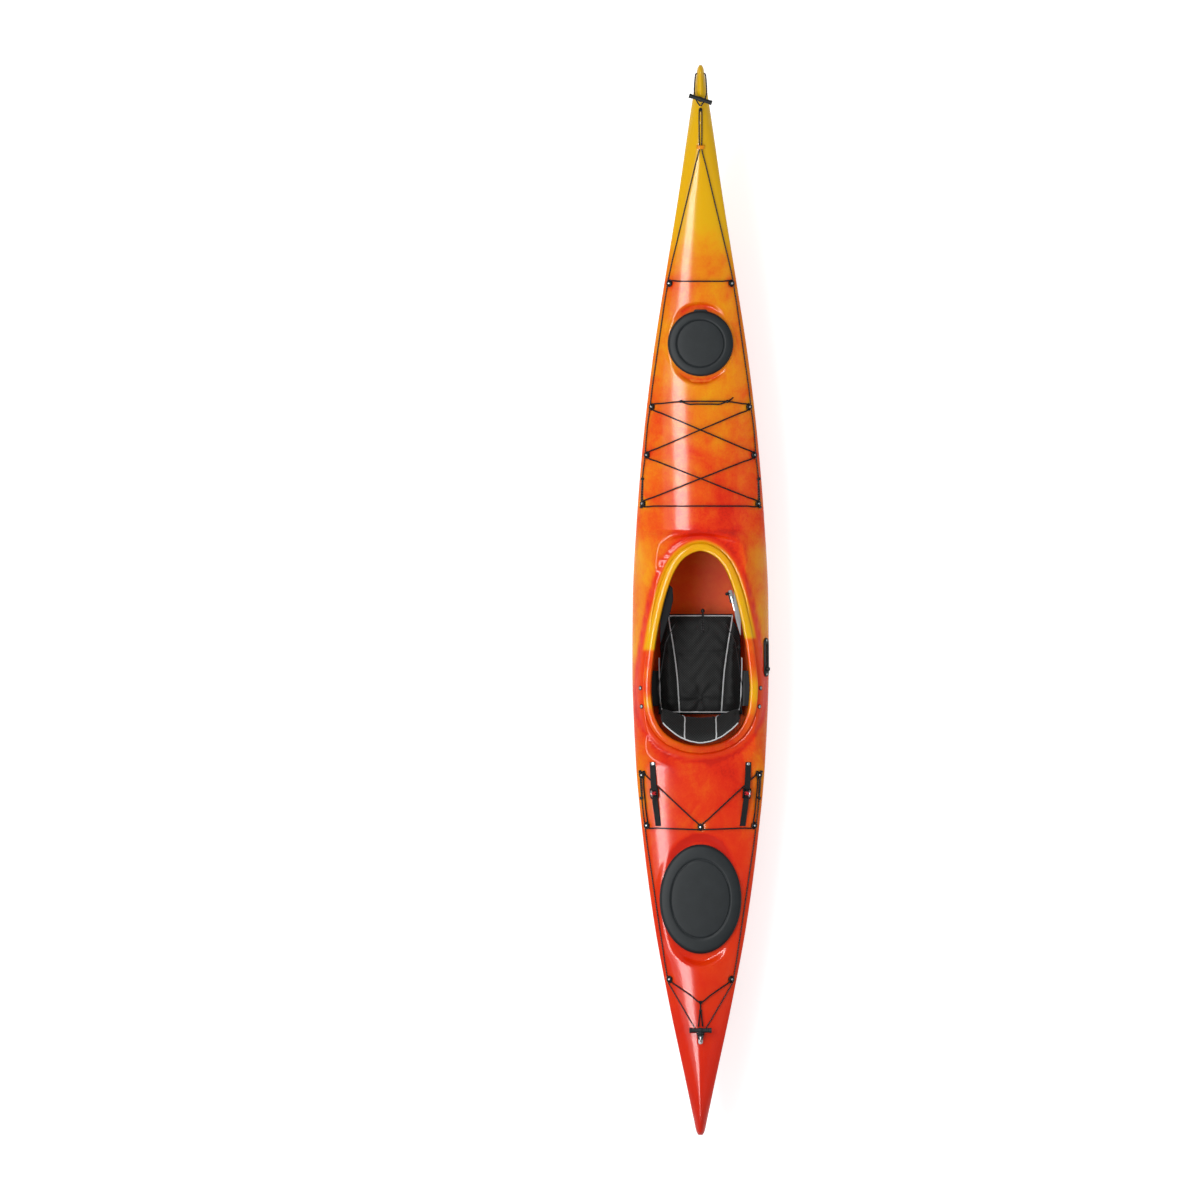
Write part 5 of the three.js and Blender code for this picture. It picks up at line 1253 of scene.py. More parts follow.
class DyeAndShadePlan:
    """Which colour of powder lies where, from 0 for yellow to 1 for red, and how much it mottles."""

    deck_centre: Pairs = ((-1, 0.97), (-0.82, 0.92), (-0.67, 0.88), (-0.52, 0.86), (-0.43, 0.82),
                          (-0.37, 0.84), (-0.3, 0.85), (-0.1, 0.8), (0.15, 0.84), (0.243, 0.78),
                          (0.3, 0.56), (0.39, 0.5), (0.486, 0.5), (0.6, 0.42), (0.66, 0.3), (0.71, 0.07),
                          (1, 0.04))
    deck_side: Pairs = ((-1, 0.97), (-0.67, 0.86), (-0.45, 0.78), (-0.36, 0.5), (-0.3, 0.55), (-0.22, 0.74),
                        (-0.15, 0.7), (-0.075, 0.42), (0.075, 0.4), (0.15, 0.7), (0.243, 0.74), (0.3, 0.52),
                        (0.39, 0.5), (0.486, 0.45), (0.6, 0.4), (0.66, 0.28), (0.71, 0.06), (1, 0.03))
    flank: Pairs = ((-1, 0.96), (-0.82, 0.9), (-0.67, 0.82), (-0.5, 0.76), (-0.37, 0.6), (-0.3, 0.45),
                    (-0.2, 0.7), (-0.12, 0.68), (-0.05, 0.35), (0.05, 0.32), (0.15, 0.66), (0.22, 0.5),
                    (0.3, 0.5), (0.45, 0.5), (0.6, 0.42), (0.66, 0.34), (0.73, 0.08), (1, 0.04))
    bilge: Pairs = ((-1, 0.97), (-0.5, 0.88), (-0.2, 0.8), (0, 0.66), (0.15, 0.76), (0.45, 0.74), (0.6, 0.6),
                    (0.68, 0.4), (0.76, 0.1), (1, 0.05))
    mottles: Pairs = ((-1, 0.1), (-0.8, 0.2), (-0.6, 0.3), (-0.4, 0.55), (-0.2, 0.9), (0.2, 0.9), (0.5, 0.9),
                      (0.66, 0.8), (0.72, 0.25), (0.8, 0.12), (1, 0.1))

    # Painted shade: the crease round the cockpit's shoulder, and the lens-shaped step ahead of it, are made
    # redder
    painted_crease_shade: float = 0.18
    lens_middle: float = 0.288
    lens_deep: float = 0.017
    lens_half: float = 0.158

    # The shoulder's own dye and how far it fades to each side of the crease, and the yellow lip inside it
    shoulder_dye: float = 0.8
    fade_in: float = 0.006
    fade_out: float = 0.003
    lip_dye: float = 0.22
    yellow_start: float = 0.007
    yellow_stop: float = 0.018

    # Where the lip's yellow begins to show and where it is full, along the hull
    port_end: tuple[float, float] = (-0.222, -0.206)
    starboard_end: tuple[float, float] = (-0.172, -0.154)

    # The rim's yellow patches: side, place along the hull, reach and strength
    rim_patches: tuple[tuple[float, float, float, float], ...] = ((-1, -0.395, 0.075, 1),
                                                                  (1, -0.44, 0.03, 0.6))

    # Painted shade: the redder ring round each hatch's sunken platform, where its step falls in shade: its
    # strength, and whether it shows only ahead of it
    hatch_shades: tuple[tuple[float, bool], ...] = ((0.3, False), (0.34, True))
    ring_in: float = 0.012
    ring_width: float = 0.016

    # How near a clip its own dye shows, and how much yellower the port side is beside the cockpit
    clip_patch: float = 0.019
    port_lift: float = 0.08

    # The dye moulded round each pair of clips
    clip_dyes: Pairs = (("bow", 0.82), ("forward", 0.28), ("middle", 0.86), ("cockpit", 0.22), ("seat", 0.3),
                        ("reardeck", 0.55), ("stern", 0.7), ("centre", 0.25))

    def __init__(self, hull: HullLines, clips: "ClipPlan") -> None:
        """Keeps the hull's lines and the clips' places.

        Args:
            hull: The hull's lines.
            clips: The clips' plan.
        """
        self.hull = hull
        self.seats = clips.frames(hull)
        self.curve = {name: through_points(getattr(self, name))
                      for name in ("deck_centre", "deck_side", "flank", "bilge", "mottles")}

    def on_deck(self, x: Array, turn: Array, points: Array) -> dict[str, Array]:
        """The dye and mottle of points on the deck.

        Args:
            x: Places along the hull.
            turn: Their places across the surface, from -1 to 1.
            points: The points themselves.

        Returns:
            The dye and the mottle, by name.
        """
        hull, y = self.hull, points[:, 1]
        share = x / hull.half
        dye = blend(self.curve["deck_centre"](share), self.curve["deck_side"](share),
                    smooth(np.abs(turn), 0.35, 0.8))
        port = smooth(turn, 0.3, 0.6)
        dye = dye - self.port_lift * port * smooth(share, -0.2, -0.05) * (1 - smooth(share, 0.08, 0.16))
        outer = hull.rim.reach + hull.rim.shoulder_width
        away = hull.from_opening(x, y)
        near = 1 - smooth(away, outer - self.fade_in, outer + self.fade_out)
        # painted shade: the crease just outside the cockpit's shoulder is made redder
        dye = blend(dye, self.shoulder_dye, near) + self.painted_crease_shade * bump(away - outer, hull.crease * 2)
        # painted shade: the edge of the lens-shaped step ahead of the cockpit is made redder
        sideways = smooth(np.abs(y), 0.6 * self.lens_half, self.lens_half)
        dye = dye + self.painted_crease_shade * bump(x - self.lens_middle, self.lens_deep) * (1 - sideways)
        lip = 1 - smooth(away, hull.rim.reach + self.yellow_start, outer - self.yellow_stop)
        dye = blend(dye, self.lip_dye, lip * self.yellow_front(x, y))
        for name, wanted in self.clip_dyes:
            for label, seat in self.seats.items():
                if label.startswith(name):
                    spot = seat.translation
                    close = bump(np.hypot(x - spot.x, y - spot.y), self.clip_patch)
                    dye = blend(dye, wanted, 0.75 * close)
        # painted shade: a redder ring where each hatch's platform sinks into the deck
        for hatch, (strength, only_ahead) in zip(hull.hatches, self.hatch_shades):
            out = hull.oval_distance(hatch, x, y)
            ahead = (x - hatch.at_share * hull.half) / hatch.platform_length * 2
            around = ahead if only_ahead else np.abs(ahead)
            ring = np.exp(-((out + self.ring_in) / self.ring_width) ** 2) * smooth(around, 0.45, 0.95)
            dye = dye + strength * ring
        return {"dye": dye, "mottle": self.curve["mottles"](share) * blend(1.0, 0.35, near)}

    def yellow_front(self, x: Array, y: Array) -> Array:
        """How far the yellow of the rim's front reaches aft, a little farther to port."""
        return np.where(y > 0, smooth(x, *self.port_end), smooth(x, *self.starboard_end))

    def on_bottom(self, x: Array, turn: Array) -> dict[str, Array]:
        """The dye and mottle of points on the bottom.

        Args:
            x: Places along the hull.
            turn: Their places across the surface, from -1 to 1.

        Returns:
            The dye and the mottle, by name.
        """
        share = x / self.hull.half
        dye = blend(self.curve["bilge"](share), self.curve["flank"](share), smooth(np.abs(turn), 0.4, 0.72))
        top = blend(dye, self.curve["deck_side"](share), smooth(np.abs(turn), 0.85, 1.0))
        return {"dye": top, "mottle": self.curve["mottles"](share)}

    def on_rim(self, x: Array, y: Array) -> dict[str, Array]:
        """The dye and mottle of points on the cockpit's rim: yellow round its front and in two patches.

        Args:
            x: Places along the hull.
            y: Places across the hull.

        Returns:
            The dye and the mottle, by name.
        """
        patch = sum(strength * bump(x - place, reach) * (y * side > 0)
                    for side, place, reach, strength in self.rim_patches)
        yellow = np.maximum(self.yellow_front(x, y), 0.85 * np.minimum(patch, 1))
        return {"dye": blend(0.74, 0.2, yellow), "mottle": np.full(len(x), 0.7)}


class HullShell:
    """The one-piece moulded shell: deck, bottom, cockpit rim, hatch rims and their platforms."""

    # The net's spacing outside and inside, and how its places across weigh against those along
    step: float = 0.012
    inner_step: float = 0.03
    columns: int = 49
    stretch: float = 0.26
    nudge: float = 0.0001
    merge: float = 0.00004
    same_place: float = 1e-7

    # Lines beside each recess's edge, round the cockpit and beside the plinth's creases
    recess_round: float = 0.003
    recess_lines: tuple[float, ...] = (-0.003, -0.001, 0.001, 0.003)
    shoulder_lines: tuple[float, ...] = (0.026, 0.032, 0.038, 0.045, 0.052)
    fillet_shares: tuple[float, ...] = (-1.1, -0.8, -0.5, -0.25, 0.0, 0.25, 0.5, 0.8, 1.1)
    crease_shares: tuple[float, ...] = (-0.02, -0.01, 0.0, 0.01, 0.02)
    slot_gap: float = 0.0006
    rim_edge: float = 0.001

    # The arch that the bow line runs through
    eyelet_share: float = 0.847
    eyelet_width: float = 0.034
    eyelet_height: float = 0.014
    eyelet_length: float = 0.016
    eyelet_edge: float = 0.0015
    eyelet_sill: float = 0.001
    eyelet_hole: tuple[float, float] = (0.009, 0.0095)

    def __init__(self, hull: HullLines, clips: ClipPlan, finishes: Finishes, control: "SkegControl",
                 ring: "SternRing") -> None:
        """Keeps the sizes and finishes.

        Args:
            hull: The hull's lines.
            clips: The places of the deck's clips.
            finishes: The materials.
            control: The skeg's slider, which lies in a recess.
            ring: The stern's ring, whose base lies in one too.
        """
        self.control = control
        self.ring = ring
        self.hull = hull
        self.clips = clips
        self.finishes = finishes
        self.rim = hull.rim
        self.dyes_and_shades = DyeAndShadePlan(hull, clips)
        self.rows: list[Array] = []
        self.holes: list[Array] = []
        self.recesses: list[tuple[Matrix, float, float, float]] = []

    def stations(self, step: float) -> Array:
        """Places along the hull, closer at the two ends and at the step ahead of the cockpit.

        Args:
            step: The distance between them elsewhere.

        Returns:
            The places, in rising order.
        """
        half = self.hull.half
        plain = np.arange(-half, half, step)
        ends = np.concatenate([half - np.geomspace(step / 8, 12 * step, 30),
                               -half + np.geomspace(step / 8, 12 * step, 30)])
        front = np.arange(self.hull.plinth_rear * half - 4 * step, self.hull.plinth_front * half + step,
                          step / 3)
        every = np.sort(np.concatenate([plain, ends, front, [-half, half]]))
        return every[np.concatenate([[True], np.diff(every) > step / 10])]

    def add_row(self, x: Array, y: Array) -> Array:
        """Keeps a closed line of the plan as edges of the deck, and returns it across the deck.

        Args:
            x: Places along the hull.
            y: Places across the hull.

        Returns:
            Places along the hull and across the deck.
        """
        row = np.stack([x, self.hull.turn_at(x, y)], axis=1)
        self.rows.append(row)
        return row

    def find(self, seat: Matrix, uv: Array) -> Array:
        """Finds where points of a seat's own plane meet the deck.

        Args:
            seat: The seat's frame.
            uv: The points, in the frame's x and y.

        Returns:
            Places along and across the deck.
        """
        start = placed(seat, np.column_stack([uv, np.zeros(len(uv))]))
        x = start[:, 0]
        limit = self.hull.half_beam(x) * 0.998
        turn = self.hull.turn_at(x, np.clip(start[:, 1], -limit, limit))
        axes = np.array(seat.to_3x3())[:, :2]
        origin = np.array(seat.translation)
        step = self.nudge
        for _ in range(6):
            here = self.hull.deck(x, turn)
            miss = uv - (here - origin) @ axes
            by_x = ((self.hull.deck(x + step, turn) - here) / step) @ axes
            by_turn = ((self.hull.deck(x, turn + step) - here) / step) @ axes
            size = by_x[:, 0] * by_turn[:, 1] - by_x[:, 1] * by_turn[:, 0]
            size = np.where(np.abs(size) < SMALL, SMALL, size)
            x = x + (miss[:, 0] * by_turn[:, 1] - miss[:, 1] * by_turn[:, 0]) / size
            turn = turn + np.clip((by_x[:, 0] * miss[:, 1] - by_x[:, 1] * miss[:, 0]) / size, -0.1, 0.1)
            turn = np.clip(turn, -0.995, 0.995)
        return np.stack([x, turn], axis=1)

    def add_recess(self, seat: Matrix, length: float, width: float, depth: float) -> None:
        """Plans a slot-shaped recess in the deck, with rounded edges.

        Args:
            seat: The frame at its middle.
            length: Its length in x.
            width: Its width in y.
            depth: How deep it is.
        """
        self.recesses.append((seat, length, width, depth))
        for away in self.recess_lines:
            self.rows.append(self.find(seat, oblong(length + 2 * away, width + 2 * away, 8)))

    def plan_features(self) -> None:
        """Plans every line and hole of the deck."""
        hull = self.hull
        outline, out = hull.opening, hull.out_of_opening
        for away in (self.rim.foot, *self.shoulder_lines):
            ring = outline + out * away
            row = self.add_row(ring[:, 0], ring[:, 1])
            if away == self.rim.foot:
                self.holes.append(row)
        for hatch in hull.hatches:
            middle = hatch.at_share * hull.half
            for share in self.fillet_shares:
                away = share * hatch.fillet
                ring = oval(hatch.platform_length + 2 * away, hatch.platform_width + 2 * away, 140)
                self.add_row(ring[:, 0] + middle, ring[:, 1])
            self.holes.append(self.add_row(*hull.hatch_ring(hatch, hatch.radius - hatch.rim_inset)))
        for seat in self.clips.frames(hull).values():
            self.add_recess(seat, self.clips.pocket_length, self.clips.width + self.clips.screw_height,
                            self.clips.pocket_depth)
        control, ring = self.control, self.ring
        gap = 2 * control.clearance
        self.add_recess(control.seat, control.length + gap, control.width + gap, control.pocket)
        self.add_recess(ring.seat, ring.base_length + gap, ring.base_width + gap, self.clips.pocket_depth)

    def crease_lines(self) -> list[Array]:
        """The open lines where the cockpit's plinth meets the crowned deck, and lines close beside them.

        Returns:
            The lines, as places along the hull and across the deck.
        """
        hull = self.hull
        x = np.linspace(-0.313 * hull.half, hull.plinth_rear * hull.half, 150)
        share = x / hull.half
        gunwale = hull.table("gunwales")(share) * hull.depth + hull.lift
        ridge = hull.table("ridges")(share) * hull.depth + hull.lift
        up = np.clip((hull.plinth(x) - gunwale) / np.maximum(ridge - gunwale, SMALL), 0, 1)
        turn = np.arccos(np.clip(up ** (hull.table("deck_rounds")(share) / 2), 0, 1)) / (math.pi / 2)
        lines = []
        for away in self.crease_shares:
            for side in (1, -1):
                lines.append(np.stack([x, side * np.clip(turn + away, 0.02, 0.97)], axis=1))
        return lines

    def patch(self, surface: Callable[[Array, Array], Array], step: float, across: int, rows: list[Array],
              lines: list[Array], holes: list[Array]) -> tuple[Array, Array, list[tuple[int, ...]]]:
        """Nets a surface with triangles that follow its lines and leave its holes open.

        Args:
            surface: Gives a point for a place along and across.
            step: The net's spacing along the hull.
            across: The count of the net's lines across the hull.
            rows: Closed lines that the net follows.
            lines: Open lines that it follows.
            holes: Closed lines that bound openings.

        Returns:
            The places, the points and the faces.
        """
        stretch = self.stretch
        turns = np.linspace(-1, 1, across)
        grid = np.array([(x, turn) for x in self.stations(step) for turn in turns])
        fixed = np.concatenate(rows + lines) if rows or lines else np.zeros((0, 2))
        keep = np.ones(len(grid), bool)
        if len(fixed):
            tree = kdtree.KDTree(len(fixed))
            for i, (x, turn) in enumerate(fixed):
                tree.insert((x, turn * stretch, 0), i)
            tree.balance()
            for i, (x, turn) in enumerate(grid):
                edge = abs(turn) > 0.9999 or abs(x) > self.hull.half - SMALL
                if not edge and tree.find((x, turn * stretch, 0))[2] < step * 0.4:
                    keep[i] = False
        places = np.concatenate([fixed, grid[keep]])
        edges, start = [], 0
        for row in rows:
            edges += [(start + i, start + (i + 1) % len(row)) for i in range(len(row))]
            start += len(row)
        for line in lines:
            edges += [(start + i, start + i + 1) for i in range(len(line) - 1)]
            start += len(line)
        flat = [Vector((x, turn * stretch)) for x, turn in places]
        found, _, faces, *_ = delaunay_2d_cdt(flat, edges, [], 0, self.same_place)
        spots = np.array([(v.x, v.y / stretch) for v in found])
        triangles = np.array(faces)
        middle = spots[triangles].mean(axis=1)
        open_face = np.zeros(len(triangles), bool)
        for hole in holes:
            open_face |= within(middle, hole)
        points = surface(spots[:, 0], np.clip(spots[:, 1], -1, 1))
        return spots, points, [tuple(face) for face in triangles[~open_face].tolist()]

    def sink(self, points: Array) -> Array:
        """Presses the recesses into the deck's points, along each seat's own normal.

        Args:
            points: Points of the plain deck.

        Returns:
            The points, with those in recesses lowered.
        """
        sunk = points.copy()
        for seat, length, width, depth in self.recesses:
            local = (points - np.array(seat.translation)) @ np.array(seat.to_3x3())
            away = oblong_distance(local[:, 0], local[:, 1], length, width)
            share = 1 - smooth(away, -self.recess_round, self.recess_round)
            share *= np.abs(local[:, 2]) < 5 * width
            sunk -= np.outer(share * depth, np.array(seat.to_3x3())[:, 2])
        return sunk

    def rim_net(self, maker: MeshMaker) -> None:
        """Adds the cockpit's rim, from the deck's underside over its crown and out to the plinth.

        Args:
            maker: The mesh that takes the shape.
        """
        hull, rim = self.hull, self.rim
        outline, out = hull.opening, hull.out_of_opening
        top = hull.rim_top(outline[:, 0])
        rows = [hull.deck_over(*outline.T, hull.wall)]
        for away, under in rim.section:
            rows.append(np.column_stack([outline + out * away, top - under]))
        for away, over in rim.fillet:
            ring = outline + out * away
            rows.append(np.column_stack([ring, hull.deck_over(*ring.T)[:, 2] + over]))
        net = np.stack(rows)
        x, y, _ = net.reshape(-1, 3).T
        maker.grid(net, round_rows=True, **self.dyes_and_shades.on_rim(x, y))

    def hatch_rims(self, maker: MeshMaker) -> None:
        """Adds the raised rim that each hatch cover grips.

        Args:
            maker: The mesh that takes the shape.
        """
        hull = self.hull
        for hatch in hull.hatches:
            radius = hatch.radius - hatch.rim_inset
            edge, top = self.rim_edge, hatch.rim_height
            profile = [(4 * edge, 0), (edge, edge), (0, 4 * edge), (0, top - 2 * edge), (-edge, top),
                       (-6 * edge, top), (-hatch.rim_wall, 13 * edge), (-hatch.rim_wall, -hull.wall)]
            rows = []
            for away, high in profile:
                x, y = hull.hatch_ring(hatch, radius + away)
                rows.append(np.column_stack([x, y, hull.hatch_plane(hatch, x) + high]))
            net = np.stack(rows)
            spots = net.reshape(-1, 3)
            x, y, _ = spots.T
            maker.grid(net, round_rows=True, **self.dyes_and_shades.on_deck(x, hull.turn_at(x, y), spots))

    def build(self) -> bpy.types.Object:
        """Builds the shell and makes it stand for the CAD shell.

        Returns:
            The shell.
        """
        hull = self.hull
        self.plan_features()
        maker = MeshMaker()
        step, columns = self.step, self.columns
        spots, points, faces = self.patch(hull.deck, step, columns, self.rows, self.crease_lines(),
                                          self.holes)
        maker.add(self.sink(points), faces, **self.dyes_and_shades.on_deck(spots[:, 0], spots[:, 1], points),
                  **self.facing(lambda x, turn: self.sink(hull.deck(x, turn)), spots))
        slot_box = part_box("skeg_box")
        middle, length = (slot_box[0].x + slot_box[1].x) / 2, slot_box[1].x - slot_box[0].x
        gap = self.slot_gap
        loop = rounded(length + gap, slot_box[1].y - slot_box[0].y + gap, gap, 1)
        loop = np.concatenate([blend(loop[i], loop[(i + 1) % len(loop)], np.linspace(0, 1, 40)[:-1, None])
                               for i in range(len(loop))])
        x, y = loop[:, 0] + middle, loop[:, 1]
        slot = np.stack([x, hull.turn_at(x, y, "bottom_rounds")], axis=1)
        spots, points, faces = self.patch(hull.bottom, step, columns, [slot], [], [slot])
        maker.add(points, faces, **self.dyes_and_shades.on_bottom(spots[:, 0], spots[:, 1]),
                  **self.facing(hull.bottom, spots))
        for end in (-hull.half, hull.half):
            turns = np.linspace(-1, 1, columns)
            ring = np.concatenate([hull.deck(end, turns), hull.bottom(end, -turns)])
            dye = self.dyes_and_shades.on_bottom(np.full(len(ring), end), np.ones(len(ring)))["dye"]
            maker.add(ring, [tuple(range(len(ring)))], dye=dye, mottle=0.1)
        self.eyelet(maker)
        self.rim_net(maker)
        self.hatch_rims(maker)
        self.inside(maker)
        thing = maker.piece("moulded_shell", [self.finishes.hull, self.finishes.hull_inside])
        tidy_normals(thing, self.merge)
        shade(thing)
        self.set_facing(thing)
        return seat_piece(thing, "hull", "polyethylene", "hull_shell")

    def facing(self, surface: Callable[[Array, Array], Array], spots: Array) -> dict[str, Array]:
        """Finds the way that a surface faces at places along and across it, as three named values.

        Args:
            surface: A function from places to points.
            spots: The places.

        Returns:
            The values by name.
        """
        x, turn = spots[:, 0], np.clip(spots[:, 1], -0.998, 0.998)
        reach = self.hull.crease
        ahead = surface(x + reach, turn) - surface(x - reach, turn)
        side = surface(x, turn + 2 * reach) - surface(x, turn - 2 * reach)
        return dict(zip(("face_x", "face_y", "face_z"), unit(np.cross(ahead, side)).T))

    def set_facing(self, thing: bpy.types.Object) -> None:
        """Shades the shell by the way its surfaces face, so that its net of triangles doesn't show.

        Args:
            thing: The shell.
        """
        mesh = thing.data
        count = len(mesh.vertices)
        given = np.zeros((count, 3), np.float32)
        own = np.empty(3 * count, np.float32)
        mesh.vertices.foreach_get("normal", own)
        for axis, name in enumerate(("face_x", "face_y", "face_z")):
            values = np.empty(count, np.float32)
            mesh.attributes[name].data.foreach_get("value", values)
            given[:, axis] = values
            mesh.attributes.remove(mesh.attributes[name])
        given *= np.where((given * own.reshape(-1, 3)).sum(axis=1, keepdims=True) < 0, -1, 1)
        mesh.normals_split_custom_set_from_vertices(given.tolist())

    def eyelet(self, maker: MeshMaker) -> None:
        """Adds the moulded arch that the bow line runs through.

        Args:
            maker: The mesh that takes the shape.
        """
        length = self.eyelet_length
        seat = self.hull.seat_at(self.eyelet_share * self.hull.half, 0.0)
        upright = seat @ Matrix(((0, 0, 1, -length / 2), (1, 0, 0, 0), (0, 1, 0, 0), (0, 0, 0, 1)))
        angle = np.linspace(0, math.pi, 17)
        cosine, sine = np.cos(angle), np.sin(angle)
        arch = np.column_stack([self.eyelet_width / 2 * np.sign(cosine) * np.abs(cosine) ** 0.8,
                                self.eyelet_height * sine ** 0.8])
        wide, high = self.eyelet_hole
        hole = np.column_stack([wide * cosine, self.eyelet_sill + high * sine])
        maker.plain = {"dye": 0.34, "mottle": 0.3}
        maker.plate(upright, arch, 0, length, 0, [hole], self.eyelet_edge)

    def inside(self, maker: MeshMaker) -> None:
        """Adds the shell's inner skin, open under the cockpit and the hatches.

        Args:
            maker: The mesh that takes the shape.
        """
        hull = self.hull
        rings = [hull.opening.T]
        for hatch in hull.hatches:
            rings.append(hull.hatch_ring(hatch, hatch.radius - hatch.rim_inset - hatch.rim_wall))
        rows = [np.stack([x, hull.turn_at(x, y)], axis=1) for x, y in rings]
        step = self.inner_step
        spots, points, faces = self.patch(
            lambda x, turn: hull.deck(x, turn, hull.wall), step, 25, rows, [], rows)
        reach = 0.945 * hull.half
        kept = [face for face in faces if np.all(np.abs(spots[list(face), 0]) < reach)]
        maker.add(points, kept, 1, dye=self.dyes_and_shades.on_deck(spots[:, 0], spots[:, 1], points)["dye"],
                  mottle=0.5)
        x = self.stations(step)
        x = x[np.abs(x) < reach]
        grid_x, grid_turn = np.meshgrid(x, np.linspace(-1, 1, 41), indexing="ij")
        maker.grid(hull.bottom(grid_x, grid_turn, hull.wall), 1, dye=np.full(grid_x.shape, 0.72),
                   mottle=np.full(grid_x.shape, 0.35))


# Fittings

@dataclass(frozen=True)
class SubAssembly:
    """A group of pieces that sits on the hull."""

    hull: HullLines
    clips: ClipPlan
    finishes: Finishes

    @property
    def clearance(self) -> float:
        """The gap between two pieces that touch."""
        return self.clips.clearance

    def finish(self, maker: MeshMaker, name: str, body: str, slot: str,
               materials: Sequence[bpy.types.Material],
               nodes: Sequence[str] = (), crease: float = 40.0, merge: float = 0.000002) -> bpy.types.Object:
        """Turns gathered faces into a piece that rides on a body.

        Args:
            maker: The gathered faces.
            name: The piece's name.
            body: The body that it rides on.
            slot: The record's material slot.
            materials: Its finishes in order.
            nodes: The CAD nodes that it replaces.
            crease: The angle above which edges stay sharp.
            merge: The distance within which points are joined.

        Returns:
            The piece.
        """
        thing = maker.piece(name, materials)
        tidy_normals(thing, merge)
        shade(thing, crease)
        return seat_piece(thing, body, slot, *nodes)


@dataclass(frozen=True)
class HatchCovers(SubAssembly):
    """The two rubber covers, each with a rolled edge and a ring groove, the round one with a pull tab."""

    thickness: float = 0.028
    edge: float = 0.009
    skirt: float = 0.006
    crown: float = 0.006
    groove: float = 0.0032
    groove_share: float = 0.72
    open_middle: float = 0.001
    tab_length: float = 0.014
    tab_width: float = 0.058

    def profile(self, hatch: HatchSeat) -> list[tuple[float, float]]:
        """The cover's section, from inside its underside round the edge to the middle of its top.

        Args:
            hatch: The hatch's place and sizes.

        Returns:
            Distances from the middle, and heights.
        """
        radius, rim = hatch.radius, hatch.radius - hatch.rim_inset
        top, groove, gap = self.thickness, self.groove_share * hatch.radius, self.clearance
        under = hatch.rim_height + 2 * gap
        edge = self.edge
        return [(self.open_middle, under), (rim + self.skirt / 2, under),
                (rim + self.skirt, under - edge / 3),
                (rim + self.skirt, gap), (radius - edge / 2, gap), (radius - edge / 6, gap + edge / 8),
                (radius, edge / 2), (radius, edge), (radius - edge / 8, 1.4 * edge),
                (radius - edge / 2, top - self.crown - edge / 2),
                (radius - 0.7 * edge, top - self.crown - edge / 6),
                (radius - edge, top - self.crown), (radius - 1.3 * edge, top - self.crown + edge / 9),
                (groove + edge, top - self.crown / 2), (groove + 0.4 * edge, top - self.crown / 2 - gap),
                (groove + 0.22 * edge, top - self.crown / 2 - self.groove * 0.7),
                (groove, top - self.crown / 2 - self.groove),
                (groove - 0.22 * edge, top - self.crown / 2 - self.groove * 0.7),
                (groove - 0.4 * edge, top - self.crown / 2.6), (groove - 0.8 * edge, top - self.crown / 3.2),
                (groove * 0.7, top - self.crown / 6), (groove * 0.35, top - self.crown / 30),
                (self.open_middle, top)]

    def cover(self, hatch: HatchSeat, name: str, body: str, tab: bool) -> None:
        """Makes one cover, with or without a tab to pull it by.

        Args:
            hatch: The hatch's place and sizes.
            name: The piece's name, and its CAD node's.
            body: The body that it moves with.
            tab: Whether it has the tab.
        """
        hull = self.hull
        middle = hatch.at_share * hull.half
        tilt = math.radians(hatch.tilt)
        seat = Matrix.Translation((middle, 0, hatch.height_share * hull.depth + hull.lift))
        seat = seat @ Matrix.Rotation(-tilt, 4, "Y")
        maker = MeshMaker()
        maker.lathe(seat, self.profile(hatch), 128, 0, hatch.ratio)
        if tab:
            seat = moved(seat, hatch.radius * hatch.ratio - self.edge, 0, self.edge)
            outline = rounded(2 * self.tab_length, self.tab_width, self.edge)
            maker.plate(seat, outline, -self.edge / 4, self.edge / 2, 0, (), self.edge / 5)
        self.finish(maker, name, body, "rubber", [self.finishes.rubber], [f"{body}_cover"], 50.0)

    def build(self) -> None:
        """Makes both covers."""
        self.cover(self.hull.hatches[0], "round_hatch_cover", "bow_hatch", True)
        self.cover(self.hull.hatches[1], "oval_hatch_cover", "stern_hatch", False)


def moved_outline(outline: Array, x: float, y: float = 0.0) -> Array:
    """A flat outline, shifted."""
    return np.asarray(outline) + (x, y)


@dataclass(frozen=True)
class DeckClips(SubAssembly):
    """The nylon clips that carry lines and bungees, each held by one steel screw."""

    def build(self) -> None:
        """Makes every clip."""
        for name, seat in self.clips.frames(self.hull).items():
            self.clip(f"deck_clip_{name}", seat)

    def clip(self, node: str, seat: Matrix) -> None:
        """Makes a clip: a rounded block with two cord holes, on a foot that fills its pocket.

        Args:
            node: The CAD node's name.
            seat: The clip's frame.
        """
        plan = self.clips
        maker = MeshMaker()
        upright = seat @ Matrix(((0, 0, 1, -plan.depth / 2), (1, 0, 0, 0), (0, 1, 0, plan.base),
                                 (0, 0, 0, 1)))
        corner = plan.height * 0.42
        arch = [(-plan.width / 2, 0), (plan.width / 2, 0)]
        for turn in (0, 1):
            for i in range(7):
                angle = (turn + i / 6) * math.pi / 2
                side = 1 - 2 * turn
                arch.append((side * (plan.width / 2 - corner) + corner * math.cos(angle),
                             plan.height - corner + corner * math.sin(angle)))
        holes = [moved_outline(oval(2 * plan.hole, 2 * plan.hole, 20), side * plan.spread, plan.rise)
                 for side in (1, -1)]
        maker.plate(upright, np.array(arch), 0, plan.depth, 0, holes, plan.hole / 3)
        foot = rounded(plan.pocket_length * 0.86, plan.width * 0.5, plan.width / 4.2, 6)
        maker.plate(seat, foot, plan.base, -plan.base * 0.7, 0, (), -plan.base / 3)
        maker.screw(moved(seat, 0, 0, plan.base + plan.height), plan.screw, plan.screw_height, 1)
        self.finish(maker, node.replace("deck_", "") + "_block", "hull", "plastic",
                    [self.finishes.nylon, self.finishes.steel], [node])


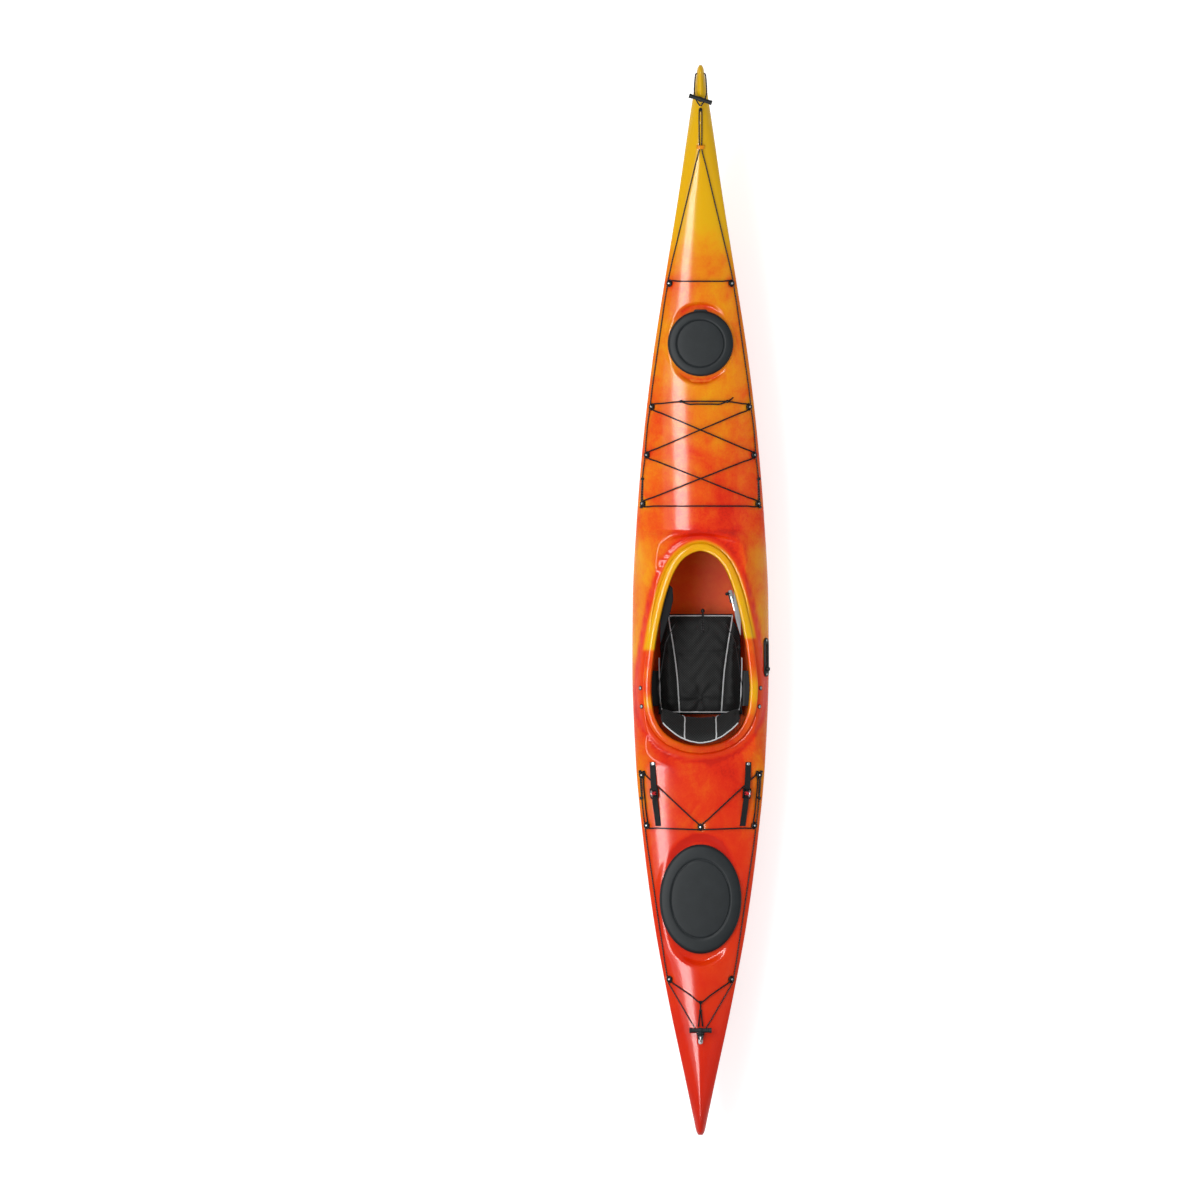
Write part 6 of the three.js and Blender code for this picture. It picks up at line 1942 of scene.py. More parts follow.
@dataclass(frozen=True)
class Cordage(SubAssembly):
    """The lines and bungees of the deck, each along its own route through the clips."""

    line: float = 0.0025
    line_lift: float = 0.0009
    bungee_lift: float = 0.0038
    bead: float = 0.007
    crossing_rise: float = 0.009
    spacing: float = 0.004
    eyelet_hole: float = 0.011
    knot_share: float = 0.917
    knot_spread: float = 0.005
    knot_lift: float = 0.002
    bead_share: float = 0.371
    bead_port: float = 0.082
    bead_starboard: float = 0.113
    bead_sag: float = 0.012
    retainer_bead_share: float = -0.768
    retainer_fork_share: float = -0.752
    under_toggle: float = 0.034
    bow_double: float = 0.118
    # The lacing's loose end: how far ahead of its bead, how far out, and its height in cord radii
    tail_points: tuple[tuple[float, float, float], ...] = ((0.006, 0.012, 2), (0.016, 0.024, 1.2))
    stern_double: float = 0.108

    @property
    def bungee(self) -> float:
        """The radius of the bungees, which the clips' holes fit."""
        return self.clips.bungee

    @property
    def run(self) -> float:
        """How far from a clip's middle a cord leaves it."""
        return self.clips.depth / 2 + self.bungee

    def through(self, name: str, side: int, outboard: bool, direction: int) -> list[Array]:
        """The two points where a cord enters and leaves a clip.

        Args:
            name: The clip's name without its side.
            side: 1 for port, -1 for starboard.
            outboard: Whether the cord takes the outer hole.
            direction: 1 to run ahead, -1 to run aft.

        Returns:
            The two points in order.
        """
        seat = self.clips.frames(self.hull)[f"{name}_{'port' if side > 0 else 'starboard'}"]
        y = side * (self.clips.spread if outboard else -self.clips.spread)
        return [placed(seat, (along * direction, y, self.clips.cord_height))
                for along in (-self.run, self.run)]

    def over(self, x: float, y: float, high: float) -> Array:
        """A point some height off the deck."""
        point, normal = self.hull.on_deck(x, y)
        return point + normal * high

    def span(self, points: list[Array], following: list[Array], steps: int, radius: float, lift: float,
             rise: float = 0.0) -> None:
        """Runs a cord over the deck from its last point to the following ones.

        Args:
            points: The route so far, which grows.
            following: The points that the span ends in.
            steps: How many stretches the span has.
            radius: The cord's radius.
            lift: How far the cord stands off the deck.
            rise: How much higher it passes over a cord that it crosses.
        """
        start, end = points[-1], following[0]
        for i in range(1, steps):
            t = i / steps
            x, y, _ = blend(start, end, t)
            over = max(0.0, 1 - abs(2 * t - 1) * 3) * rise
            points.append(self.over(x, y, radius + self.clearance + lift + over))
        points.extend(following)

    def cord(self, maker: MeshMaker, points: list[Array], radius: float, finish: int = 0) -> None:
        """Adds a cord along a smooth route through its points."""
        maker.tube(smooth_route(np.array(points), self.spacing), radius, finish)

    def lay(self, maker: MeshMaker, name: str, node: str, *materials: bpy.types.Material) -> None:
        """Makes the piece of a cord, in place of its CAD node."""
        self.finish(maker, name, "hull", "cord", materials, [node], 180, 0)

    def knot(self, maker: MeshMaker, at: Array, along: Array, radius: float, finish: int = 0) -> None:
        """Adds an overhand knot drawn tight round a cord.

        Args:
            maker: The mesh that takes the shape.
            at: The knot's middle.
            along: The way that the cord runs.
            radius: The cord's radius.
            finish: Which of the mesh's finishes it has.
        """
        seat = frame_from(np.asarray(at, float), unit(np.asarray(along, float)), np.array((0.2, 0.9, 0.4)))
        t = np.linspace(0, 2 * math.pi, 60)
        loop = np.column_stack([np.sin(t) + 1.6 * np.sin(2 * t), np.cos(t) - 1.6 * np.cos(2 * t),
                                -1.5 * np.sin(3 * t)])
        maker.tube(placed(seat, loop * radius * 0.85), radius * 0.85, finish, 8)

    def ball(self, maker: MeshMaker, at: Array, finish: int, radius: float) -> None:
        """Adds a moulded bead with a flat at each end of its bore."""
        seat = frame_from(np.asarray(at, float), np.array((0.0, 1, 0)), AHEAD)
        maker.ball(seat, radius, 0.35, finish)

    def doubled(self, maker: MeshMaker, half: list[Array], until: float, side: int) -> None:
        """Doubles a line's end back from its clip and knots it to itself.

        Args:
            maker: The gathered faces.
            half: The line's route on the port side, from the clip on.
            until: How far from the clip the knot lies.
            side: 1 for port, -1 for starboard.
        """
        route = smooth_route(np.array(half), self.spacing) * (1, side, 1)
        steps = int(until / self.spacing)
        strand = route[:steps + 1]
        share = np.linspace(0, 1, steps + 1)[:, None]
        ahead = unit(np.gradient(strand, axis=0))
        inboard = unit(np.cross(ahead, (0, 0, 1.0)))
        inboard *= np.where(inboard[:, 1:2] * side > 0, -1, 1)
        maker.tube(strand + inboard * 2.3 * self.line * (1 - share ** 6), self.line)
        self.knot(maker, strand[-1], ahead[-1], self.line * 1.25)

    def bow_line(self) -> None:
        """Makes the forward deck line, from clip to clip round the bow and knotted under the toggle."""
        half = self.through("cockpit", 1, True, 1)
        for name, steps in (("middle", 3), ("forward", 3), ("bow", 7)):
            self.span(half, self.through(name, 1, True, 1), steps, self.line, self.line_lift)
        hull = self.hull
        seat = hull.on_deck(HullShell.eyelet_share * hull.half, 0.0)[0]
        eye = [seat + (end * HullShell.eyelet_length / 2, self.knot_spread, self.eyelet_hole / 2)
               for end in (-1, 1)]
        self.span(half, eye, 8, self.line, self.line_lift)
        x = self.knot_share * hull.half
        high = self.line + self.line_lift + self.knot_lift
        top = hull.on_deck(x, 0.0)[0]
        turn = [top + (self.knot_spread * math.sin(a), self.knot_spread * math.cos(a), high)
                for a in (0, math.pi / 4, math.pi / 2)]
        self.span(half, turn, 4, self.line, self.line_lift)
        other = [point * (1, -1, 1) for point in half[-2::-1]]
        maker = MeshMaker()
        self.cord(maker, half + other, self.line)
        self.knot(maker, half[-1] + (-2 * self.line, 0, self.line), (1, 0, 0), self.line)
        lock = half[-2] * (1, 0, 1) + (half[-1] - half[-2]) * (-4, 0, 0)
        self.ball(maker, lock, 1, 2.6 * self.line)
        for side in (1, -1):
            self.knot(maker, half[0] * (1, side, 1) + (-2 * self.line, 0, 0), (1, 0, 0), self.line)
            self.doubled(maker, half, self.bow_double, side)
        self.lay(maker, "bow_perimeter_line", "bow_deck_line", self.finishes.line, self.finishes.nylon)

    def stern_line(self, fittings: "SternRing") -> None:
        """Makes the after deck line, from clip to clip round the stern and through the steel ring.

        Args:
            fittings: The ring and its toggle.
        """
        half = self.through("seat", 1, True, -1)
        self.span(half, self.through("reardeck", 1, True, -1), 4, self.line, self.line_lift)
        self.span(half, self.through("stern", 1, True, -1), 9, self.line, self.line_lift)
        loop = fittings.loop(fittings.line_height, self.line)[:2]
        under = self.over(loop[0][0] + self.under_toggle, loop[0][1] + self.under_toggle / 3,
                          self.line + self.clearance + self.line_lift / 2)
        self.span(half, [under, *loop], 6, self.line, self.line_lift)
        other = [point * (1, -1, 1) for point in half[::-1]]
        maker = MeshMaker()
        self.cord(maker, half + other, self.line)
        for side in (1, -1):
            self.knot(maker, half[0] * (1, side, 1) + (2 * self.line, 0, 0), (1, 0, 0), self.line)
            self.doubled(maker, half, self.stern_double, side)
        self.lay(maker, "stern_perimeter_line", "stern_deck_line", self.finishes.line)

    def foredeck(self) -> None:
        """Makes the foredeck's lacing, with its two beads and doubled strand."""
        hull, radius, lift = self.hull, self.bungee, self.bungee_lift
        x = self.bead_share * hull.half
        beads = [self.over(x, y, self.bead + self.clearance) for y in (self.bead_port, -self.bead_starboard)]
        points = [beads[0]]
        for name, side, way, steps, crosses in (
                ("forward", 1, -1, 3, 0), ("middle", -1, -1, 10, 0), ("cockpit", 1, -1, 10, 0),
                ("cockpit", -1, 1, 10, 0), ("middle", 1, 1, 10, 1), ("forward", -1, 1, 10, 1)):
            rise = crosses * self.crossing_rise
            self.span(points, self.through(name, side, False, way), steps, radius, lift, rise)
        self.span(points, [beads[1]], 3, radius, lift)
        maker = MeshMaker()
        self.cord(maker, points, radius)
        for sag in (0, self.bead_sag):
            strand = [beads[0]]
            shift = np.array((-sag, 0, 0))
            for i in range(1, 6):
                sx, sy, _ = blend(beads[0] + shift, beads[1] + shift, i / 6)
                strand.append(self.over(sx, sy, radius + self.clearance + lift))
            self.cord(maker, strand + [beads[1]], radius)
        tail = [beads[1]]
        for ahead, out, over in self.tail_points:
            tail.append(self.over(x + ahead, -self.bead_starboard - out, radius * over))
        self.cord(maker, tail, radius)
        for bead in beads:
            self.ball(maker, bead, 1, self.bead)
        self.lay(maker, "foredeck_lacing", "foredeck_bungee", self.finishes.bungee, self.finishes.nylon)

    def bow_cross(self) -> None:
        """Makes the bungee across the deck ahead of the round hatch."""
        points = self.through("bow", 1, False, 1)
        self.span(points, self.through("bow", -1, False, -1), 8, self.bungee, self.bungee_lift)
        maker = MeshMaker()
        self.cord(maker, points, self.bungee)
        self.lay(maker, "bow_cross_cord", "bow_cross_bungee", self.finishes.bungee)

    def reardeck(self) -> None:
        """Makes the rear deck's bungee, a V and a cross strand that pass under the webbing straps."""
        radius, lift, clips = self.bungee, self.bungee_lift, self.clips
        seats = clips.frames(self.hull)

        def centre(y: float) -> list[Array]:
            """Where the bungee passes through the middle clip."""
            return [placed(seats["centre"], (along, y, clips.cord_height))
                    for along in (-clips.depth / 4, self.run)]

        def beside(side: int) -> list[Array]:
            """Where the bungee turns beside a forward clip.

            Args:
                side: 1 for port, -1 for starboard.

            Returns:
                The points in order.
            """
            seat = seats[f"seat_{'port' if side > 0 else 'starboard'}"]
            return [placed(seat, (along, -side * inboard, clips.cord_height)) for along, inboard in (
                (0, clips.width / 2 + 2 * radius), (self.run + 2 * radius, clips.spread + 2 * radius))]

        points = centre(clips.spread)
        self.span(points, beside(1) + self.through("seat", 1, False, -1), 8, radius, lift)
        self.span(points, self.through("reardeck", 1, False, -1), 4, radius, lift)
        behind = placed(seats["centre"], (-clips.depth / 2 - radius - 4 * self.clearance, 0,
                                          radius + self.clearance + lift))
        self.span(points, [behind], 6, radius, lift)
        self.span(points, self.through("reardeck", -1, False, 1), 6, radius, lift)
        self.span(points, self.through("seat", -1, False, 1) + beside(-1)[::-1], 4, radius, lift)
        self.span(points, centre(-clips.spread)[::-1], 8, radius, lift)
        maker = MeshMaker()
        self.cord(maker, points, radius)
        self.lay(maker, "rear_deck_cord", "reardeck_bungee", self.finishes.bungee)

    def retainer(self, ring: "SternRing") -> None:
        """Makes the forked bungee that holds the stern toggle down.

        Args:
            ring: The stern toggle's ring.
        """
        radius, lift, half = self.bungee, self.bungee_lift, self.hull.half
        fork = self.over(self.retainer_fork_share * half, 0, self.bead + 2 * self.clearance)
        bead = self.over(self.retainer_bead_share * half, 0, self.bead + 2 * self.clearance)
        points = self.through("stern", 1, False, -1)
        self.span(points, [fork], 3, radius, lift)
        self.span(points, self.through("stern", -1, False, 1), 3, radius, lift)
        end = ring.grip_x + ring.grip_radius + 2 * radius
        legs = [self.over(end, side * 0.7 * ring.grip_radius, self.bead + 2 * self.clearance)
                for side in (1, -1)]
        maker = MeshMaker()
        self.cord(maker, points, radius)
        self.cord(maker, [fork, (fork + bead) / 2, bead], radius)
        self.cord(maker, [legs[0], bead, legs[1]], radius)
        self.ball(maker, bead, 1, self.bead)
        self.knot(maker, fork, (1, 0, 0), radius)
        self.lay(maker, "stern_retainer_cord", "stern_retainer_bungee", self.finishes.bungee,
                 self.finishes.nylon)

    def build(self, ring: "SternRing") -> None:
        """Makes every line and bungee.

        Args:
            ring: The stern toggle's ring.
        """
        self.bow_line()
        self.stern_line(ring)
        self.foredeck()
        self.bow_cross()
        self.reardeck()
        self.retainer(ring)


@dataclass(frozen=True)
class SternRing(SubAssembly):
    """The stern's steel ring on its base plate, and the carrying toggle that hangs in it."""

    at_share: float = -0.8206
    ring: float = 0.013
    wire: float = 0.0034
    base_length: float = 0.044
    base_width: float = 0.020
    base_thickness: float = 0.003
    embed: float = 0.003
    grip_length: float = 0.096
    grip_radius: float = 0.012
    grip_ahead: float = 0.036
    spacing: float = 0.002

    @property
    def seat(self) -> Matrix:
        """The frame of the ring's base on the deck."""
        return self.hull.seat_at(self.at_share * self.hull.half, 0.0)

    @property
    def base(self) -> float:
        """The height of the base plate's underside."""
        return self.clearance - self.clips.pocket_depth

    @property
    def rise(self) -> float:
        """The height of the ring's middle."""
        return self.base + self.base_thickness + self.ring + self.wire - self.embed / 2

    @property
    def line_height(self) -> float:
        """The height of the deck line over the ring's middle, below zero because it passes lower."""
        return -2 * Cordage.line

    @property
    def grip_x(self) -> float:
        """The grip's place along the hull."""
        return self.at_share * self.hull.half + self.grip_ahead

    def loop(self, height: float, radius: float) -> list[Array]:
        """The points of a cord's loop through the ring, at some height over its middle.

        Args:
            height: The cord's height over the middle.
            radius: The cord's radius.

        Returns:
            The points in order.
        """
        out = self.wire + radius + 2 * self.clearance
        spots = ((out, out + radius), (0, out), (0, -out), (out, -out - radius))
        return [placed(self.seat, (x, y, self.rise + height)) for x, y in spots]

    def build(self) -> None:
        """Makes the ring, its base, and the toggle's grip and cord."""
        maker = MeshMaker()
        seat = self.seat
        maker.plate(seat, rounded(self.base_length, self.base_width, self.base_width / 2.2, 8), self.base,
                    self.base + self.base_thickness, 0, (), self.base_thickness / 3)
        for side in (1, -1):
            spot = moved(seat, side * (self.base_length / 2 - self.base_width / 3), 0,
                         self.base + self.base_thickness)
            maker.screw(spot, self.base_width / 5.2, self.base_thickness / 2, 0)
        angle = np.linspace(0, 2 * math.pi, 49)
        circle = np.column_stack([self.ring * np.sin(angle), 0 * angle,
                                  self.rise + self.ring * np.cos(angle)])
        maker.tube(placed(seat, circle), self.wire, 0, 14)
        self.finish(maker, "stern_ring", "hull", "steel", [self.finishes.steel], ["stern_shackle"], 50, 0)

        middle = placed(seat, (self.grip_ahead, 0, self.rise + self.wire))
        half = np.array((0, self.grip_length / 2, 0))
        loop = self.loop(self.wire / 2 + self.clearance, self.clips.bungee)
        reach = self.grip_radius / 2
        route = [middle + (reach, reach, 0), *loop, middle + (reach, -reach, 0)]
        cord = MeshMaker()
        cord.tube(smooth_route(np.array(route), self.spacing), self.clips.bungee, 0)
        self.finish(cord, "stern_toggle_loop", "stern_toggle", "cord", [self.finishes.line],
                    ["stern_toggle_cord"], 180, 0)
        grip = MeshMaker()
        toggle_grip(grip, middle - half, middle + half, self.grip_radius)
        neck, length = between(middle, middle + (-self.grip_radius * 1.9, 0, 0))
        grip.lathe(neck, [(self.grip_radius * share, length * high) for share, high in (
            (0.66, -0.5), (0.66, 0.1), (0.6, 0.38), (0.42, 0.5))], 20)
        self.finish(grip, "stern_toggle_handle", "stern_toggle", "rubber", [self.finishes.rubber],
                    ["stern_toggle_grip"], 50)


def toggle_grip(maker: MeshMaker, start: Array, end: Array, radius: float) -> None:
    """Adds a carrying grip: a bar with finger ribs, flared ends and a thick collar at its middle.

    Args:
        maker: The mesh that takes the shape.
        start: The middle of one end.
        end: The middle of the other.
        radius: Its radius.
    """
    seat, length = between(start, end)
    profile = [(radius * 0.3, -length / 2), (radius * 0.75, -length / 2),
               (radius * 0.95, -length / 2 + radius * 0.12)]
    count, ribs = 96, 0.045
    for i in range(count + 1):
        share = -1 + 2 * i / count
        place = share * (length / 2 - radius * 0.25)
        flare = 0.84 + 0.16 * abs(share) ** 6 + 0.16 * math.exp(-(share / 0.17) ** 2)
        rib = ribs * math.cos(place / radius * 2 * math.pi * 1.5) * (0.16 < abs(share) < 0.92)
        profile.append((radius * min(1.0, flare + rib - ribs), place))
    profile += [(radius * 0.95, length / 2 - radius * 0.12), (radius * 0.75, length / 2),
                (radius * 0.3, length / 2)]
    maker.lathe(seat, profile, 28)


@dataclass(frozen=True)
class BowToggle(SubAssembly):
    """The bow's carrying toggle, on a doubled cord through the bow's hole."""

    at_share: float = 0.936
    length: float = 0.103
    radius: float = 0.011
    turn: float = 18.0
    hole_share: float = 0.984
    hole_drop: float = 0.024
    hole: float = 0.0035
    strand_gap: float = 0.002
    spacing: float = 0.003
    strands: tuple[tuple[float, float, float], ...] = (
        (-0.25, 0.13, 0), (-0.12, 0.6, 0), (0, 0.9, 0), (0.22, 1.22, 0.1), (0.55, 1.2, 0.4),
        (0.88, 1.05, 0.9), (0.97, 0.98, 1), (1, 0.8, 1))

    def build(self) -> None:
        """Makes the grip, the loop and the grommets of the bow's hole."""
        hull = self.hull
        x = self.at_share * hull.half
        z = float(hull.deck(x, 0.0)[2]) + self.radius + 4 * self.clearance
        tip_x = self.hole_share * hull.half
        tip_z = float(hull.table("ridges")(self.hole_share)) * hull.depth + hull.lift - self.hole_drop
        tip_half = float(hull.half_beam(tip_x)) + self.clips.bungee + self.strand_gap / 2
        half = [np.array((x + along * (tip_x - x), across * tip_half, blend(z, tip_z, high)))
                for along, across, high in self.strands]
        cord = MeshMaker()
        route = half + [point * (1, -1, 1) for point in half[::-1]]
        cord.tube(smooth_route(np.array(route), self.spacing), self.clips.bungee, 0)
        self.finish(cord, "bow_toggle_loop", "bow_toggle", "cord", [self.finishes.line],
                    ["bow_toggle_cord"], 180, 0)
        turn = math.radians(self.turn)
        reach = np.array((math.sin(turn), math.cos(turn), 0)) * self.length / 2
        grip = MeshMaker()
        middle = np.array((x, 0, z))
        toggle_grip(grip, middle - reach, middle + reach, self.radius)
        self.finish(grip, "bow_toggle_handle", "bow_toggle", "rubber", [self.finishes.rubber],
                    ["bow_toggle_grip"], 50)


@dataclass(frozen=True)
class DeckStraps(SubAssembly):
    """The two webbing straps aft of the cockpit, each with a buckle, a red release tab and a steel ring."""

    front_share: float = -0.303
    rear_share: float = -0.4225
    inset: float = 0.072
    width: float = 0.025
    thickness: float = 0.0022
    lift: float = 0.013
    ramp: float = 0.115
    buckle_share: float = -0.361
    buckle_length: float = 0.046
    buckle_width: float = 0.034
    buckle_height: float = 0.015
    cheek: float = 0.0032
    tab_width: float = 0.022
    belly: float = 1.5
    spacing: float = 0.0012
    tab_thickness: float = 0.008
    tab_reach: float = 0.040
    pin: float = 0.0024
    ring: float = 0.014
    ring_wire: float = 0.0022

    @property
    def pin_height(self) -> float:
        """The height of the tab's pin over the deck."""
        top = self.lift + self.thickness + 4 * self.clearance
        return top + self.tab_thickness / 2 + self.clearance

    def spot(self, x: float, side: int) -> tuple[Array, Array]:
        """The strap's place on the deck."""
        return self.hull.on_deck(x, side * (float(self.hull.half_beam(x)) - self.inset))

    def band(self, side: int, label: str) -> None:
        """Makes a strap: a woven band with raised edges, held at its front by a screw and washer.

        Args:
            side: 1 for port, -1 for starboard.
            label: The side's name, as the pieces have it.
        """
        hull = self.hull
        front, rear = self.front_share * hull.half, self.rear_share * hull.half
        middle = self.buckle_share * hull.half
        rows = []
        across = np.array([-1, -0.96, -0.6, 0, 0.6, 0.96, 1])
        shape = np.array([0.5, 1.0, 0.86, 0.9, 0.86, 1.0, 0.5])
        for x in np.linspace(front, rear, 60):
            point, normal = self.spot(x, side)
            near = max(0.0, 1 - max(0.0, abs(x - middle) - self.buckle_length / 2) / self.ramp)
            high = 2 * self.clearance + near * near * (3 - 2 * near) * self.lift
            sideways = unit(np.cross(normal, (1.0, 0, 0)))
            top = [point + sideways * a * self.width / 2 + normal * (high + self.thickness * s)
                   for a, s in zip(across, shape)]
            low = [point + sideways * a * self.width / 2 + normal * high for a in across[::-1]]
            rows.append(np.array(top + low))
        maker = MeshMaker()
        maker.loft(rows)
        point, normal = self.spot(front - self.width / 3, side)
        seat = moved(frame_from(point, normal, AHEAD), 0, 0, self.thickness * 1.2)
        maker.lathe(seat, [(self.width / 3.2, 0), (self.width / 3.2, self.clearance),
                           (self.width / 3.6, 2 * self.clearance)], 24, 1)
        maker.screw(moved(seat, 0, 0, 2 * self.clearance), self.width / 4.5, self.thickness * 0.8, 1)
        self.finish(maker, f"webbing_strap_{label}", "hull", "webbing",
                    [self.finishes.webbing, self.finishes.steel], [f"deck_strap_{label}"])

    def buckle_seat(self, side: int) -> Matrix:
        """The frame of the buckle.

        Args:
            side: 1 for port, -1 for starboard.

        Returns:
            The frame, with x ahead along the edge and z off the deck.
        """
        hull = self.hull
        x = self.buckle_share * hull.half
        point, normal = self.spot(x, side)
        return frame_from(point, normal, np.array((1, side * hull.edge_slope(x), 0)))

    def buckle(self, side: int, label: str) -> None:
        """Makes a buckle: a floor, two cheeks with rounded tops, a front bar and the tab's pin.

        Args:
            side: 1 for port, -1 for starboard.
            label: The side's name, as the pieces have it.
        """
        seat = self.buckle_seat(side)
        maker = MeshMaker()
        low = self.lift - self.cheek
        maker.plate(seat, rounded(self.buckle_length, self.buckle_width, self.cheek), low,
                    self.lift - self.clearance, 0, (), self.cheek / 4)
        upright = Matrix(((1, 0, 0, 0), (0, 0, -1, 0), (0, 1, 0, low), (0, 0, 0, 1)))
        high = self.buckle_height + self.cheek
        half = self.buckle_length / 2
        cheek = np.array([(-half, 0), (half, 0), (half, high * 0.35), (half * 0.7, high * 0.8),
                          (half * 0.35, high), (-half * 0.35, high), (-half * 0.7, high * 0.8),
                          (-half, high * 0.35)])
        for way in (1, -1):
            shift = way * (self.buckle_width / 2 - self.cheek / 2)
            maker.plate(moved(seat, 0, shift) @ upright, cheek, -self.cheek / 2, self.cheek / 2, 0, (),
                        self.cheek / 5)
        reach = self.buckle_width / 2 - self.clearance
        over = self.lift + self.cheek
        for along, height in ((0, self.pin_height), (half * 0.75, over), (-half * 0.75, over)):
            bar, length = between(placed(seat, (along, -reach, height)), placed(seat, (along, reach, height)))
            maker.lathe(bar, [(self.pin, -length / 2), (self.pin, length / 2)], 16)
        self.finish(maker, f"ladder_buckle_{label}", "hull", "plastic", [self.finishes.nylon],
                    [f"strap_buckle_{label}"], 50)

    def tab(self, side: int, label: str) -> None:
        """Makes a release tab: red webbing folded round the pin and stitched to itself, and its ring.

        Args:
            side: 1 for port, -1 for starboard.
            label: The side's name, as the pieces have it.
        """
        seat = self.buckle_seat(side)
        pin, half = self.pin_height, self.tab_thickness / 2
        sheet = self.thickness / 2
        line = []
        for a in np.linspace(0, math.pi, 11):
            line.append((half * 0.8 * math.cos(a), pin - half * 0.8 * math.sin(a)))
        top = pin + self.tab_reach - half
        line += [(-half * 0.8, pin + half * 1.6), (-half * self.belly, pin + self.tab_reach * 0.4),
                 (-half * 0.6, top - self.tab_reach * 0.3)]
        for a in np.linspace(-0.2 * math.pi, 1.2 * math.pi, 7):
            fold = (half * 0.75 * math.cos(a), half * 0.75 * math.sin(a))
            line.append((-fold[0], top - self.tab_reach * 0.05 + fold[1]))
        line += [(half * 0.6, top - self.tab_reach * 0.3), (half * self.belly, pin + self.tab_reach * 0.4),
                 (half * 0.8, pin + half * 1.6)]
        path = smooth_route(np.array(line), self.spacing, closed=True)
        ahead = unit(np.roll(path, -1, axis=0) - np.roll(path, 1, axis=0))
        out = np.stack([ahead[:, 1], -ahead[:, 0]], axis=1)
        width = self.tab_width / 2
        rows = []
        for y, shift in ((-width, 0.5), (-width * 0.94, 1), (0, 0.8), (width * 0.94, 1), (width, 0.5),
                         (width, -0.5), (width * 0.94, -1), (0, -1), (-width * 0.94, -1), (-width, -0.5)):
            ring = path + out * shift * sheet
            rows.append(placed(seat, np.column_stack([ring[:, 0], np.full(len(ring), y), ring[:, 1]])))
        maker = MeshMaker()
        maker.grid(np.stack(rows), 0, round_rows=True, round_columns=True)
        self.finish(maker, f"red_tab_{label}", f"release_tab_{label}", "red_webbing",
                    [self.finishes.red_webbing], [f"release_tab_{label}"], 60)
        ring = MeshMaker()
        angle = np.linspace(0, 2 * math.pi, 41)
        high = pin + self.tab_reach - self.tab_thickness + self.ring
        circle = np.column_stack([self.ring * np.sin(angle), 0 * angle, high + self.ring * np.cos(angle)])
        ring.tube(placed(seat, circle), self.ring_wire, 0, 12)
        self.finish(ring, f"split_ring_{label}", f"tab_ring_{label}", "steel", [self.finishes.steel],
                    [f"tab_ring_{label}"], 180, 0)

    def build(self) -> None:
        """Makes both straps with their fittings."""
        for side, label in ((1, "port"), (-1, "starboard")):
            self.band(side, label)
            self.buckle(side, label)
            self.tab(side, label)


@dataclass(frozen=True)
class SkegControl(SubAssembly):
    """The skeg's slider on the starboard side: a plate with a slot, two screws and a ribbed knob."""

    at_share: float = -0.107
    length: float = 0.166
    width: float = 0.042
    thickness: float = 0.005
    pocket: float = 0.002
    slot_length: float = 0.116
    slot_width: float = 0.009
    knob_radius: float = 0.010
    knob_height: float = 0.011
    stem_width: float = 0.007
    stem_over: float = 0.001
    travel: float = 0.100

    @property
    def seat(self) -> Matrix:
        """The frame of the plate, on the steep edge of the deck.

        Returns:
            The frame.
        """
        hull = self.hull
        x = self.at_share * hull.half
        height = float(hull.table("gunwales")(self.at_share)) * hull.depth + self.width * 0.8 + hull.lift
        turns = np.linspace(-1, -0.3, 400)
        spots = hull.deck(np.full(len(turns), x), turns)
        y = float(np.interp(height, spots[:, 2], spots[:, 1]))
        return hull.seat_at(x, y)

    def build(self) -> None:
        """Makes the plate and its knob."""
        seat = self.seat
        base = self.clearance - self.pocket
        maker = MeshMaker()
        maker.plate(seat, oblong(self.length, self.width), base, base + self.thickness, 0,
                    [oblong(self.slot_length, self.slot_width)], self.thickness / 4)
        raised = [oblong(self.length * 0.93, self.width * 0.82),
                  oblong(self.slot_length * 1.05, self.slot_width * 1.9)]
        maker.plate(seat, raised[0], base + self.thickness * 0.8, base + self.thickness * 1.12, 0,
                    [raised[1]], self.thickness / 9)
        for way in (1, -1):
            spot = moved(seat, way * (self.length / 2 - self.width / 4), 0, base + self.thickness * 1.05)
            maker.screw(spot, self.width / 9, self.thickness / 3, 1)
        self.finish(maker, "skeg_control_plate", "hull", "plastic",
                    [self.finishes.nylon, self.finishes.steel],
                    ["skeg_slider_track"])
        knob = MeshMaker()
        spot = moved(seat, -self.travel / 2, 0, self.thickness - self.pocket + 2 * self.clearance)
        steps = 36
        rows = []
        for share, high in ((0.9, 0), (1, 0.08), (1, 0.6), (0.94, 0.85), (0.8, 1), (0.4, 0.93), (0.05, 0.9)):
            ribs = 1 - 0.07 * (np.arange(steps) % 3 == 0) * (share > 0.85)
            rows.append(turned(spot, self.knob_radius * share * ribs, self.knob_height * high, steps))
        knob.loft(rows)
        stem = moved(spot, 0, 0, -self.thickness)
        radius = self.stem_width / 2
        knob.lathe(stem, [(radius, 0), (radius, self.thickness + self.stem_over)], 16)
        self.finish(knob, "skeg_control_knob", "skeg_knob", "plastic", [self.finishes.nylon],
                    ["skeg_slider_knob"])


# Seat

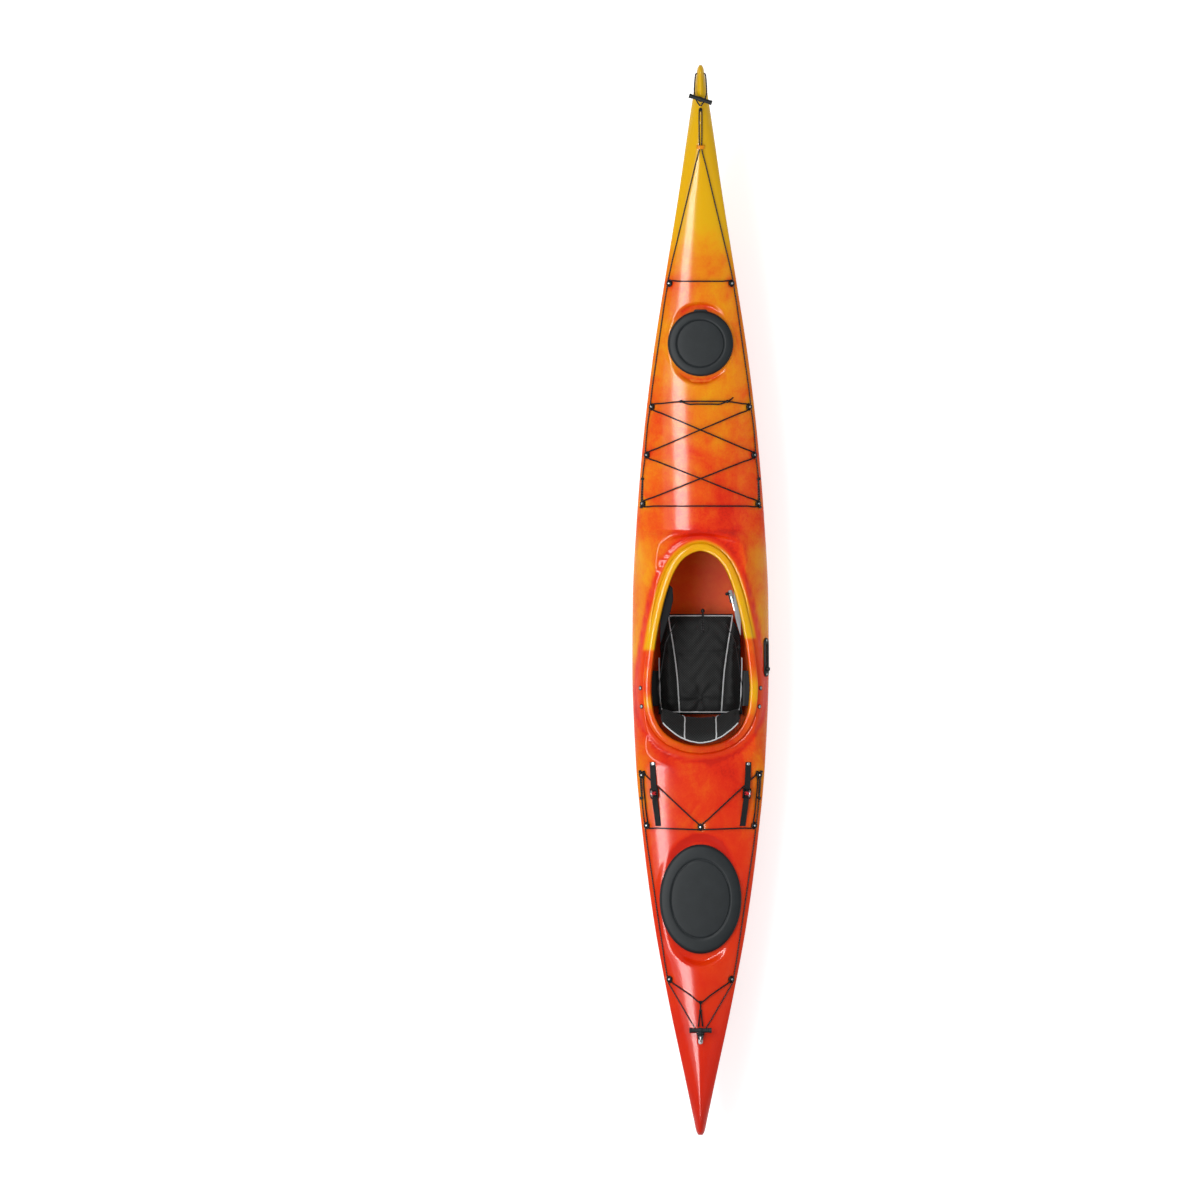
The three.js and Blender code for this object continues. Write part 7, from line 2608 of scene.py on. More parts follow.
@dataclass(frozen=True)
class SoftPad:
    """How a pad is swelled by cloth simulation."""

    voxel: float = 0.006
    pressure: float = 4.0
    cap: float = 0.006
    frames: int = 20

    def swell(self, thing: bpy.types.Object, floor: float | None = None) -> None:
        """Swells a pad, then subdivides it once.

        Args:
            thing: The pad, as one closed form.
            floor: The height below which it stays as it is, where it lies on something.
        """
        self.bake(thing, "REMESH", mode="VOXEL", voxel_size=self.voxel)
        rest = points_of(thing)
        cloth = thing.modifiers.new("fill", "CLOTH")
        cloth.settings.use_pressure = True
        cloth.settings.uniform_pressure_force = self.pressure
        cloth.settings.effector_weights.gravity = 0
        cloth.point_cache.frame_end = self.frames
        scene = bpy.context.scene
        for number in range(1, self.frames + 1):
            scene.frame_set(number)
        graph = bpy.context.evaluated_depsgraph_get()
        swollen = points_of(thing.evaluated_get(graph))
        thing.modifiers.clear()
        scene.frame_set(1)
        move = swollen - rest
        far = np.linalg.norm(move, axis=1, keepdims=True)
        move *= np.minimum(1, self.cap / np.maximum(far, NEAR_ZERO))
        if floor is not None:
            move *= smooth(rest[:, 2:], floor, floor + 3 * self.voxel)
        set_points(thing, rest + move)
        self.bake(thing, "SUBSURF", levels=1, render_levels=1)
        shade(thing)

    def bake(self, thing: bpy.types.Object, kind: str, **settings: object) -> None:
        """Applies one modifier to a piece's mesh.

        Args:
            thing: The piece.
            kind: The modifier's type.
            settings: Its settings by name.
        """
        modifier = thing.modifiers.new("shape", kind)
        for name, value in settings.items():
            setattr(modifier, name, value)
        graph = bpy.context.evaluated_depsgraph_get()
        made = bpy.data.meshes.new_from_object(thing.evaluated_get(graph))
        thing.modifiers.clear()
        old, thing.data = thing.data, made
        bpy.data.meshes.remove(old)


def points_of(thing: bpy.types.Object) -> Array:
    """The points of an object's mesh.

    Args:
        thing: The object.

    Returns:
        One row for each point.
    """
    flat = np.empty(3 * len(thing.data.vertices), np.float32)
    thing.data.vertices.foreach_get("co", flat)
    return flat.reshape(-1, 3).astype(float)


def set_points(thing: bpy.types.Object, points: Array) -> None:
    """Moves the points of an object's mesh."""
    thing.data.vertices.foreach_set("co", points.astype(np.float32).ravel())
    thing.data.update()


@dataclass(frozen=True)
class Seat(SubAssembly):
    """The padded seat and backrest, with their piping, tufts and folds."""

    opening_front_share: float = 0.0915
    behind_front: float = 0.269
    length: float = 0.428
    front_width: float = 0.272
    rear_width: float = 0.360
    rise: float = 0.052
    pan: float = 0.005
    corner: float = 0.026
    front_rise: float = 0.034
    cushion: float = 0.040
    bolster: float = 0.022
    bolster_rise: float = 0.040
    crown: float = 0.008
    channel: float = 0.008
    seam_width: float = 0.010
    seam_sag: float = 0.012
    bolster_seam: float = 0.009
    # Folds round each tuft: how far from it they are deepest, how far they reach and their depth
    fold_away: float = 0.055
    fold_reach: float = 0.045
    fold_depth: float = 0.0022
    wave_depth: float = 0.0018
    tuft: float = 0.013
    tuft_radius: float = 0.026
    piping: float = 0.0028
    seams: tuple[float, ...] = (0.16, 0.64)
    tufts: tuple[tuple[float, float], ...] = ((0.672, 0.9), (0.672, -0.9), (0.165, 0))
    roll: float = 0.010
    # Half of the cushion's width, and where its inner seams run, by share of its length from the rear
    halves: Pairs = ((0, 0.146), (0.02, 0.160), (0.06, 0.172), (0.12, 0.177), (0.26, 0.179), (0.5, 0.182),
                     (0.74, 0.180), (0.83, 0.172), (0.92, 0.155), (1, 0.140))
    inners: Pairs = ((0, 0.089), (0.38, 0.100), (0.72, 0.119), (0.93, 0.134), (1, 0.137))
    patch_middle: tuple[float, float] = (-0.113, -0.010)
    patch_length: float = 0.070
    patch_width: float = 0.050
    # Where piping runs, by share of the cushion's length: along the bolsters, down each side, and across
    bolster_run: tuple[float, float] = (0.02, 0.985)
    side_run: tuple[float, float] = (0.56, 0.035)
    front_run: float = 0.982
    rear_run: float = 0.022
    # Half of the piping's length across the front and the rear, and how far apart its points lie
    front_pipe: float = 0.13
    rear_pipe: float = 0.14
    pipe_spacing: float = 0.005
    # A button's rings: radius and height over the cloth
    button: Pairs = ((0.0095, -0.003), (0.0105, 0), (0.0095, 0.0022), (0.0065, 0.0036), (0.003, 0.0042),
                     (0.0005, 0.0043))
    lift_cord: float = 0.0022
    lift_spacing: float = 0.003
    lift_bead: float = 0.0085
    back_width: float = 0.334
    back_height: float = 0.176
    back_thickness: float = 0.038
    # How much thinner the backrest is cut than it swells to, and how far it may swell
    back_room: float = 0.002
    back_swell: float = 0.004
    back_channel: float = 0.005
    back_channel_width: float = 0.008
    back_wave: float = 0.0016
    sweep: float = 0.092
    lean: float = 17.0
    foot_rise: float = 0.029
    foot_behind: float = 0.011
    ear_length: float = 0.052
    ear_rise: float = 0.040
    back_pipe_share: float = 0.4
    lumbar: float = 0.056

    @property
    def front(self) -> float:
        """The seat's front along the hull."""
        return self.opening_front_share * self.hull.half - self.behind_front

    @property
    def rear(self) -> float:
        """The seat's rear along the hull."""
        return self.front - self.length

    @property
    def bottom(self) -> float:
        """The height of the cushion's underside."""
        return self.hull.lift + self.rise + self.pan + self.clearance

    @property
    def over_pan(self) -> float:
        """How far over its underside the cushion clears the walls of its pan."""
        return self.bolster_rise - self.pan + 2 * self.clearance

    def pan_half(self, along: float) -> float:
        """Half of the width between the pan's walls, at a share of its length from the rear."""
        return blend(self.rear_width, self.front_width, along) / 2 - self.pan - 2 * self.clearance

    def half_width(self, along: Array | float) -> Array:
        """Half of the cushion's width, at a share of its length from the rear."""
        return through_points(self.halves)(along)

    def inner_line(self, along: Array | float) -> Array:
        """How far out the bolsters' inner seams run."""
        return through_points(self.inners)(along)

    def shape(self, along: float, across: Array) -> Array:
        """The height of the cushion's plain top over its underside.

        Args:
            along: The place along the cushion, 0 at its rear and 1 at its front.
            across: Places across it, from -1 to 1.

        Returns:
            The heights.
        """
        end = 1 - abs(2 * along - 1) ** 8
        full = (1 - np.abs(across) ** 8) * end
        inner = float(self.inner_line(along) / self.half_width(along))
        raised = smooth(np.abs(across), inner - 0.06, min(inner + 0.22, 1.02)) * full
        return (blend(self.over_pan, self.cushion, full) + raised * self.bolster
                + self.crown * (1 - across ** 2) * (1 - (2 * along - 1) ** 2)
                + along ** 3 * end * self.front_rise * 0.4)

    def dents(self, points: Array) -> Array:
        """How deep the seams, channels, tufts and folds press the cushion in at each of its points.

        Args:
            points: The cushion's points.

        Returns:
            The depths.
        """
        along = np.clip((points[:, 0] - self.rear) / self.length, 0, 1)
        across = points[:, 1] / self.half_width(along)
        end = 1 - np.abs(2 * along - 1) ** 8
        deep = self.channel * bump(np.abs(points[:, 1]) - self.inner_line(along), self.bolster_seam) * end
        for seam in self.seams:
            sag = self.seam_sag * (1 - across ** 2)
            deep += 0.5 * self.channel * bump((along - seam) * self.length + sag, self.seam_width)
        for tuft_along, tuft_across in self.tufts:
            dx = (along - tuft_along) * self.length
            dy = (across - tuft_across) * self.half_width(along)
            away = np.hypot(dx, dy)
            deep += self.tuft * bump(away, self.tuft_radius) * (0.4 + 0.6 * end)
            folds = np.sin(np.arctan2(dy, dx) * 7 + 0.6) * bump(away - self.fold_away, self.fold_reach)
            deep += self.fold_depth * folds
        ripple = np.sin(points[:, 0] * 95 + 3 * np.sin(points[:, 1] * 31))
        wave = self.wave_depth * ripple * np.sin(points[:, 1] * 58 + 1)
        return deep + wave * (np.abs(across) < 0.95) * end

    def build_cushion(self) -> None:
        """Makes the cushion, swells it, then sews in its seams and tufts and adds piping and buttons."""
        low, columns = self.bottom, 36
        rows = []
        for along in np.linspace(0, 1, 31):
            x = self.rear + self.pan + along * (self.length - 2 * self.pan)
            half = float(self.half_width(along))
            side = min(self.pan_half(along), half)
            foot, brim = side - self.corner, max(half - self.roll, side)
            under = [(x, -brim, low + self.over_pan), (x, -side, low + self.over_pan),
                     (x, -side, low + self.corner)]
            under += [(x, y, low) for y in np.linspace(-foot, foot, 8)]
            under += [(x, y, z) for _, y, z in [(x, -y, z) for x, y, z in under[2::-1]]]
            across = np.linspace(1, -1, columns + 1)
            high = np.maximum(self.shape(along, across), self.over_pan + self.roll * 0.6)
            rows.append(np.array(under + [(x, a * half, low + h) for a, h in zip(across, high)]))
        maker = MeshMaker()
        maker.loft(rows)
        thing = maker.piece("seat_pad", [self.finishes.mesh_cloth])
        tidy_normals(thing)
        SoftPad().swell(thing, low + self.over_pan - self.roll)
        points = points_of(thing)
        top = smooth(points[:, 2], low + self.over_pan, low + self.over_pan + self.roll / 2)
        points[:, 2] -= self.dents(points) * top
        set_points(thing, points)
        shade(thing)
        seat_piece(thing, "hull", "seat_fabric", "seat_cushion")
        self.trim_cushion(thing)

    def top_of(self, tree: BVHTree, x: float, y: float) -> Array:
        """The point of the pad's top over a place in the plan."""
        hit = tree.ray_cast(Vector((x, y, self.bottom + 1)), Vector((0, 0, -1)))[0]
        return np.array(hit) if hit else np.array((x, y, self.bottom + self.cushion))

    def pipe(self, maker: MeshMaker, route: list[Array]) -> None:
        """Lays one length of piping."""
        maker.tube(smooth_route(np.array(route), self.pipe_spacing), self.piping, 0, 8)

    def trim_cushion(self, pad: bpy.types.Object) -> None:
        """Lays piping along the cushion's sewn lines and sews its buttons on.

        Args:
            pad: The finished pad.
        """
        tree = BVHTree.FromObject(pad, bpy.context.evaluated_depsgraph_get())
        maker = MeshMaker()
        bolster = np.linspace(*self.bolster_run, 26)
        lines = [[(a, side * float(self.inner_line(a))) for a in bolster] for side in (1, -1)]
        lines.append([(self.front_run, y) for y in np.linspace(-self.front_pipe, self.front_pipe, 24)])
        port = [(a, float(self.half_width(a)) - self.roll / 2) for a in np.linspace(*self.side_run, 18)]
        rear = [(self.rear_run, y) for y in np.linspace(self.rear_pipe, -self.rear_pipe, 20)]
        lines.append(port + rear + [(a, -y) for a, y in port[::-1]])
        for line in lines:
            route = []
            for along, y in line:
                route.append(self.top_of(tree, self.rear + along * self.length, y)
                             + (0, 0, self.piping * 0.35))
            self.pipe(maker, route)
        for along, across in self.tufts:
            x = self.rear + along * self.length
            point = self.top_of(tree, x, across * float(self.half_width(along)))
            seat = frame_from(point, UP, AHEAD)
            maker.lathe(seat, self.button, 20, 1)
        self.lift_loop(maker, tree)
        self.finish(maker, "seat_piping", "hull", "seat_fabric",
                    [self.finishes.piping, self.finishes.mesh_cloth, self.finishes.line, self.finishes.nylon],
                    (), 60, 0)

    def lift_loop(self, maker: MeshMaker, tree: BVHTree) -> None:
        """Adds the patch sewn on the cushion's front, and the cord through it with a bead at each end.

        Args:
            maker: The mesh that takes the shape.
            tree: The cushion's faces, to find its top by.
        """
        x, y = self.patch_middle
        radius, bead = self.lift_cord, self.lift_bead
        middle = self.top_of(tree, x, y)
        ends = [self.top_of(tree, x + way * self.patch_length / 3, y) for way in (1, -1)]
        seat = frame_from(middle, unit(np.cross(ends[0] - ends[1], (0, 1.0, 0))), ends[0] - ends[1])
        maker.plate(seat, oval(self.patch_length, self.patch_width, 36), -radius, radius * 0.8, 1, (),
                    radius / 3)
        maker.plate(seat, oval(self.patch_length * 0.8, self.patch_width * 0.7, 36), 0, radius * 1.1, 1, (),
                    radius / 4)
        tip = self.top_of(tree, self.front - self.roll, y)
        outside = tip + (1.6 * bead + self.roll, 0, -bead / 2)
        for side in (1, -1):
            route = [spot + (0, side * radius * 1.3, 2 * radius) for spot in (ends[1], middle, ends[0], tip)]
            maker.tube(smooth_route(np.array(route + [outside]), self.lift_spacing), radius, 2, 8)
        for spot, size in ((outside, bead), (ends[1] + (0, 0, 2 * radius), bead * 0.6)):
            ball = frame_from(spot, UP, AHEAD)
            maker.ball(ball, size, 0.2, 3, 1.15)

    def back_point(self, across: float, height: float, out: float) -> Array:
        """A point of the backrest, from its place across, its height and how far it lies to the front.

        Args:
            across: The place across it, from -1 to 1.
            height: The height over its foot.
            out: How far the point lies to the front.

        Returns:
            The point.
        """
        hinge_x = self.rear - self.ear_length
        hinge_z = self.hull.lift + self.rise + self.bolster_rise + self.ear_rise
        lean = height * math.tan(math.radians(self.lean))
        x = hinge_x - self.foot_behind + self.sweep * across ** 2 - lean + out
        return np.array((x, across * self.back_width / 2, hinge_z + self.foot_rise + height))

    def push(self, across: float, height: float) -> float:
        """How far the lumbar padding pushes the backrest's front forward."""
        return self.lumbar * (1 - across ** 2) * max(0.0, 1 - height / self.back_height)

    def build_back(self) -> None:
        """Makes the backrest's pad with its two channels, then its piping."""
        rows = []
        half = self.back_height / 2
        for share in np.linspace(-1, 1, 37):
            end = math.sqrt(1 - 0.82 * share ** 6)
            ring = []
            for j in range(28):
                angle = math.pi / 2 - j / 28 * 2 * math.pi
                up = math.copysign(abs(math.sin(angle)) ** 0.55, math.sin(angle))
                out = math.copysign(abs(math.cos(angle)) ** 0.55, math.cos(angle))
                height = half + up * half * (0.72 + 0.28 * end)
                forward = out * (self.back_thickness / 2 - self.back_room) * end
                forward += max(out, 0.0) * self.push(share, height)
                ring.append(self.back_point(share, height, forward))
            rows.append(np.array(ring))
        maker = MeshMaker()
        maker.loft(rows)
        thing = maker.piece("backrest_cushion", [self.finishes.mesh_cloth])
        tidy_normals(thing)
        SoftPad(cap=self.back_swell).swell(thing)
        points = points_of(thing)
        across = points[:, 1] / (self.back_width / 2)
        middle = np.array([self.back_point(a, z, 0.0) for a, z in zip(across, points[:, 2] * 0)])
        height = points[:, 2] - middle[:, 2]
        spine = middle[:, 0] - height * math.tan(math.radians(self.lean))
        front = smooth(points[:, 0] - spine, 0.0, self.back_thickness / 3)
        beside = (np.abs(across) - self.back_pipe_share) * self.back_width / 2
        dent = self.back_channel * bump(beside, self.back_channel_width)
        dent += self.back_wave * np.sin(height * 70) * bump(np.abs(across) - self.back_pipe_share, 0.2)
        points[:, 0] -= dent * front
        set_points(thing, points)
        shade(thing)
        seat_piece(thing, "backrest", "seat_fabric", "backrest_pad")
        self.trim_back(thing)

    def trim_back(self, pad: bpy.types.Object) -> None:
        """Lays piping along the backrest's top edge, down its channels and round its front.

        Args:
            pad: The finished pad.
        """
        tree = BVHTree.FromObject(pad, bpy.context.evaluated_depsgraph_get())
        maker = MeshMaker()
        radius, half = self.piping, self.back_thickness / 2

        def near(spot: Array) -> Array:
            """The nearest point of the pad, a little off its cloth."""
            hit, normal, *_ = tree.find_nearest(Vector(spot.tolist()))
            return np.array(hit) + np.array(normal) * radius * 0.3

        route = [near(self.back_point(a, self.back_height * (1.0 - 0.12 * a ** 8), -0.45 * half))
                 for a in np.linspace(-0.95, 0.95, 44)]
        self.pipe(maker, route)
        for share in (self.back_pipe_share, -self.back_pipe_share):
            route = []
            for high, out in ((0.08, 1), (0.3, 1), (0.6, 1), (0.85, 1), (0.98, 0.7), (1, 0), (0.98, -0.45)):
                height = self.back_height * high
                forward = half * out + max(out, 0) * self.push(share, height)
                route.append(near(self.back_point(share, height, forward)))
            self.pipe(maker, route)
        self.finish(maker, "backrest_piping", "backrest", "seat_fabric", [self.finishes.piping], (), 180, 0)

    def build(self) -> None:
        """Makes the seat's soft pieces."""
        self.build_cushion()
        self.build_back()


def round_edge(share: float) -> float:
    """How thick a round edge is at a share of the way in from it, at least a fifth."""
    return math.sqrt(max(0.04, 1 - (1 - share) ** 2))


@dataclass(frozen=True)
class ThighBraces(SubAssembly):
    """The brace under each side of the cockpit's rim, and the ratchet beside the starboard one."""

    edge_round: float = 0.012
    swell: float = 0.003
    # Places forward of the hull's middle, and how far out each brace's inner edge lies there
    port_edge: Pairs = ((-0.181, 0.169), (-0.128, 0.153), (-0.043, 0.127), (0.008, 0.117), (0.050, 0.119),
                        (0.064, 0.132))
    starboard_edge: Pairs = ((-0.150, 0.170), (-0.128, 0.163), (-0.100, 0.155), (-0.064, 0.147),
                             (0.0, 0.143), (0.064, 0.140))
    ladder_length: float = 0.078
    ladder_width: float = 0.013
    tooth: float = 0.0022
    teeth: int = 11
    knob: float = 0.0075

    def brace(self, node: str, edge: Pairs, side: int, finish: bpy.types.Material, slot: str) -> None:
        """Makes one brace: a pad as thick as its CAD solid, with a round inner edge.

        Args:
            node: The CAD node that it replaces.
            edge: Places along its inner edge.
            side: 1 for port, -1 for starboard.
            finish: Its material.
            slot: The record's material slot.
        """
        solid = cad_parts[node].data
        tree = BVHTree.FromPolygons([v.co[:] for v in solid.vertices],
                                    [p.vertices[:] for p in solid.polygons])
        low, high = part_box(node)
        gap = self.clearance
        inner = through_points(edge)
        outer = max(abs(low.y), abs(high.y)) - gap
        shares = 1 - np.cos(np.linspace(0, math.pi / 2, 14))
        rows = []
        for x in np.linspace(edge[0][0] + gap, edge[-1][0] - gap, 44):
            end = min(1.0, (x - edge[0][0]) / self.edge_round, (edge[-1][0] - x) / self.edge_round)
            top, under = [], []
            for share in shares:
                y = side * blend(float(inner(x)), outer, share)
                where = Vector((min(max(x, low.x + gap), high.x - gap), y, 0))
                down = tree.ray_cast(where + Vector((0, 0, 1)), Vector((0, 0, -1)))[0]
                up = tree.ray_cast(where, Vector((0, 0, 1)))[0]
                z_top, z_low = (down.z, up.z) if down and up else (high.z, high.z - self.edge_round / 2)
                close = min(1.0, share * abs(outer - float(inner(x))) / self.edge_round)
                full = round_edge(close) * round_edge(end)
                middle = (z_top + z_low) / 2
                thick = (z_top - z_low) / 2 * full
                top.append((x, y, middle + thick - gap))
                under.append((x, y, middle - thick - self.swell * full))
            rows.append(np.array(top + under[::-1]))
        maker = MeshMaker()
        maker.loft(rows)
        self.finish(maker, node.replace("thigh", "padded"), "hull", slot, [finish], [node], 50)

    def ratchet(self) -> None:
        """Makes the ratchet: a pale strap with teeth, its body, a lever plate and a knob on a stalk."""
        low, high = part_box("backrest_ratchet")
        middle = (low + high) / 2
        tall = high.z - low.z
        seat = Matrix.Translation((middle.x, middle.y, low.z)) @ Matrix.Rotation(math.radians(14), 4, "Z")
        maker = MeshMaker()
        maker.plate(seat, rounded(tall * 4.4, tall * 1.7, tall / 2), 0, tall * 0.25, 0, (), tall / 12)
        strap = moved(seat, -self.ladder_length * 0.3, -self.ladder_width / 3, tall * 0.25)
        maker.plate(strap, rounded(self.ladder_length, self.ladder_width, self.tooth), 0, self.tooth, 1, (),
                    self.tooth / 4)
        for i in range(self.teeth):
            tooth = moved(strap, (i + 1 - (self.teeth + 1) / 2) * self.ladder_length / (self.teeth + 1), 0,
                          self.tooth)
            maker.plate(tooth, rounded(self.tooth * 1.3, self.ladder_width * 0.75, self.tooth / 3, 2),
                        -self.tooth / 4, self.tooth * 0.7, 0, (), self.tooth / 5)
        lever = moved(seat, tall * 1.3, -tall * 0.2, tall * 0.62)
        maker.plate(lever, rounded(tall * 2.2, tall * 1.3, tall / 3), 0, tall * 0.2, 2, (), tall / 14)
        stalk = placed(lever, ((0, tall * 0.3, tall * 0.1), (tall * 0.3, tall, tall * 0.1),
                               (tall * 0.1, tall * 1.4, 0)))
        maker.tube(smooth_route(stalk, self.tooth), self.tooth)
        maker.ball(moved(lever, tall * 0.1, tall * 1.4, 0), self.knob, 0.2)
        self.finish(maker, "ratchet_and_ladder", "hull", "plastic",
                    [self.finishes.nylon, self.finishes.steel, self.finishes.grey_plastic],
                    ["backrest_ratchet"])

    def build(self) -> None:
        """Makes both braces and the ratchet."""
        self.brace("thigh_brace_port", self.port_edge, 1, self.finishes.foam, "foam")
        self.brace("thigh_brace_starboard", self.starboard_edge, -1, self.finishes.grey_plastic, "foam")
        self.ratchet()


@dataclass(frozen=True)
class SideBolts(SubAssembly):
    """The bolts through the hull that hold the seat and the foot rails, each on a washer."""

    radius: float = 0.0065
    height: float = 0.0028
    washer: float = 1.55
    slope_step: float = 0.004
    # Places from the middle of the hull forward, and how far each lies out from the keel or over it
    seat_bolts: Pairs = ((-0.376, 0.257), (-0.455, 0.252))
    rail_bolts: Pairs = ((0.760, 0.152), (0.423, 0.139))

    def bolt(self, maker: MeshMaker, seat: Matrix) -> None:
        """Adds one bolt head on its washer.

        Args:
            maker: The mesh that takes the shape.
            seat: The frame on the surface, with z outwards.
        """
        high = self.height / 3
        maker.lathe(seat, [(self.radius * self.washer, -high), (self.radius * self.washer, high * 0.6),
                           (self.radius * self.washer * 0.9, high), (self.radius * 0.6, high)], 24, 1)
        maker.screw(moved(seat, 0, 0, high), self.radius, self.height, 0)

    def side_seat(self, x: float, height: float, side: int) -> Matrix:
        """The frame of a bolt in the hull's side.

        Args:
            x: Its place along the hull.
            height: Its height over the keel.
            side: 1 for port, -1 for starboard.

        Returns:
            The frame, with z outwards.
        """
        hull = self.hull
        turns = side * np.linspace(0.3, 1, 300)
        spots = hull.bottom(np.full(len(turns), x), turns)
        turn = float(np.interp(height + hull.lift, spots[:, 2], turns))
        step = self.slope_step
        here = hull.bottom(x, turn)
        ahead = hull.bottom(x + step, turn) - hull.bottom(x - step, turn)
        up = hull.bottom(x, turn + side * step) - hull.bottom(x, turn - side * step)
        normal = unit(np.cross(ahead, up))
        return frame_from(here, normal if normal[1] * side > 0 else -normal, AHEAD)

    def build(self) -> None:
        """Makes every bolt."""
        maker = MeshMaker()
        for side in (1, -1):
            for x, y in self.seat_bolts:
                self.bolt(maker, self.hull.seat_at(x, side * y))
            for x, height in self.rail_bolts:
                self.bolt(maker, self.side_seat(x, height, side))
        self.finish(maker, "hull_bolts", "hull", "steel", [self.finishes.steel, self.finishes.nylon])


class Edge(Enum):
    """How round a kept solid's edges are, in metres."""

    SHARP = 0.0003
    MOULDED = 0.0012
    SOFT = 0.003


@dataclass(frozen=True)
class KeptPieces(SubAssembly):
    """The solids that keep their own shape and only take a finish and rounder edges."""

    def build(self) -> None:
        """Dresses each kept solid."""
        finishes = self.finishes
        table = [
            (("bow_bulkhead", "stern_bulkhead"), finishes.foam, Edge.SOFT),
            (("skeg_box", "skeg_cable", "foot_rail_port", "foot_rail_starboard"), finishes.hdpe,
             Edge.MOULDED),
            (("skeg_blade",), finishes.hdpe, Edge.MOULDED),
            (("skeg_pivot_pin", "backrest_pin_port", "backrest_pin_starboard"), finishes.steel, Edge.SHARP),
            (("seat_pan", "backrest_plate"), finishes.hdpe, Edge.MOULDED),
            (("backrest_strap_port", "backrest_strap_starboard"), finishes.webbing, Edge.SHARP),
            (("foot_pedal_port", "foot_pedal_starboard"), finishes.nylon, Edge.MOULDED),
        ]
        for nodes, material, edge in table:
            for node in nodes:
                self.dress(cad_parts[node], material, edge)

    def dress(self, thing: bpy.types.Object, material: bpy.types.Material, edge: Edge) -> None:
        """Gives one solid its finish and rounds its edges.

        Args:
            thing: The solid.
            material: Its finish.
            edge: How round its edges are.
        """
        thing.data.materials.clear()
        thing.data.materials.append(material)
        rounding = thing.modifiers.new("rounded_edges", "BEVEL")
        rounding.width = edge.value
        rounding.segments = 2
        rounding.limit_method = "ANGLE"
        rounding.angle_limit = math.radians(35)
        rounding.harden_normals = True
        log.info("%s: kept, with %s", thing.name, material.name)


# Studio

@dataclass(frozen=True)
class Softbox:
    """A soft lamp with its place, size and power, and whether it lights only what mirrors it."""

    name: str
    place: tuple[float, float, float]
    size: tuple[float, float]
    power: float
    mirrored_only: bool = False


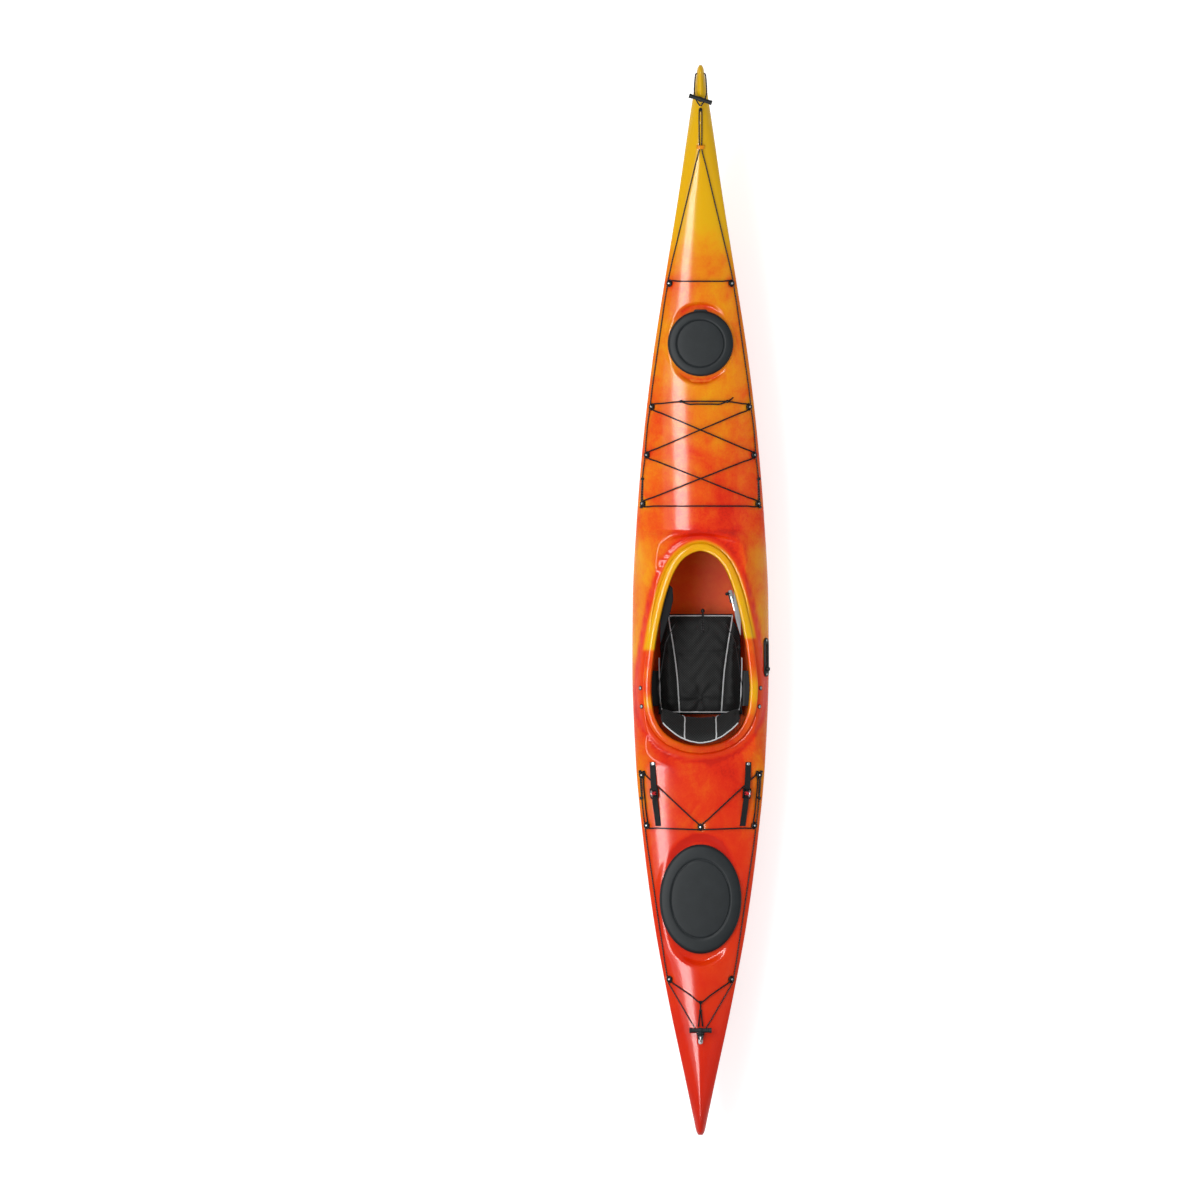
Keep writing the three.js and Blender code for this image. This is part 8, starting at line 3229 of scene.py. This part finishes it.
@dataclass(frozen=True)
class Studio:
    """The camera over the deck, the pale floor and the soft lamps."""

    frame_width: float = 5.1252
    offset: float = 0.4292
    height: float = 6.0
    floor: float = 300.0
    white: float = 1.0
    grey: float = 0.8
    # Levels of the sky's light and the floor's glow, and the height that the lamps are turned to
    sky: float = 0.55
    glow: float = 0.6
    aim: float = 0.3
    softboxes: tuple[Softbox, ...] = (
        Softbox("port_key", (0.1, 1.6, 3.2), (5.2, 1.6), 84.0),
        Softbox("starboard_fill", (0, -3.0, 3.0), (5.0, 1.6), 8.0),
        Softbox("port_softbox", (0.1, 1.2, 3.0), (5.4, 0.62), 380.0, mirrored_only=True),
    )

    def build(self) -> None:
        """Builds the camera, the floor, the lamps and the world."""
        self.camera()
        self.ground()
        self.lamps()
        self.world()

    def camera(self) -> None:
        """Looks straight down, with the bow at the top."""
        lens = bpy.data.cameras.new("plan_camera")
        lens.type = "ORTHO"
        lens.ortho_scale = self.frame_width
        lens.clip_end = 4 * self.height
        thing = bpy.data.objects.new("plan_camera", lens)
        thing.location = (0, self.offset, self.height)
        thing.rotation_euler = (0, 0, -math.pi / 2)
        bpy.context.scene.collection.objects.link(thing)
        bpy.context.scene.camera = thing
        bpy.context.scene.view_settings.view_transform = "Standard"

    def seen(self, tree: bpy.types.NodeTree) -> bpy.types.NodeSocket:
        """Tells whether a ray comes from the camera, or from a mirror or glass.

        Args:
            tree: The node tree of the floor's or the sky's shader.

        Returns:
            A socket that is 1 for such a ray and 0 for others.
        """
        rays = add_node(tree, "ShaderNodeLightPath")
        first = add_node(tree, "ShaderNodeMath", {"operation": "MAXIMUM"},
                         {0: rays.outputs["Is Camera Ray"], 1: rays.outputs["Is Glossy Ray"]})
        return add_node(tree, "ShaderNodeMath", {"operation": "MAXIMUM"},
                        {0: first.outputs[0], 1: rays.outputs["Is Transmission Ray"]}).outputs[0]

    def ground(self) -> None:
        """Makes the pale floor, which shows white and keeps the kayak's shadow."""
        maker = MeshMaker()
        half = self.floor / 2
        maker.add(np.array([(-half, -half, 0), (half, -half, 0), (half, half, 0), (-half, half, 0)], float),
                  [(0, 1, 2, 3)])
        material = bpy.data.materials.new("pale_floor")
        material.use_nodes = True
        tree = material.node_tree
        tree.nodes.clear()
        matt = add_node(tree, "ShaderNodeBsdfDiffuse", {"Color": (self.grey, self.grey, self.grey, 1)})
        glow = add_node(tree, "ShaderNodeEmission", {"Color": (1, 1, 1, 1)})
        level = add_node(tree, "ShaderNodeMath", {"operation": "MULTIPLY", 1: self.glow},
                         {0: self.seen(tree)})
        tree.links.new(level.outputs[0], glow.inputs["Strength"])
        both = add_node(tree, "ShaderNodeAddShader", links={0: matt.outputs[0], 1: glow.outputs[0]})
        add_node(tree, "ShaderNodeOutputMaterial", links={"Surface": both.outputs[0]})
        maker.piece("studio_floor", [material])

    def lamps(self) -> None:
        """Hangs the softboxes, each turned to the kayak."""
        for box in self.softboxes:
            lamp = bpy.data.lights.new(box.name, "AREA")
            lamp.shape = "RECTANGLE"
            lamp.size, lamp.size_y = box.size
            lamp.energy = box.power
            thing = bpy.data.objects.new(box.name, lamp)
            thing.location = box.place
            way = Vector((0, -box.place[1], self.aim - box.place[2]))
            thing.rotation_euler = way.to_track_quat("-Z", "Y").to_euler()
            thing.visible_diffuse = not box.mirrored_only
            bpy.context.scene.collection.objects.link(thing)

    def world(self) -> None:
        """Lights the kayak with a plain grey sky that shows white behind it."""
        world = bpy.data.worlds.new("studio_sky")
        world.use_nodes = True
        tree = world.node_tree
        tree.nodes.clear()
        level = add_node(tree, "ShaderNodeMapRange", {"To Min": self.sky, "To Max": self.white},
                         {"Value": self.seen(tree)})
        sky = add_node(tree, "ShaderNodeBackground", {"Color": (1, 1, 1, 1)},
                       {"Strength": level.outputs["Result"]})
        add_node(tree, "ShaderNodeOutputWorld", links={"Surface": sky.outputs[0]})
        bpy.context.scene.world = world


def main() -> None:
    """Builds the camera and the stage, then the kayak's pieces in order."""
    Studio().build()
    finishes = Finishes.make()
    hull = HullLines(lift=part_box("hull_shell")[0].z)
    clips = ClipPlan()
    ring = SternRing(hull, clips, finishes)
    Cordage(hull, clips, finishes).build(ring)
    control = SkegControl(hull, clips, finishes)
    HullShell(hull, clips, finishes, control, ring).build()
    ring.build()
    for group in (BowToggle, HatchCovers, DeckClips, DeckStraps, Seat, ThighBraces, SideBolts, KeptPieces):
        log.info("%s", group.__doc__)
        group(hull, clips, finishes).build()
    control.build()


if __name__ == "__main__":
    logging.basicConfig(level=logging.INFO)
    main()
